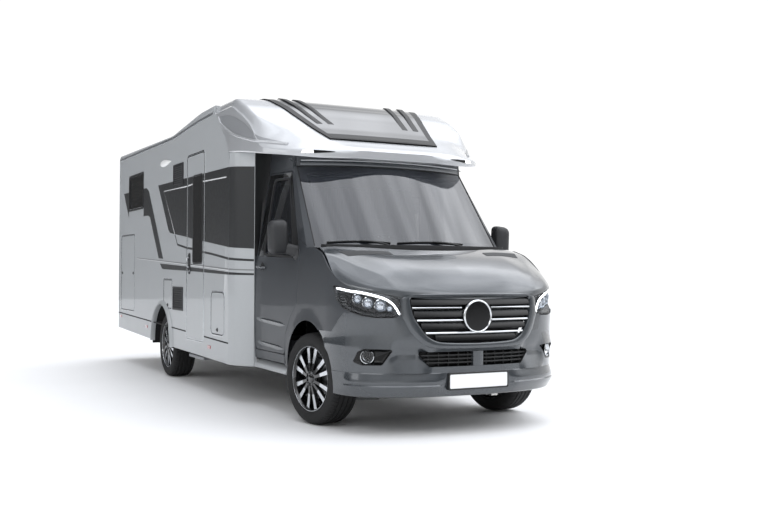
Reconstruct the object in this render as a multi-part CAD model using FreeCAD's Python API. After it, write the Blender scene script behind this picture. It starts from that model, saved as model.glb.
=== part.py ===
import FreeCAD, Part
import os
from math import copysign, cos, sin, tan, radians

# Motorhome, semi-integrated, on a van cab with an overcab roof cap.
# Millimetres. +X forward, +Y to the vehicle's left, +Z up.
# The origin is on the ground, midway along the vehicle, on its centre line.

V = FreeCAD.Vector

# Overall
LENGTH = 7400.0
HALF_WIDTH = 1150.0
NOSE_X = 3700.0
TAIL_X = NOSE_X - LENGTH
FRONT_OVERHANG = 1010.0
WHEELBASE = 3924.0
FRONT_AXLE_X = NOSE_X - FRONT_OVERHANG
REAR_AXLE_X = FRONT_AXLE_X - WHEELBASE
SEAT_GAP = 0.3
PANEL_GAP = 5.0

# Wheels and tyres
TYRE_R = 368.0
TYRE_WIDTH = 255.0
TREAD_WIDTH = 196.0
SHOULDER_DROP = 34.0
RIM_R = 268.0
BEAD_DEPTH = 14.0
RIM_WALL = 12.0
BLADE_PAIRS = 6
TYRE_SIDES = 60
HUB_SIDES = 24
BLADE_SPREAD = 8.0
BLADE_ROOT = 32.0
BLADE_TIP = 42.0
HUB_R = 78.0
RIM_FACE = 108.0
RIM_DISC = 34.0
FRONT_HALF_TRACK = HALF_WIDTH - 282.0
REAR_HALF_TRACK = HALF_WIDTH - 177.0
KINGPIN_Y = FRONT_HALF_TRACK - 68.0
PARKED_STEER = 10.0
SPINDLE_R = 34.0
BRAKE_R = 160.0
ARM_REACH = 150.0
ARM_THICK = 34.0

# Living quarters
WALL = 30.0
REAR_BUMPER_REACH = 100.0
WALL_REAR_X = TAIL_X + REAR_BUMPER_REACH
WALL_FRONT_X = 1160.0
SKIRT_LINE_REAR_Z = 645.0
SKIRT_LINE_FRONT_Z = 545.0
SKIRT_REAR_Z = 440.0
SKIRT_KINK_X = REAR_AXLE_X + 374.0
SKIRT_KINK_Z = 372.0
SKIRT_FRONT_Z = 350.0
ARCH_LIP_R = 440.0
ARCH_LIP_Z = 400.0
ARCH_LIP_BACK = 70.0
ROOF_END_X = 660.0
# Roof, each station as x, height of its seam with the wall, height of its top
ROOF_STATIONS = (
    (WALL_REAR_X, 2742.0, 2786.0),
    (WALL_REAR_X + 30.0, 2741.8, 2800.0),
    (-1010.0, 2723.0, 2757.0),
    (-870.0, 2722.5, 2758.0),
    (-730.0, 2730.0, 2769.0),
    (60.0, 2776.0, 2848.0),
    (240.0, 2784.0, 2861.0),
    (660.0, 2792.0, 2868.0),
)
ROOF_EDGE_R = 22.0
ROOF_LIGHT = 400.0
ROOF_LIGHT_RISE = 55.0
# Where each roof light sits, as a share of the level part of the roof
ROOF_LIGHT_SHARES = (0.26171875, 0.61328125, 0.90625)
FLOOR_Z = 580.0
FLOOR_THICK = 80.0
WHEEL_WELL = 420.0
WHEEL_WELL_TOP = 820.0
WHEEL_WELL_WALL = 20.0
WHEEL_WELL_IN_Y = HALF_WIDTH - 360.0
REBATE = 20.0

# Openings in the side walls, each as low x, high x, low z, high z
ENTRANCE = (-243.0, 367.0, 508.0, 2446.0)
ENTRANCE_PANE = (-40.0, 310.0, 1300.0, 2225.0)
GARAGE = (WALL_REAR_X + 150.0, WALL_REAR_X + 920.0, 700.0, 1685.0)
REAR_WINDOW = (WALL_REAR_X + 570.0, WALL_REAR_X + 1380.0, 2000.0, 2470.0)
DINETTE_WINDOW = (-300.0, 800.0, 1450.0, 2050.0)
GAS_HATCH = (620.0, 1030.0, 610.0, 1020.0)
SERVICE_FLAP = (REAR_AXLE_X + 34.0, REAR_AXLE_X + 384.0, 800.0, 1120.0)
UPPER_VENT = (-815.0, -408.0, 2165.0, 2410.0)
LOWER_VENT = (-800.0, -395.0, 790.0, 1050.0)
CORNER_R = 40.0
PANE_PROUD = 6.0
VENT_PROUD = 8.0

# Entrance step
STEP_Z = 316.0
STEP_THICK = 28.0
STEP_OUT_Y = HALF_WIDTH - 20.0
STEP_IN_Y = HALF_WIDTH - 350.0
STEP_HANGER = 30.0

# Chassis
RAIL_Y = HALF_WIDTH - 755.0
RAIL_WIDTH = 60.0
RAIL_LOW_Z = 420.0
RAIL_WEB = 6.0
RAIL_FRONT_X = 3330.0
BEAM_WIDTH = 60.0
BEAM_INSET = 30.0
BEAM_PLACES = (TAIL_X + 220.0, TAIL_X + 1200.0, TAIL_X + 1800.0, -600.0, 400.0, 1500.0)
OUTRIGGER_PLACES = (min(TAIL_X + 800.0, REAR_AXLE_X - WHEEL_WELL - 100.0), -300.0, 900.0)
OUTRIGGER_Y = HALF_WIDTH - 70.0
JACK_PLACES = (1300.0, TAIL_X + 1500.0)
JACK_PAD = 10.0
TOW_X = WALL_REAR_X
TOW_Z = 470.0
TOW_SPACING_X = 90.0
TOW_SPACING_Z = 60.0
TOW_HOLE_R = 6.5
BUMPER_THICK = 40.0
BUMPER_LEDGE = 16.0
ENGINE_HALF = RAIL_Y - 65.0

# Overcab cap, each station as x, half width, underside, shoulder height, half top width, top
CAP_STATIONS = (
    (660.0, HALF_WIDTH, 2390.0, 2780.0, HALF_WIDTH - 54.0, 2868.0),
    (1160.0, HALF_WIDTH, 2345.0, 2785.0, HALF_WIDTH - 60.0, 2868.0),
    (1400.0, HALF_WIDTH - 5.0, 2325.0, 2700.0, HALF_WIDTH - 70.0, 2785.0),
    (1650.0, HALF_WIDTH - 24.0, 2295.0, 2560.0, HALF_WIDTH - 90.0, 2650.0),
    (1900.0, HALF_WIDTH - 52.0, 2262.0, 2330.0, HALF_WIDTH - 330.0, 2510.0),
    (2110.0, HALF_WIDTH - 160.0, 2236.0, 2290.0, HALF_WIDTH - 450.0, 2404.0),
    (2230.0, HALF_WIDTH - 290.0, 2218.0, 2280.0, HALF_WIDTH - 550.0, 2345.0),
    (2300.0, HALF_WIDTH - 460.0, 2208.0, 2266.0, HALF_WIDTH - 630.0, 2312.0),
    (2345.0, HALF_WIDTH - 730.0, 2214.0, 2252.0, HALF_WIDTH - 770.0, 2284.0),
)
CAP_THICK = 30.0
CAP_EDGE = 12.0
SKYLIGHT = (1110.0, 2135.0, HALF_WIDTH - 300.0, HALF_WIDTH - 601.0)
SKYLIGHT_THICK = 20.0
MARKER_Y = HALF_WIDTH - 333.0
MARKER_Z = 2260.0

# Cab; its outlines are drawn for DRAWN_HALF and spread with the body's width
CAB_REAR_X = 1450.0
BELT_Z = 1300.0
CAB_MID_Y = HALF_WIDTH - 150.0
CAB_LOW_Y = CAB_MID_Y - 16.0
CAB_BELT_Y = CAB_MID_Y - 14.0
CAB_TOP_Y = CAB_MID_Y - 143.0
DRAWN_HALF = 1000.0
SPREAD = CAB_MID_Y - DRAWN_HALF
CUT_IN_Y = CAB_MID_Y - 400.0
CUT_OUT_Y = CAB_MID_Y + 200.0
CAB_LOW_Z = 440.0
CAB_MID_Z = 900.0
CAB_TOP_Z = 2130.0
CAB_FLOOR_THICK = 60.0
DOOR_THICK = 45.0
PANEL_THICK = 30.0
CAB_DOOR_REAR_X = 1480.0
CAB_DOOR_FRONT_X = 2470.0
CAB_DOOR_SILL_Z = 520.0
GLASS_THICK = 6.0
GLASS_INSET = 14.0
ARCH_R = 450.0
ARCH_Z = 385.0
ARCH_X = FRONT_AXLE_X + 10.0
FIREWALL_X = 2560.0
SCREEN_LOW = (2600.0, CAB_MID_Y - 110.0, 1426.0)
SCREEN_TOP = (2050.0, CAB_MID_Y - 169.0, 2150.0)
SCREEN_BOW = 262.0
SCREEN_ARC_SHIFT = 34.0
SCREEN_THICK = 8.0
FRAME_DEPTH = 34.0
FRAME_WIDTH = 58.0

# Nose: height and foremost x of each plan section
NOSE_STATIONS = ((290.0, 3655.0), (430.0, 3688.0), (760.0, 3684.0), (1100.0, 3636.0))
NOSE_REAR_X = 3050.0
NOSE_SIDE_X = 3420.0
NOSE_CORNER_Y = CAB_MID_Y - 240.0
NOSE_FACETS = 9
BUMPER_TOP_Z = 1046.0
PLATE_WIDTH = 520.0
PLATE_HEIGHT = 110.0
PLATE_Z = 409.0
REAR_PLATE_Z = 1010.0
PLATE_HOLDER = 8.0
GRILLE_BARS = 3

# Bonnet, each station as x, height at the middle, at the crease and at the side
BONNET_STATIONS = (
    (2640.0, 1496.0, 1482.0, 1436.0),
    (2900.0, 1432.0, 1428.0, 1372.0),
    (3160.0, 1362.0, 1350.0, 1228.0),
    (3380.0, 1272.0, 1248.0, 1080.0),
    (3520.0, 1176.0, 1140.0, 960.0),
    (3600.0, 1096.0, 1052.0, 870.0),
    (3640.0, 1040.0, 990.0, 800.0),
)
BONNET_CREASE_Y = CAB_MID_Y - 440.0
BONNET_SIDE_Y = CAB_MID_Y - 200.0
BONNET_HALF = CAB_MID_Y
BONNET_BULGE = 14.0
BONNET_TOP = 1700.0
BONNET_THICK = 25.0
FENDER_REAR_X = 2190.0

# Cab interior
WHEEL_CENTRE = V(2080, 380, 1180)
WHEEL_RING_R = 185.0
WHEEL_TILT = 60.0
SEAT_Y = 430.0
SEAT_WIDTH = 520.0


def box(x0, x1, y0, y1, z0, z1):
    low_y, high_y = sorted((y0, y1))
    return Part.makeBox(x1 - x0, high_y - low_y, z1 - z0, V(x0, low_y, z0))


def rounded_wire(points, place):
    """Closed wire through (a, b) or (a, b, r) points, r rounding that corner."""
    flat = [V(p[0], p[1], 0) for p in points]
    radii = [p[2] if len(p) > 2 else 0.0 for p in points]
    count = len(flat)
    starts, ends, arcs = [], [], []
    for i in range(count):
        here = flat[i]
        if radii[i] <= 0:
            starts.append(here)
            ends.append(here)
            arcs.append(None)
            continue
        back = (flat[i - 1] - here).normalize()
        ahead = (flat[(i + 1) % count] - here).normalize()
        half = back.getAngle(ahead) / 2
        reach = radii[i] / tan(half)
        middle = (back + ahead).normalize()
        centre = here + middle * (radii[i] / sin(half))
        starts.append(here + back * reach)
        ends.append(here + ahead * reach)
        arcs.append(centre - middle * radii[i])
    edges = []
    for i in range(count):
        if arcs[i] is not None:
            edges.append(Part.Arc(place(starts[i]), place(arcs[i]), place(ends[i])).toShape())
        nxt = (i + 1) % count
        if (ends[i] - starts[nxt]).Length > 0.01:
            edges.append(Part.makeLine(place(ends[i]), place(starts[nxt])))
    return Part.Wire(edges)


def slab(wire, direction, grow=0.0):
    face = Part.Face(wire)
    if grow:
        face = face.makeOffset2D(grow)
    return face.extrude(direction)


def slab_y(points, y0, y1, grow=0.0):
    """Side-view outline, (x, z) points, from y0 to y1."""
    return slab(rounded_wire(points, lambda p: V(p.x, y0, p.y)), V(0, y1 - y0, 0), grow)


def slab_x(points, x0, x1, grow=0.0):
    """Front-view outline, (y, z) points, from x0 to x1."""
    return slab(rounded_wire(points, lambda p: V(x0, p.x, p.y)), V(x1 - x0, 0, 0), grow)


def slab_z(points, z0, z1, grow=0.0):
    """Plan outline, (x, y) points, from z0 to z1."""
    return slab(rounded_wire(points, lambda p: V(p.x, p.y, z0)), V(0, 0, z1 - z0), grow)


def rectangle(frame, r=0.0, gap=0.0):
    x0, x1, z0, z1 = frame
    left, right, low, high = x0 - gap, x1 + gap, z0 - gap, z1 + gap
    return [(left, low, r), (right, low, r), (right, high, r), (left, high, r)]


def outward(y):
    """Place across the cab, drawn for its usual width, moved outwards by what the cab is wider."""
    return y + copysign(SPREAD, y) if y else y


def across(points):
    """Front-view outline, (y, z) points, spread with the cab's width."""
    return [(outward(p[0]),) + tuple(p[1:]) for p in points]


def across_plan(points):
    """Plan outline, (x, y) points, spread with the cab's width."""
    return [(p[0], outward(p[1])) + tuple(p[2:]) for p in points]


def rod(start, end, radius):
    axis = end - start
    return Part.makeCylinder(radius, axis.Length, start, axis)


def ring_points(centre, radius, sides):
    """Corners of a regular polygon standing in the X-Z plane, flat at its foot."""
    turns = [radians(360.0 / sides * (i + 0.5)) for i in range(sides)]
    return [centre + V(radius * sin(t), 0, radius * cos(t)) for t in turns]


def polygon(points):
    return Part.Face(Part.makePolygon(points + points[:1]))


def turned(profile, centre, sides):
    """Turned solid in flat facets through (offset along Y, radius) stations about an axle."""
    rings = [ring_points(centre + V(0, offset, 0), radius, sides) for offset, radius in profile]
    faces = [polygon(rings[0]), polygon(rings[-1])]
    for low, high in zip(rings, rings[1:]):
        faces += [polygon([low[i - 1], low[i], high[i], high[i - 1]]) for i in range(sides)]
    solid = Part.Solid(Part.Shell(faces))
    return solid if solid.Volume > 0 else solid.reversed()


def mirrored(shape):
    return shape.mirror(V(0, 0, 0), V(0, 1, 0))


def for_side(shape, side):
    """The left-hand shape, or its mirror image for the right."""
    return shape if side > 0 else mirrored(shape)


def pair(shape):
    return Part.makeCompound([shape, mirrored(shape)])


def fused(shapes):
    return shapes[0].fuse(shapes[1:]).removeSplitter()


def save(name, shape):
    shape.exportStep("parts/" + name + ".step")
    print(name, len(shape.Solids), round(shape.Volume / 1e6, 1), shape.isValid())


def steered(shape, side):
    """Turn a front corner piece about its kingpin to the parked steering angle."""
    turned = shape.copy()
    turned.rotate(V(FRONT_AXLE_X, side * KINGPIN_Y, 0), V(0, 0, 1), PARKED_STEER)
    return turned


# Wheels

def tyre(x, y):
    half = TYRE_WIDTH / 2
    bead = RIM_R - BEAD_DEPTH
    belly = (RIM_R + TYRE_R) / 2 - 12
    side = [(half - 18, bead), (half, belly), (half - 8, TYRE_R - SHOULDER_DROP), (TREAD_WIDTH / 2, TYRE_R)]
    profile = [(-y, r) for y, r in side] + [(y, r) for y, r in reversed(side)]
    centre = V(x, y, TYRE_R)
    bore = [(-half, bead), (half, bead)]
    return turned(profile, centre, TYRE_SIDES).cut(turned(bore, centre, TYRE_SIDES))


def rim(x, y, side):
    """Barrel and hub joined by pairs of blades, the face on the outer side."""
    outer = RIM_R - BEAD_DEPTH - SEAT_GAP
    centre = V(x, y, TYRE_R)
    depth = TYRE_WIDTH / 2 - 20
    barrel = turned([(-depth, outer), (depth, outer)], centre, TYRE_SIDES)
    well = turned([(-depth - 1, outer - RIM_WALL), (depth + 1, outer - RIM_WALL)], centre, TYRE_SIDES)
    inner_y = y + side * (RIM_FACE - RIM_DISC)
    hub = turned([(0, HUB_R), (side * RIM_DISC, HUB_R)], V(x, inner_y, TYRE_R), HUB_SIDES)
    pieces = [barrel.cut(well), hub]
    start = HUB_R - 12
    reach = outer - RIM_WALL / 2
    for i in range(BLADE_PAIRS):
        for twin in (1, -1):
            outline = [(start, -BLADE_ROOT / 2), (reach, -BLADE_TIP / 2), (reach, BLADE_TIP / 2),
                       (start, BLADE_ROOT / 2)]
            blade = slab_y(outline, 0, side * (RIM_DISC - 8))
            blade.translate(V(x, inner_y, TYRE_R))
            blade.rotate(centre, V(0, 1, 0), 360.0 / BLADE_PAIRS * (i + 0.5) + twin * BLADE_SPREAD)
            pieces.append(blade)
    return fused(pieces)


def wheels():
    for end, x, track in (("front", FRONT_AXLE_X, FRONT_HALF_TRACK), ("rear", REAR_AXLE_X, REAR_HALF_TRACK)):
        for word, side in (("left", 1), ("right", -1)):
            rubber = tyre(x, side * track)
            metal = rim(x, side * track, side)
            if end == "front":
                rubber = steered(rubber, side)
                metal = steered(metal, side)
            save("tyre_" + end + "_" + word, rubber)
            save("rim_" + end + "_" + word, metal)


# Axles

def hub_face(half_track):
    return half_track + RIM_FACE - RIM_DISC - SEAT_GAP


def knuckle(side):
    """Upright between the two arms, with the brake disc and the spindle to the rim's hub."""
    x = FRONT_AXLE_X
    y = side * KINGPIN_Y
    face = side * hub_face(FRONT_HALF_TRACK)
    upright = box(x - 35, x + 35, y - 28, y + 28, TYRE_R - ARM_REACH, TYRE_R + ARM_REACH)
    spindle = rod(V(x, y, TYRE_R), V(x, face, TYRE_R), SPINDLE_R)
    disc = turned([(-side * 56, BRAKE_R), (-side * 30, BRAKE_R)], V(x, face, TYRE_R), HUB_SIDES * 2)
    return steered(fused([upright, spindle, disc]), side)


def front_axle():
    """Subframe, wishbones and spring struts, fixed as the suspension has no joint."""
    x = FRONT_AXLE_X
    rail_face = RAIL_Y + RAIL_WIDTH
    low = TYRE_R - ARM_REACH - SEAT_GAP - ARM_THICK
    high = TYRE_R + ARM_REACH + SEAT_GAP
    beam_top = RAIL_LOW_Z - SEAT_GAP
    parts = [box(x - 120, x + 120, -rail_face, rail_face, low, low + 90)]
    for side in (1, -1):
        for z, root in ((low, rail_face - 40), (high, rail_face + SEAT_GAP)):
            arm = slab_z([(x - 150, side * root), (x + 150, side * root), (x + 34, side * (KINGPIN_Y + 30)),
                          (x - 34, side * (KINGPIN_Y + 30))], z, z + ARM_THICK)
            parts.append(arm)
        parts.append(rod(V(x, side * (KINGPIN_Y - 210), low + 10), V(x, side * (KINGPIN_Y - 240), 900), 45))
        parts.append(box(x - 60, x + 60, side * (RAIL_Y - 65), side * (RAIL_Y + 55), low + 60, beam_top))
    return fused(parts)


def rear_axle():
    """Beam with brake discs, carried by two trailing arms pivoted on the chassis rails."""
    x = REAR_AXLE_X
    face = hub_face(REAR_HALF_TRACK)
    pivot_x = x + 480
    pivot_z = RAIL_LOW_Z + 40
    rail_face = RAIL_Y + RAIL_WIDTH + SEAT_GAP
    arm_in = RAIL_Y + 165
    arm_out = arm_in + 60
    tube = [(-WHEEL_WELL_IN_Y, 50), (WHEEL_WELL_IN_Y, 50)]
    parts = [rod(V(x, -face, TYRE_R), V(x, face, TYRE_R), SPINDLE_R),
             turned(tube, V(x, 0, TYRE_R), HUB_SIDES)]
    for side in (1, -1):
        disc = [(-side * 56, BRAKE_R), (-side * 30, BRAKE_R)]
        parts.append(turned(disc, V(x, side * face, TYRE_R), HUB_SIDES * 2))
        arm = slab_y([(x - 70, 330), (x - 50, 305), (x + 60, 300), (pivot_x + 30, pivot_z - 48),
                      (pivot_x + 50, pivot_z - 25), (pivot_x + 50, pivot_z + 35),
                      (pivot_x + 30, pivot_z + 48), (x + 100, 430), (x - 70, 430)],
                     side * arm_in, side * arm_out)
        parts.append(arm)
        parts.append(rod(V(pivot_x, side * rail_face, pivot_z), V(pivot_x, side * arm_out, pivot_z), 24))
    return fused(parts)


# Chassis

def chassis_frame():
    """Two C-section rails with cross members, outriggers, engine mounts and a front crash beam."""
    rear_x = TAIL_X + BUMPER_THICK + SEAT_GAP
    z0 = RAIL_LOW_Z
    z1 = FLOOR_Z - SEAT_GAP
    outer = RAIL_Y + RAIL_WIDTH
    reach = outer - RAIL_WEB
    channel = [(RAIL_Y, z0), (outer, z0), (outer, z1), (RAIL_Y, z1), (RAIL_Y, z1 - RAIL_WEB),
               (reach, z1 - RAIL_WEB), (reach, z0 + RAIL_WEB), (RAIL_Y, z0 + RAIL_WEB)]
    rail = slab_x(channel, rear_x, RAIL_FRONT_X)
    parts = [rail, mirrored(rail)]
    for x in BEAM_PLACES:
        parts.append(box(x, x + BEAM_WIDTH, -reach - 1, reach + 1, z0 + BEAM_INSET, z1 - BEAM_INSET))
    beam_half = HALF_WIDTH - 450
    parts.append(box(RAIL_FRONT_X - 1, RAIL_FRONT_X + 60, -beam_half, beam_half, z0, z0 + 120))
    for x in JACK_PLACES:
        for side in (1, -1):
            pad_y = (side * (RAIL_Y + 5), side * (outer - 5))
            parts.append(box(x - 60, x + 60, *pad_y, z0 - JACK_PAD, z0 + 1))
    for side in (1, -1):
        for x in OUTRIGGER_PLACES:
            arm = slab_x([(side * (outer - 1), z0 + 40), (side * OUTRIGGER_Y, z1 - 40),
                          (side * OUTRIGGER_Y, z1), (side * (outer - 1), z1)], x, x + 40)
            parts.append(arm)
        parts.append(box(2900, 2970, side * (ENGINE_HALF + SEAT_GAP), side * (reach + 1), z0 + 40, z0 + 90))
        horn = box(RAIL_FRONT_X + 50, NOSE_X, side * (RAIL_Y - 55), side * (RAIL_Y + 5), z0 + 20, z0 + 90)
        parts.append(horn.common(nose_form(PANEL_THICK + SEAT_GAP)))
    holes = []
    for x in (TOW_X, TOW_X + TOW_SPACING_X):
        for z in (TOW_Z, TOW_Z + TOW_SPACING_Z):
            holes.append(rod(V(x, -outer - 20, z), V(x, outer + 20, z), TOW_HOLE_R))
    return fused(parts).cut(holes)


def engine():
    return box(2760, 3230, -ENGINE_HALF, ENGINE_HALF, 430, 1010)


def tanks():
    """Fuel tank beside the right rail and waste-water tank between the rails."""
    fuel = box(1000, 1450, 250 - HALF_WIDTH, -RAIL_Y - RAIL_WIDTH - SEAT_GAP, 400, FLOOR_Z - SEAT_GAP)
    low_x = BEAM_PLACES[1] + BEAM_WIDTH + SEAT_GAP
    half = RAIL_Y - 35
    waste = box(low_x, BEAM_PLACES[2] - SEAT_GAP, -half, half, 390, FLOOR_Z - SEAT_GAP)
    return Part.makeCompound([fuel, waste])


# Living quarters

def between(x, x0, z0, x1, z1):
    return z0 + (z1 - z0) * (x - x0) / (x1 - x0)


def skirt_z(x):
    return between(x, WALL_REAR_X, SKIRT_LINE_REAR_Z, WALL_FRONT_X, SKIRT_LINE_FRONT_Z)


def floor():
    """Sandwich floor with the rear wheel wells, the entrance well and the step's hangers."""
    top = FLOOR_Z + FLOOR_THICK
    inner = HALF_WIDTH - WALL - SEAT_GAP
    well_x0 = REAR_AXLE_X - WHEEL_WELL
    well_x1 = REAR_AXLE_X + WHEEL_WELL
    parts = [box(WALL_REAR_X + WALL, WALL_FRONT_X, -inner, inner, FLOOR_Z, top)]
    holes = []
    for side in (1, -1):
        parts.append(box(well_x0 - WHEEL_WELL_WALL, well_x1 + WHEEL_WELL_WALL,
                         side * (WHEEL_WELL_IN_Y - WHEEL_WELL_WALL), side * inner, FLOOR_Z,
                         WHEEL_WELL_TOP + WHEEL_WELL_WALL))
        holes.append(box(well_x0, well_x1, side * WHEEL_WELL_IN_Y, side * (inner + 10), FLOOR_Z - 10,
                         WHEEL_WELL_TOP))
    holes.append(box(ENTRANCE[0], ENTRANCE[1], -inner - 10, -STEP_IN_Y, FLOOR_Z + 30, top + 10))
    hangers = []
    low = STEP_Z + STEP_THICK + SEAT_GAP
    for x in (ENTRANCE[0] + 40, ENTRANCE[1] - 40 - STEP_HANGER):
        hangers.append(box(x, x + STEP_HANGER, 40 - STEP_OUT_Y, 40 - STEP_IN_Y, low, FLOOR_Z + 1))
    return fused([fused(parts).cut(holes)] + hangers)


def wall_outline(gap=0.0):
    g = gap
    seam_front = ROOF_STATIONS[-1][1]
    seam = [(x, z) for x, z, _ in reversed(ROOF_STATIONS)]
    return [(WALL_REAR_X, skirt_z(WALL_REAR_X)), (WALL_FRONT_X + g, skirt_z(WALL_FRONT_X)),
            (WALL_FRONT_X + g, 2300, 300), (WALL_FRONT_X - 100 + g, 2470 + g, 500),
            (ROOF_END_X + 40 + g, seam_front, 60)] + seam


def wall_frames(side):
    """Openings of one side, each with its corner radius and whether a leaf closes it."""
    frames = [(GARAGE, CORNER_R, True), (REAR_WINDOW, CORNER_R, False)]
    if side > 0:
        return frames + [(DINETTE_WINDOW, CORNER_R, False)]
    return frames + [(ENTRANCE, CORNER_R, True), (GAS_HATCH, CORNER_R + 16, True),
                     (SERVICE_FLAP, CORNER_R / 2, True)]


def side_wall(side):
    """Sandwich wall with its openings; a rebate frame behind each leaf carries its seal."""
    outer = HALF_WIDTH
    inner = HALF_WIDTH - WALL
    wall = slab_y(wall_outline(), inner, outer)
    rebates = []
    for frame, r, leaf in wall_frames(side):
        gap = PANEL_GAP if leaf else 0.0
        wall = wall.cut(slab_y(rectangle(frame, r + gap, gap), inner - 5, outer + 5))
        if leaf:
            ring = slab_y(rectangle(frame, 0, REBATE), inner - REBATE, inner + 1)
            ring = ring.cut(slab_y(rectangle(frame, 0, -REBATE), inner - REBATE - 5, inner + 5))
            ring = ring.cut(slab_y(rectangle(frame, r + gap, gap), inner - SEAT_GAP, inner + 5))
            well = WHEEL_WELL + WHEEL_WELL_WALL + REBATE
            over_well = frame[0] < REAR_AXLE_X + well and frame[1] > REAR_AXLE_X - well
            floor_top = WHEEL_WELL_TOP + WHEEL_WELL_WALL if over_well else FLOOR_Z + FLOOR_THICK
            low = max(frame[2] - REBATE, floor_top + SEAT_GAP)
            rebates.append(ring.common(box(TAIL_X, NOSE_X, 0, outer, low, 3000)))
    return for_side(fused([wall] + rebates), side)


def rear_wall():
    inner = HALF_WIDTH - WALL - SEAT_GAP
    front_x = WALL_REAR_X + WALL - SEAT_GAP
    panel = box(WALL_REAR_X, front_x, -inner, inner, SKIRT_LINE_REAR_Z, ROOF_STATIONS[1][1])
    holder = box(WALL_REAR_X - PLATE_HOLDER, WALL_REAR_X + 1, -PLATE_WIDTH / 2 - 10, PLATE_WIDTH / 2 + 10,
                 REAR_PLATE_Z - PLATE_HEIGHT / 2 - 10, REAR_PLATE_Z + PLATE_HEIGHT / 2 + 10)
    return panel.fuse(holder).removeSplitter()


def roof_section(station, inset):
    x, seam, top = station
    half = HALF_WIDTH - inset
    low = seam + SEAT_GAP - (inset > 0)
    r = 0.0 if inset else ROOF_EDGE_R
    points = [(-half, low), (half, low), (half, top - inset, r), (-half, top - inset, r)]
    return rounded_wire(points, lambda p: V(x, p.x, p.y))


def roof():
    """Roof shell with rounded long edges, open below between the walls."""
    outer = Part.makeLoft([roof_section(s, 0) for s in ROOF_STATIONS], True, True)
    hollow = Part.makeLoft([roof_section(s, WALL) for s in ROOF_STATIONS[1:]], True, True)
    return outer.cut(hollow)


# Overcab cap

def cap_section(station, inset):
    """Cross section: flat underside, upright rim, then the crowned top between two slopes."""
    x, half, low, shoulder, flat, top = station
    i = inset
    side = max(shoulder - i, low + i + 16)
    edge = 0 if i else CAP_EDGE
    drop = (top - side) * 0.18 + edge / 2
    points = [(half - i - edge, low + i), (half - i, low + i + edge), (half - i, side - edge),
              (half - i - edge, side), (flat - i * 0.7, top - i - drop / 2), (flat * 0.72, top - i)]
    if not edge:
        points = [points[1], points[2]] + points[4:]
    ends = points + [(-y, z) for y, z in reversed(points)]
    return rounded_wire(ends, lambda p: V(x, p.x, p.y))


def cap_form(inset):
    """Solid through the cap's cross sections, or the same set in for its hollow."""
    stations = CAP_STATIONS if not inset else CAP_STATIONS[:-3]
    return Part.makeLoft([cap_section(s, inset) for s in stations], True, True)


def cap_top(x):
    for a, b in zip(CAP_STATIONS, CAP_STATIONS[1:]):
        if a[0] <= x <= b[0]:
            return between(x, a[0], a[5], b[0], b[5])
    return CAP_STATIONS[-1][5]


def under_cap():
    """Everything from the seat below the cap's underside upwards."""
    low = [(x, z - SEAT_GAP) for x, _, z, _, _, _ in CAP_STATIONS]
    wide = HALF_WIDTH + 150
    return slab_y(low + [(2500, low[-1][1]), (2500, 3000), (ROOF_END_X, 3000)], -wide, wide)


def skylight_plan(grow):
    x0, x1, rear_half, front_half = SKYLIGHT
    plan = [(x0, -rear_half, 60), (x1, -front_half, 50), (x1, front_half, 50), (x0, rear_half, 60)]
    return slab_z(plan, 2100, 3000, grow)


def marker_lamps(grow):
    outline = [(MARKER_Y - 50, MARKER_Z - 11), (MARKER_Y + 46, MARKER_Z - 11), (MARKER_Y + 30, MARKER_Z + 11),
               (MARKER_Y - 50, MARKER_Z + 11)]
    return slab_x(outline, 2170, 2222, grow)


def overcab():
    """Hollow moulded cap, open to the rear, with the skylight's hole and the lamp pockets."""
    g = SEAT_GAP
    shell = cap_form(0).cut(cap_form(CAP_THICK))
    start = ROOF_END_X + g
    wide = HALF_WIDTH + 150
    shell = shell.cut(box(ROOF_END_X - 50, start, -wide, wide, 2000, 3000))
    mouth = HALF_WIDTH - CAP_THICK
    shell = shell.cut(box(ROOF_END_X - 50, start + CAP_THICK, -mouth, mouth, 2440, 2820))
    for side in (1, -1):
        wall = slab_y(wall_outline(g), side * (HALF_WIDTH - WALL - g), side * wide)
        shell = shell.cut(wall)
        shell = shell.cut(for_side(marker_lamps(g), side))
    return shell.cut(skylight_plan(-50).common(box(0, 3000, -HALF_WIDTH, HALF_WIDTH, 2440, 3000)))


def skylight():
    """Panoramic window lying on the cap's sloping top."""
    x0, x1 = SKYLIGHT[0], SKYLIGHT[1]
    xs = [x0] + [s[0] for s in CAP_STATIONS if x0 < s[0] < x1] + [x1]
    under = [(x, cap_top(x) + SEAT_GAP) for x in xs]
    over = [(x, cap_top(x) + SEAT_GAP + SKYLIGHT_THICK) for x in reversed(xs)]
    return slab_y(under + over, -HALF_WIDTH, HALF_WIDTH).common(skylight_plan(0))


def roof_lights():
    """Tilting roof lights, shown shut, on the level part of the roof."""
    domes = []
    start, _, start_z = ROOF_STATIONS[1]
    end, _, end_z = ROOF_STATIONS[2]
    half = ROOF_LIGHT / 2
    for share in ROOF_LIGHT_SHARES:
        x = start + (end - start) * share
        base = between(x - half, start, start_z, end, end_z) + SEAT_GAP
        top = base + ROOF_LIGHT_RISE
        outline = [(x - half, base), (x + half, base), (x + half - 20, top, 20), (x - half + 20, top, 20)]
        domes.append(slab_y(outline, -half, half))
    return domes


# Lower body

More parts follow.
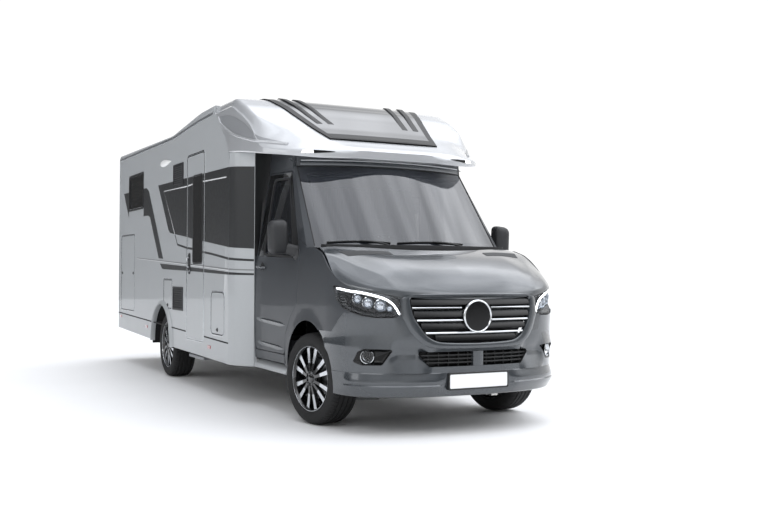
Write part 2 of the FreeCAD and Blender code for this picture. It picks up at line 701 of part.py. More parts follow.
def skirts():
    """Lower panels of both sides with the rear wheel arches and the entrance cut-out."""
    rear_x = WALL_REAR_X + WALL
    front_x = WALL_FRONT_X
    outline = [(rear_x, SKIRT_REAR_Z), (SKIRT_KINK_X, SKIRT_KINK_Z, 4000), (front_x, SKIRT_FRONT_Z),
               (front_x, skirt_z(front_x) - SEAT_GAP), (rear_x, skirt_z(rear_x) - SEAT_GAP)]
    panels = []
    low_y = HALF_WIDTH - 150
    high_y = HALF_WIDTH + 150
    for side in (1, -1):
        panel = slab_y(outline, side * (HALF_WIDTH - WALL), side * HALF_WIDTH)
        centre = REAR_AXLE_X - ARCH_LIP_BACK
        arch = rod(V(centre, side * low_y, ARCH_LIP_Z), V(centre, side * high_y, ARCH_LIP_Z), ARCH_LIP_R)
        panel = panel.cut(arch)
        if side < 0:
            panel = panel.cut(slab_y(rectangle(ENTRANCE, CORNER_R + PANEL_GAP, PANEL_GAP), -high_y, -low_y))
        panels += panel.Solids
    return Part.makeCompound(panels)


def corner_panels():
    """Side panels that draw the wide body in to the cab, with a sill below the cab door."""
    x0 = WALL_FRONT_X + SEAT_GAP
    side_in = CAB_LOW_Y + 16
    plan = [(x0, HALF_WIDTH), (x0 + 130, HALF_WIDTH - 22, 200), (CAB_REAR_X, side_in),
            (CAB_REAR_X, side_in - PANEL_THICK), (x0 + 120, HALF_WIDTH - 22 - PANEL_THICK, 170),
            (x0, HALF_WIDTH - WALL)]
    panel = slab_z(plan, SKIRT_FRONT_Z, 2400).cut(under_cap())
    sill = slab_x([(side_in - 100, SKIRT_FRONT_Z), (side_in - 4, SKIRT_FRONT_Z, 8), (side_in - 16, 385, 20),
                   (side_in - 70, 420), (side_in - 100, 420)], CAB_REAR_X - 1, 2225)
    return pair(fused([panel, sill]))


def leaf(frame, r):
    return slab_y(rectangle(frame, r), HALF_WIDTH - WALL, HALF_WIDTH)


def entrance_door():
    """Door leaf with its long window; the pane is a separate solid in the same leaf."""
    pane = slab_y(rectangle(ENTRANCE_PANE, CORNER_R, -SEAT_GAP), HALF_WIDTH - WALL, HALF_WIDTH)
    hole = slab_y(rectangle(ENTRANCE_PANE, CORNER_R), HALF_WIDTH - WALL - 5, HALF_WIDTH + 5)
    return mirrored(Part.makeCompound([leaf(ENTRANCE, CORNER_R).cut(hole), pane]))


def side_windows():
    """Acrylic windows standing a little proud of the walls."""
    panes = []
    for side in (1, -1):
        for frame, r, is_leaf in wall_frames(side):
            if not is_leaf:
                pane = slab_y(rectangle(frame, r, -SEAT_GAP), HALF_WIDTH - WALL, HALF_WIDTH + PANE_PROUD)
                panes.append(for_side(pane, side))
    return Part.makeCompound(panes)


def side_vents():
    """Two louvred fridge vents on the right side."""
    vents = []
    for frame in (UPPER_VENT, LOWER_VENT):
        panel = slab_y(rectangle(frame, 12), HALF_WIDTH + SEAT_GAP, HALF_WIDTH + VENT_PROUD)
        x0, x1, z0, z1 = frame
        rows = 7
        pitch = (z1 - z0 - 30) / rows
        for i in range(rows):
            z = z0 + 15 + pitch * i
            slot = box(x0 + 20, x1 - 20, HALF_WIDTH + 3, HALF_WIDTH + 20, z + pitch * 0.3, z + pitch * 0.8)
            panel = panel.cut(slot)
        vents.append(mirrored(panel))
    return Part.makeCompound(vents)


def rear_bumper():
    """Moulded rear bumper wrapping both corners, bolted to the ends of the rails."""
    end_x = WALL_REAR_X + WALL - SEAT_GAP
    y = HALF_WIDTH
    t = BUMPER_THICK
    plan = [(TAIL_X, -y, 100), (TAIL_X, y, 100), (end_x, y), (end_x, y - t), (TAIL_X + t, y - t, 60),
            (TAIL_X + t, t - y, 60), (end_x, t - y), (end_x, -y)]
    top = skirt_z(end_x) - SEAT_GAP
    ledge = slab_z([(TAIL_X + 2, 2 - y, 98), (TAIL_X + 2, y - 2, 98), (WALL_REAR_X - SEAT_GAP, y - 2),
                    (WALL_REAR_X - SEAT_GAP, 2 - y)], top - BUMPER_LEDGE, top)
    return fused([slab_z(plan, SKIRT_REAR_Z, top), ledge])


def tail_lamps():
    y = HALF_WIDTH - 42
    outline = [(y - 183, 700, 20), (y, 700, 20), (y, 1160, 30), (y - 138, 1160, 30)]
    lamp = slab_x(outline, WALL_REAR_X - 42, WALL_REAR_X - SEAT_GAP)
    return [lamp, mirrored(lamp)]


def entrance_step():
    return box(ENTRANCE[0] + 40, ENTRANCE[1] - 40, -STEP_OUT_Y, -STEP_IN_Y, STEP_Z, STEP_Z + STEP_THICK)


# Cab

def side_y(z):
    """Half width of the cab at height z: a slight barrel up to the belt, then leaning in."""
    if z >= BELT_Z:
        return between(z, BELT_Z, CAB_BELT_Y, CAB_TOP_Z, CAB_TOP_Y)
    return CAB_MID_Y - (CAB_MID_Y - CAB_BELT_Y) * ((z - CAB_MID_Z) / (BELT_Z - CAB_MID_Z)) ** 2


def cab_side(x0, x1, depth, thick):
    """Left side of the cab from x0 to x1, its outer face depth inside the body line."""
    def point(y, z, inset):
        return V(x0, y - inset, z)

    def lower(inset):
        return Part.Arc(point(CAB_LOW_Y, CAB_LOW_Z, inset), point(CAB_MID_Y, CAB_MID_Z, inset),
                        point(CAB_BELT_Y, BELT_Z, inset)).toShape()

    def upper(inset):
        return Part.makeLine(point(CAB_BELT_Y, BELT_Z, inset), point(CAB_TOP_Y, CAB_TOP_Z, inset))
    ends = [Part.makeLine(point(y, z, depth), point(y, z, depth + thick))
            for y, z in ((CAB_TOP_Y, CAB_TOP_Z), (CAB_LOW_Y, CAB_LOW_Z))]
    back = depth + thick
    edges = [lower(depth), upper(depth), ends[0], upper(back), lower(back), ends[1]]
    wire = Part.Wire(Part.__sortEdges__(edges))
    return Part.Face(wire).extrude(V(x1 - x0, 0, 0))


def cab_door_outline():
    return [(CAB_DOOR_REAR_X, CAB_DOOR_SILL_Z, 40), (2180, CAB_DOOR_SILL_Z, 40), (2225, 700, 120),
            (2340, 850, 120), (CAB_DOOR_FRONT_X, 960, 60), (CAB_DOOR_FRONT_X + 20, 1345, 40),
            (2030, CAB_TOP_Z - 22, 80),
            (CAB_DOOR_REAR_X, CAB_TOP_Z - 2, 50)]


def cab_window_outline():
    return [(1620, 1380, 50), (2360, 1345, 30), (1990, 2045, 60), (1620, 2060, 60)]


def through(points, grow=0.0):
    return slab_y(points, CUT_IN_Y, CUT_OUT_Y, grow)


def cab_door(side):
    door = cab_side(1400, 2700, 0, DOOR_THICK).common(through(cab_door_outline()))
    return for_side(door.cut(through(cab_window_outline())), side)


def door_glass(side):
    glass = cab_side(1400, 2700, GLASS_INSET, GLASS_THICK).common(through(cab_window_outline(), -SEAT_GAP))
    return for_side(glass, side)


def mirror(side):
    """Mirror head on its arm, seated on the door ahead of the window."""
    outline = [(1030, 1372, 40), (1188, 1372, 50), (1200, 1650, 60), (1045, 1672, 40)]
    head = slab_x(across(outline), 2296, 2400)
    side_view = [(2310, 1380, 10), (2450, 1330, 10), (2455, 1375, 10), (2330, 1440, 10)]
    arm = slab_y(side_view, CAB_MID_Y - 40, CAB_MID_Y + 40)
    arm = fused([head, arm]).cut(cab_side(2200, 2600, -SEAT_GAP, 60 + DOOR_THICK))
    keep = [s for s in arm.Solids if s.BoundBox.YMax > CAB_MID_Y + 100]
    return for_side(keep[0], side)


# Windscreen and its frame

def screen_slope():
    return (SCREEN_TOP[0] - SCREEN_ARC_SHIFT - SCREEN_LOW[0]) / (SCREEN_TOP[2] - SCREEN_LOW[2])


def screen_arc(back, z):
    """Bow of the glass at one height, moved back along X."""
    start = SCREEN_LOW[0] - back + screen_slope() * (z - SCREEN_LOW[2])
    half = SCREEN_LOW[1]
    return Part.Arc(V(start, -half, z), V(start + SCREEN_BOW, 0, z), V(start, half, z)).toShape()


def screen_sheet(back, low_z, high_z):
    """Bowed sheet on the windscreen's slope."""
    rise = high_z - low_z
    return screen_arc(back, low_z).extrude(V(screen_slope() * rise, 0, rise))


def screen_trim(edge):
    """Front-view outline of the glass, or of its opening where edge is more than zero."""
    low_y = SCREEN_LOW[1] - edge
    top_y = SCREEN_TOP[1] - edge
    low_z = SCREEN_LOW[2] + edge
    top_z = SCREEN_TOP[2] - edge
    r = edge * 0.6
    return slab_x([(-low_y, low_z, r), (low_y, low_z, r), (top_y, top_z, r), (-top_y, top_z, r)], 1800, 3200)


def windscreen():
    glass = screen_sheet(0, SCREEN_LOW[2] - 20, SCREEN_TOP[2] + 20).extrude(V(-SCREEN_THICK, 0, 0))
    return glass.common(screen_trim(0))


def screen_frame():
    """Pillars, header and scuttle in one ring behind the glass."""
    back = SCREEN_THICK + SEAT_GAP
    band = screen_sheet(back, SCREEN_LOW[2] - 20, SCREEN_TOP[2] + 20).extrude(V(-FRAME_DEPTH, 0, 0))
    return band.common(screen_trim(0)).cut(screen_trim(FRAME_WIDTH))


def screen_pillar():
    """Left windscreen pillar, from the door's sloping edge round to the glass."""
    low = [(2450, 966), (2562, 948), (2604, 894), (2590, 891), (2560, 870), (2430, 900), (2430, 921),
           (2450, 921)]
    high = [(2012, 854), (2036, 848), (2054, 835), (2040, 832), (2020, 800), (1995, 795), (1995, 808.5),
            (2012, 808.5)]
    ends = []
    for points, z in ((low, SCREEN_LOW[2]), (high, SCREEN_TOP[2])):
        ends.append(rounded_wire(across_plan(points), lambda p: V(p.x, p.y, z)))
    return Part.makeLoft(ends, True, True)


def brow():
    """Curved band closing the space between the windscreen's top and the cap."""
    back = SCREEN_THICK + SEAT_GAP
    arc = screen_arc(back, SCREEN_TOP[2])
    arc.translate(V(0, 0, -20))
    wall = arc.extrude(V(0, 0, 200)).extrude(V(-30, 0, 0))
    return wall.common(box(1900, 2500, -SCREEN_TOP[1], SCREEN_TOP[1], 2100, 2400))


def roof_side():
    """Left side of the cab's roof, between the door's top and the cap."""
    outline = [(750, 2095), (808, 2095), (808, 2104), (858, 2104), (836, 2340), (750, 2340)]
    panel = slab_x(across(outline), CAB_REAR_X + SEAT_GAP, SCREEN_TOP[0] - 20)
    return panel.cut(slab_y(cab_door_outline(), outward(808), CUT_OUT_Y, PANEL_GAP))


def cab_shell():
    """Floor, sills, door posts, windscreen frame, roof sides and bulkhead."""
    top = FLOOR_Z + CAB_FLOOR_THICK
    start = WALL_FRONT_X + SEAT_GAP
    half = [(start, 1114), (start + 118, 1088), (CAB_REAR_X, 960), (CAB_REAR_X, 895), (2225, 895)]
    plan = across_plan(half + [(x, -y) for x, y in reversed(half)])
    tunnel = outward(520)
    bulkhead = outward(850)
    ledge = outward(830)
    header = outward(790)
    parts = [slab_z(plan, FLOOR_Z, top),
             box(2220, FIREWALL_X, -tunnel, tunnel, FLOOR_Z, top),
             box(FIREWALL_X, FIREWALL_X + 20, -tunnel, tunnel, FLOOR_Z, 810),
             box(FIREWALL_X, FIREWALL_X + 20, -bulkhead, bulkhead, 800, 1400),
             box(FIREWALL_X - 90, FIREWALL_X + 60, -ledge, ledge, 1380, 1400),
             screen_frame(),
             brow().cut(under_cap()),
             box(SCREEN_TOP[0] - 75, SCREEN_TOP[0] - 30, -header, header, SCREEN_TOP[2] - 45,
                 SCREEN_TOP[2] + 10)]
    seal = DOOR_THICK + SEAT_GAP
    rear_post = cab_side(CAB_REAR_X + SEAT_GAP, CAB_REAR_X + 100, seal, 40)
    rear_edge = cab_side(CAB_REAR_X + SEAT_GAP, CAB_DOOR_REAR_X - PANEL_GAP, 0, 60)
    front_post = cab_side(CAB_DOOR_FRONT_X - 60, CAB_DOOR_FRONT_X + 60, seal, 60)
    front_post = front_post.common(box(2000, 3000, 0, 2000, 940, 1400))
    sill = cab_side(CAB_REAR_X + SEAT_GAP, 2225, seal, 60).common(box(1000, 3000, 0, 2000, 430, top))
    rocker = cab_side(CAB_REAR_X + SEAT_GAP, 2185, 0, 60)
    rocker = rocker.common(box(1000, 3000, 0, 2000, 430, CAB_DOOR_SILL_Z - PANEL_GAP))
    dash_beam = box(CAB_DOOR_FRONT_X, FIREWALL_X + 1, outward(800), outward(900), 1000, 1060)
    roof_edge = roof_side().cut(under_cap())
    for shape in (rear_post, rear_edge, front_post, sill, rocker, dash_beam, screen_pillar(), roof_edge):
        parts += [shape, mirrored(shape)]
    wing_y = CAB_MID_Y - PANEL_THICK - SEAT_GAP
    low_y = outward(700)
    high_y = outward(740)
    for side in (1, -1):
        parts.append(box(FIREWALL_X, FIREWALL_X + 20, side * outward(840), side * wing_y, 880, 920))
        parts.append(box(FIREWALL_X, 3260, side * low_y, side * high_y, 860, 900))
        for x in (2850, 3220):
            post = box(x, x + 40, side * low_y, side * high_y, 880, 1500)
            parts.append(post.cut(bonnet_block(SEAT_GAP)))
    return fused(parts)


def scuttle():
    """Black panel below the windscreen, carrying the wipers, open over the bonnet's rear edge."""
    low, high = 1400 + SEAT_GAP, SCREEN_LOW[2] + 26
    half = [(2950, 0, 2000), (2770, 860, 40), (2640, 872, 40)]
    inner = [(2640, -872, 40), (2770, -860, 40)]
    block = slab_z(across_plan(half + inner), low, high)
    block = block.cut(screen_sheet(-SEAT_GAP, 1380, 1480).extrude(V(-600, 0, 0)))
    return block.cut(slab_z(bonnet_plan(), 1000, 1700, PANEL_GAP))


# Nose

def nose_section(station, inset):
    """Closed plan section of the front end, through points of one smooth curve a side."""
    z, front = station
    wide = side_y(z) - inset
    tip = front - inset
    poles = [V(NOSE_REAR_X, wide, z), V(NOSE_SIDE_X - inset / 2, wide, z),
             V(tip, NOSE_CORNER_Y - inset / 2, z), V(tip, 0, z)]
    line = Part.BezierCurve()
    line.setPoles(poles)
    half = [line.value(i / NOSE_FACETS) for i in range(NOSE_FACETS + 1)]
    other = [V(p.x, -p.y, p.z) for p in reversed(half[:-1])]
    return Part.makePolygon(half + other + half[:1])


def nose_form(inset, extend=0.0):
    stations = [list(s) for s in NOSE_STATIONS]
    stations[0][0] -= extend
    stations[-1][0] += extend
    return Part.makeLoft([nose_section(s, inset) for s in stations], True, True)


def nose_shell(depth, thick):
    return nose_form(depth).cut(nose_form(depth + thick, 10))


def grille_outline():
    half = [(430, 712, 40), (500, 745, 60), (590, 920, 60), (600, 1050, 20)]
    return across([(-y, z, r) for y, z, r in reversed(half)] + half)


def lamp_outline():
    return across([(618, 1046, 8), (618, 905, 18), (760, 872, 90), (930, 925, 120), (1040, 1096, 12)])


def seam_region(grow):
    """What lies above the seam between bumper and fender, seen from the side."""
    outline = [(3000, 800), (3150, 800), (3440, 905), (3600, 905), (3600, 1200), (3000, 1200)]
    return slab_y(outline, CUT_IN_Y - 10, CUT_OUT_Y, grow)


def lower_grille_outline():
    return across([(-505, 524, 20), (505, 524, 20), (535, 628, 30), (-535, 628, 30)])


def fog_outline():
    return across([(700, 540, 20), (860, 520, 40), (905, 575, 30), (700, 650, 40)])


def front_bumper():
    """Bumper skin with the grille, lamp and air openings, and the number plate's carrier."""
    g = SEAT_GAP
    shell = nose_shell(0, PANEL_THICK)
    far = NOSE_X + 100
    cuts = [slab_x(grille_outline(), 3000, far, g), slab_x(lower_grille_outline(), 3400, far),
            box(NOSE_REAR_X - 10, far, -CUT_OUT_Y, CUT_OUT_Y, BUMPER_TOP_Z, 1300),
            rod(V(ARCH_X, -CUT_OUT_Y, ARCH_Z), V(ARCH_X, CUT_OUT_Y, ARCH_Z), ARCH_R), bonnet_block(PANEL_GAP)]
    for side in (1, -1):
        cuts.append(for_side(slab_x(lamp_outline(), 3000, far, g), side))
        cuts.append(for_side(seam_region(g), side))
        cuts.append(for_side(slab_x(fog_outline(), 3300, far), side))
    shell = shell.cut(cuts)
    main = max(shell.Solids, key=lambda s: s.Volume)
    frame = (-PLATE_WIDTH / 2 - 8, PLATE_WIDTH / 2 + 8, PLATE_Z - 63, PLATE_Z + 63)
    carrier = slab_x(rectangle(frame, 8), NOSE_X - 40, NOSE_X)
    rest = nose_form(10)
    pieces = [main, carrier]
    for z in (556, 590):
        outline = across([(-530, z), (530, z), (530, z + 10), (-530, z + 10)])
        pieces.append(slab_x(outline, 3400, far).common(rest).cut(nose_form(40, 10)))
    return fused(pieces)


def grille():
    """Surround with wide bars across the opening and a round boss in the middle, left plain."""
    panel = nose_shell(4, PANEL_THICK).common(slab_x(grille_outline(), 3300, NOSE_X))
    panel = panel.cut(bonnet_block(PANEL_GAP))
    holes = []
    pitch = 76.0
    for i in range(GRILLE_BARS + 1):
        z0 = 738 + pitch * i
        half = outward(470 + 32 * i)
        holes.append(slab_x(rectangle((-half, half, z0, z0 + pitch - 26), 8), 3300, NOSE_X + 50))
    boss = rod(V(3640, 0, 895), V(3684, 0, 895), 100)
    return fused([panel.cut(holes), boss])


def headlamps():
    lamp = nose_shell(2, 90).common(slab_x(lamp_outline(), 3140, NOSE_X))
    lamp = lamp.cut([bonnet_space(0), bonnet_block(PANEL_GAP)])
    lens = max(lamp.Solids, key=lambda s: s.Volume)
    return [lens, mirrored(lens)]


# Bonnet and fenders

def bonnet_section(station, drop, rise):
    """Cross section at one x: flat middle, crease, then the falling side."""
    x, middle, crease, edge = station
    half = [(0, middle), (BONNET_CREASE_Y * 0.55, middle * 0.75 + crease * 0.25), (BONNET_CREASE_Y, crease),
            (BONNET_SIDE_Y, (crease + edge) / 2 + BONNET_BULGE), (BONNET_HALF, edge)]
    line = [V(x, -y, z - drop) for y, z in reversed(half)] + [V(x, y, z - drop) for y, z in half[1:]]
    top = [V(x, BONNET_HALF, BONNET_TOP + rise), V(x, -BONNET_HALF, BONNET_TOP + rise)]
    return Part.makePolygon(line + top + line[:1])


def bonnet_space(drop):
    """Everything above the bonnet's outer face moved down by drop."""
    return Part.makeLoft([bonnet_section(s, drop, drop) for s in BONNET_STATIONS], True, True)


def bonnet_plan():
    half = [(3000, 0, 2000), (2776, 925, 20), (3165, 968, 40), (3200, 940, 30), (3565, 606, 60),
            (3618, 0, 4000)]
    return across_plan(half + [(x, -y, r) for x, y, r in reversed(half[1:-1])])


def bonnet_block(gap):
    """The bonnet's own room, reaching a gap below it and the panel gap round it."""
    return bonnet_space(BONNET_THICK + gap).common(slab_z(bonnet_plan(), 900, 1800, PANEL_GAP))


def bonnet():
    return bonnet_space(BONNET_THICK).common(slab_z(bonnet_plan(), 900, 1700)).cut(bonnet_space(0))


def fenders():
    """Front wings: the side panel over the wheel and the corner behind the headlamp."""
    side_panel = cab_side(FENDER_REAR_X, NOSE_REAR_X, 0, PANEL_THICK)
    corner = nose_shell(0, PANEL_THICK).common(seam_region(0))
    corner = corner.cut(slab_x(lamp_outline(), 3000, NOSE_X, SEAT_GAP))
    corner = max(corner.Solids, key=lambda s: s.Volume)
    outline = slab_y([(FENDER_REAR_X, 400), (FENDER_REAR_X, 1000), (2400, 1000), (2470, 1338), (2620, 1424),
                      (2900, 1424), (NOSE_REAR_X + 400, 1150), (NOSE_REAR_X + 400, 400)],
                     CUT_IN_Y - 10, CUT_OUT_Y)
    outline = outline.cut(through(cab_door_outline(), PANEL_GAP))
    arch = rod(V(ARCH_X, CUT_IN_Y - 100, ARCH_Z), V(ARCH_X, CUT_OUT_Y, ARCH_Z), ARCH_R)
    wing = fused([side_panel, corner]).common(outline).cut([arch, bonnet_space(0), bonnet_block(PANEL_GAP)])
    below = [(NOSE_REAR_X - 40, 300), (3600, 300), (3600, 799), (NOSE_REAR_X - 40, 799)]
    wing = wing.cut(slab_y(below, CUT_IN_Y - 10, CUT_OUT_Y))
    return pair(max(wing.Solids, key=lambda s: s.Volume))


# Cab interior

def wheel_axis():
    return V(-sin(radians(WHEEL_TILT)), 0, cos(radians(WHEEL_TILT)))


def dashboard():
    """Dashboard moulding with the steering column's shroud."""
    front_x = FIREWALL_X - SEAT_GAP
    half = outward(790)
    body = slab_y([(2200, 990, 40), (2255, 1240, 60), (front_x, 1340), (front_x, 990)], -half, half)
    axis = wheel_axis()
    start = WHEEL_CENTRE - axis * (40 + SEAT_GAP)
    shroud = rod(start, start - axis * 260, 42)
    return fused([body, shroud])


def steering_wheel():
    """Rim, hub and three spokes; the parked wheel is turned with the road wheels."""
    r = WHEEL_RING_R
    centre = V(0, 0, 0)
    ring = turned([(-13, r), (-4, r + 13), (4, r + 13), (13, r)], centre, HUB_SIDES * 2)
    ring = ring.cut(turned([(-14, r), (-6, r - 13), (6, r - 13), (14, r)], centre, HUB_SIDES * 2))
    ring.rotate(centre, V(1, 0, 0), 90)
    hub = rod(V(0, 0, -40), V(0, 0, 14), 50)
    pieces = [ring, hub]
    for angle in (0, 130, 230):
        spoke = box(0, r, -15, 15, -10, 2)
        spoke.rotate(V(0, 0, 0), V(0, 0, 1), angle)
        pieces.append(spoke)
    wheel = fused(pieces)
    wheel.rotate(V(0, 0, 0), V(0, 1, 0), -WHEEL_TILT)
    wheel.translate(WHEEL_CENTRE)
    return wheel


def seat(side):
    """Cab seat: pedestal, cushion, reclined back and headrest."""
    y0 = SEAT_Y - SEAT_WIDTH / 2
    y1 = SEAT_Y + SEAT_WIDTH / 2
    z0 = FLOOR_Z + CAB_FLOOR_THICK + SEAT_GAP
    pedestal = box(1420, 1800, y0 + 60, y1 - 60, z0, z0 + 240)
    cushion = slab_y([(1330, z0 + 220), (1850, z0 + 220), (1880, z0 + 350, 50), (1330, z0 + 330)], y0, y1)
    back = slab_y([(1380, z0 + 300), (1480, z0 + 340), (1330, z0 + 940, 40), (1230, z0 + 920, 40)],
                  y0 + 20, y1 - 20)
    head = slab_y([(1318, z0 + 900), (1305, z0 + 1120, 30), (1225, z0 + 1120, 30), (1255, z0 + 900)],
                  y0 + 130, y1 - 130)
    return for_side(fused([pedestal, cushion, back, head]), side)


def main():
    os.makedirs("parts", exist_ok=True)
    wheels()
    save("front_axle", front_axle())
    save("rear_axle", rear_axle())
    save("chassis_frame", chassis_frame())
    save("engine", engine())
    save("tanks", tanks())
    save("floor", floor())
    save("rear_wall", rear_wall())
    save("roof", roof())
    save("overcab", overcab())
    save("roof_windows", Part.makeCompound([skylight()] + roof_lights()))
    save("skirts", skirts())
    save("corner_panels", corner_panels())
    save("entrance_door", entrance_door())
    save("gas_hatch", mirrored(leaf(GAS_HATCH, CORNER_R + 16)))
    save("service_flap", mirrored(leaf(SERVICE_FLAP, CORNER_R / 2)))
    save("side_windows", side_windows())
    save("side_vents", side_vents())
    save("rear_bumper", rear_bumper())
    save("entrance_step", entrance_step())
    save("cab_shell", cab_shell())
    for word, side in (("left", 1), ("right", -1)):
        save("knuckle_" + word, knuckle(side))
        save("side_wall_" + word, side_wall(side))
        save("garage_door_" + word, for_side(leaf(GARAGE, CORNER_R), side))
        save("cab_door_" + word, cab_door(side))
        save("door_glass_" + word, door_glass(side))
        save("mirror_" + word, mirror(side))
    save("windscreen", windscreen())
    save("front_bumper", front_bumper())
    save("grille", grille())
    markers = marker_lamps(0)
    save("lamps", Part.makeCompound(tail_lamps() + headlamps() + [markers, mirrored(markers)]))
    save("scuttle", scuttle())
    save("bonnet", bonnet())
    save("fenders", fenders())
    save("dashboard", dashboard())
    save("steering_wheel", steering_wheel())
    save("seats", Part.makeCompound([seat(1), seat(-1)]))


main()
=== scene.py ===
# Motorhome: the looks of its pieces, in metres, +X forward, +Y to its left, +Z up.
import bpy
import bmesh
from math import cos, sin, tan, pi, radians, sqrt
from mathutils import Matrix, Vector
from mathutils.bvhtree import BVHTree


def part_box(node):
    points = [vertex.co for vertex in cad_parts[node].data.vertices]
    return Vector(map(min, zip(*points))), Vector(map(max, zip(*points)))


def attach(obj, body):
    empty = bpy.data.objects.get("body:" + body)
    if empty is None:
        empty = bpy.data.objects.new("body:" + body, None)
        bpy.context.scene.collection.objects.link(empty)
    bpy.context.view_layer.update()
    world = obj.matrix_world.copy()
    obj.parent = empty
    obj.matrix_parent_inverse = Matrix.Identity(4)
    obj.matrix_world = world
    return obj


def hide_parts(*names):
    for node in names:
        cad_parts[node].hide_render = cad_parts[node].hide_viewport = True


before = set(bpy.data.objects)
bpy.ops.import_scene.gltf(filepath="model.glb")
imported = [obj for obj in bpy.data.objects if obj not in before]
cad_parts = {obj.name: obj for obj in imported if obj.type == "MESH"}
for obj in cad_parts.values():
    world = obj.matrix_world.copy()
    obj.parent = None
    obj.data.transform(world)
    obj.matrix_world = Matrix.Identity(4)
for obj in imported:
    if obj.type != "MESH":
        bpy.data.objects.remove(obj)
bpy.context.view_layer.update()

# Studio: a matt white floor, a pale dome of light and two soft boxes on the right side.
# Dark screens and a bright overhead cloth hang in the dome, for the paint and the glass to mirror.
# The camera stands at the right front corner, at about chest height.
# Its angles are in radians and its lens in millimetres.
CAMERA_PLACE = (9.839, -4.016, 1.241)
CAMERA_YAW = 2.662
CAMERA_PITCH = 0.015
CAMERA_ROLL = 0.005
CAMERA_LENS = 44.91
FLOOR_SPAN = 60.0


def srgb(code):
    """Linear colour of an sRGB hex value."""
    parts = [int(code[i:i + 2], 16) / 255 for i in (0, 2, 4)]
    return tuple(c / 12.92 if c <= 0.04045 else ((c + 0.055) / 1.055) ** 2.4 for c in parts) + (1.0,)


def add(material, kind, settings, links=()):
    """One node with its settings, and what feeds its sockets."""
    node = material.node_tree.nodes.new(kind)
    for name, value in settings.items():
        if isinstance(name, int) or name in node.inputs:
            node.inputs[name].default_value = value
        else:
            setattr(node, name, value)
    for name, source in links:
        material.node_tree.links.new(source, node.inputs[name])
    return node


def finish(name, code, second, roughness, metallic, grain_mm, depth_mm, **sockets):
    """A finish of two close shades and one surface grain, measured in millimetres."""
    material = bpy.data.materials.new(name)
    material.use_nodes = True
    material.node_tree.nodes.clear()
    place = add(material, "ShaderNodeTexCoord", {}).outputs["Object"]
    grain = add(material, "ShaderNodeTexNoise", {"Scale": 1000.0 / grain_mm, "Detail": 3.0},
                [("Vector", place)])
    wide = add(material, "ShaderNodeTexNoise", {"Scale": 40.0 / grain_mm, "Detail": 2.0}, [("Vector", place)])
    shade = add(material, "ShaderNodeMix", {"data_type": "RGBA", 6: srgb(code), 7: srgb(second)},
                [(0, wide.outputs[0])])
    rough = add(material, "ShaderNodeMapRange", {3: roughness * 0.85, 4: min(1.0, roughness * 1.2)},
                [(0, grain.outputs[0])])
    bump = add(material, "ShaderNodeBump", {"Strength": 0.6, "Distance": depth_mm / 1000.0},
               [("Height", grain.outputs[0])])
    settings = {"Metallic": metallic}
    settings.update(sockets)
    shader = add(material, "ShaderNodeBsdfPrincipled", settings,
                 [("Base Color", shade.outputs[2]), ("Roughness", rough.outputs[0]),
                  ("Normal", bump.outputs[0])])
    add(material, "ShaderNodeOutputMaterial", {}, [("Surface", shader.outputs[0])])
    return material


def direction(yaw, pitch):
    """Unit vector for a compass angle and a height angle."""
    return Vector((cos(yaw) * cos(pitch), sin(yaw) * cos(pitch), sin(pitch)))


camera = bpy.data.objects.new("camera", bpy.data.cameras.new("camera"))
bpy.context.scene.collection.objects.link(camera)
camera.location = CAMERA_PLACE
aim = direction(CAMERA_YAW, CAMERA_PITCH).to_track_quat("-Z", "Y").to_matrix()
camera.rotation_euler = (aim @ Matrix.Rotation(CAMERA_ROLL, 3, "Z")).to_euler()
camera.data.lens = CAMERA_LENS
camera.data.clip_end = 200.0
bpy.context.scene.camera = camera

# Matt wall paint: it scatters the light, so the shadow is soft and nothing mirrors in it.
floor_finish = finish("studio_floor_matt_paint", "F1F1F1", "EDEDED", 0.6, 0.0, 40.0, 0.02)
floor_mesh = bpy.data.meshes.new("studio_floor")
half = FLOOR_SPAN / 2
floor_mesh.from_pydata([(-half, -half, 0), (half, -half, 0), (half, half, 0), (-half, half, 0)], [],
                       [(0, 1, 2, 3)])
studio_floor = bpy.data.objects.new("studio_floor", floor_mesh)
bpy.context.scene.collection.objects.link(studio_floor)
floor_mesh.materials.append(floor_finish)

world = bpy.data.worlds.new("studio_dome")
world.use_nodes = True
world.node_tree.nodes.clear()
spot = add(world, "ShaderNodeTexCoord", {}).outputs["Generated"]
height = add(world, "ShaderNodeSeparateXYZ", {}, [("Vector", spot)]).outputs["Z"]
dome = add(world, "ShaderNodeValToRGB", {}, [("Fac", height)])
dome.color_ramp.elements[0].position = 0.02
dome.color_ramp.elements[0].color = srgb("FFFFFF")
dome.color_ramp.elements[1].position = 0.85
dome.color_ramp.elements[1].color = srgb("CFD1D5")
drapes = add(world, "ShaderNodeTexNoise", {"Scale": 2.2, "Detail": 2.0}, [("Vector", spot)])
folds = add(world, "ShaderNodeMapRange", {1: 0.38, 2: 0.62, 3: 0.0, 4: 0.5}, [(0, drapes.outputs[0])])
above = add(world, "ShaderNodeMapRange", {1: 0.12, 2: 0.4}, [(0, height)])
veil = add(world, "ShaderNodeMath", {"operation": "MULTIPLY"}, [(0, folds.outputs[0]), (1, above.outputs[0])])
shade = add(world, "ShaderNodeMix", {"data_type": "RGBA", 7: srgb("94979D")},
            [(0, veil.outputs[0]), (6, dome.outputs[0])])
colour = shade.outputs[2]
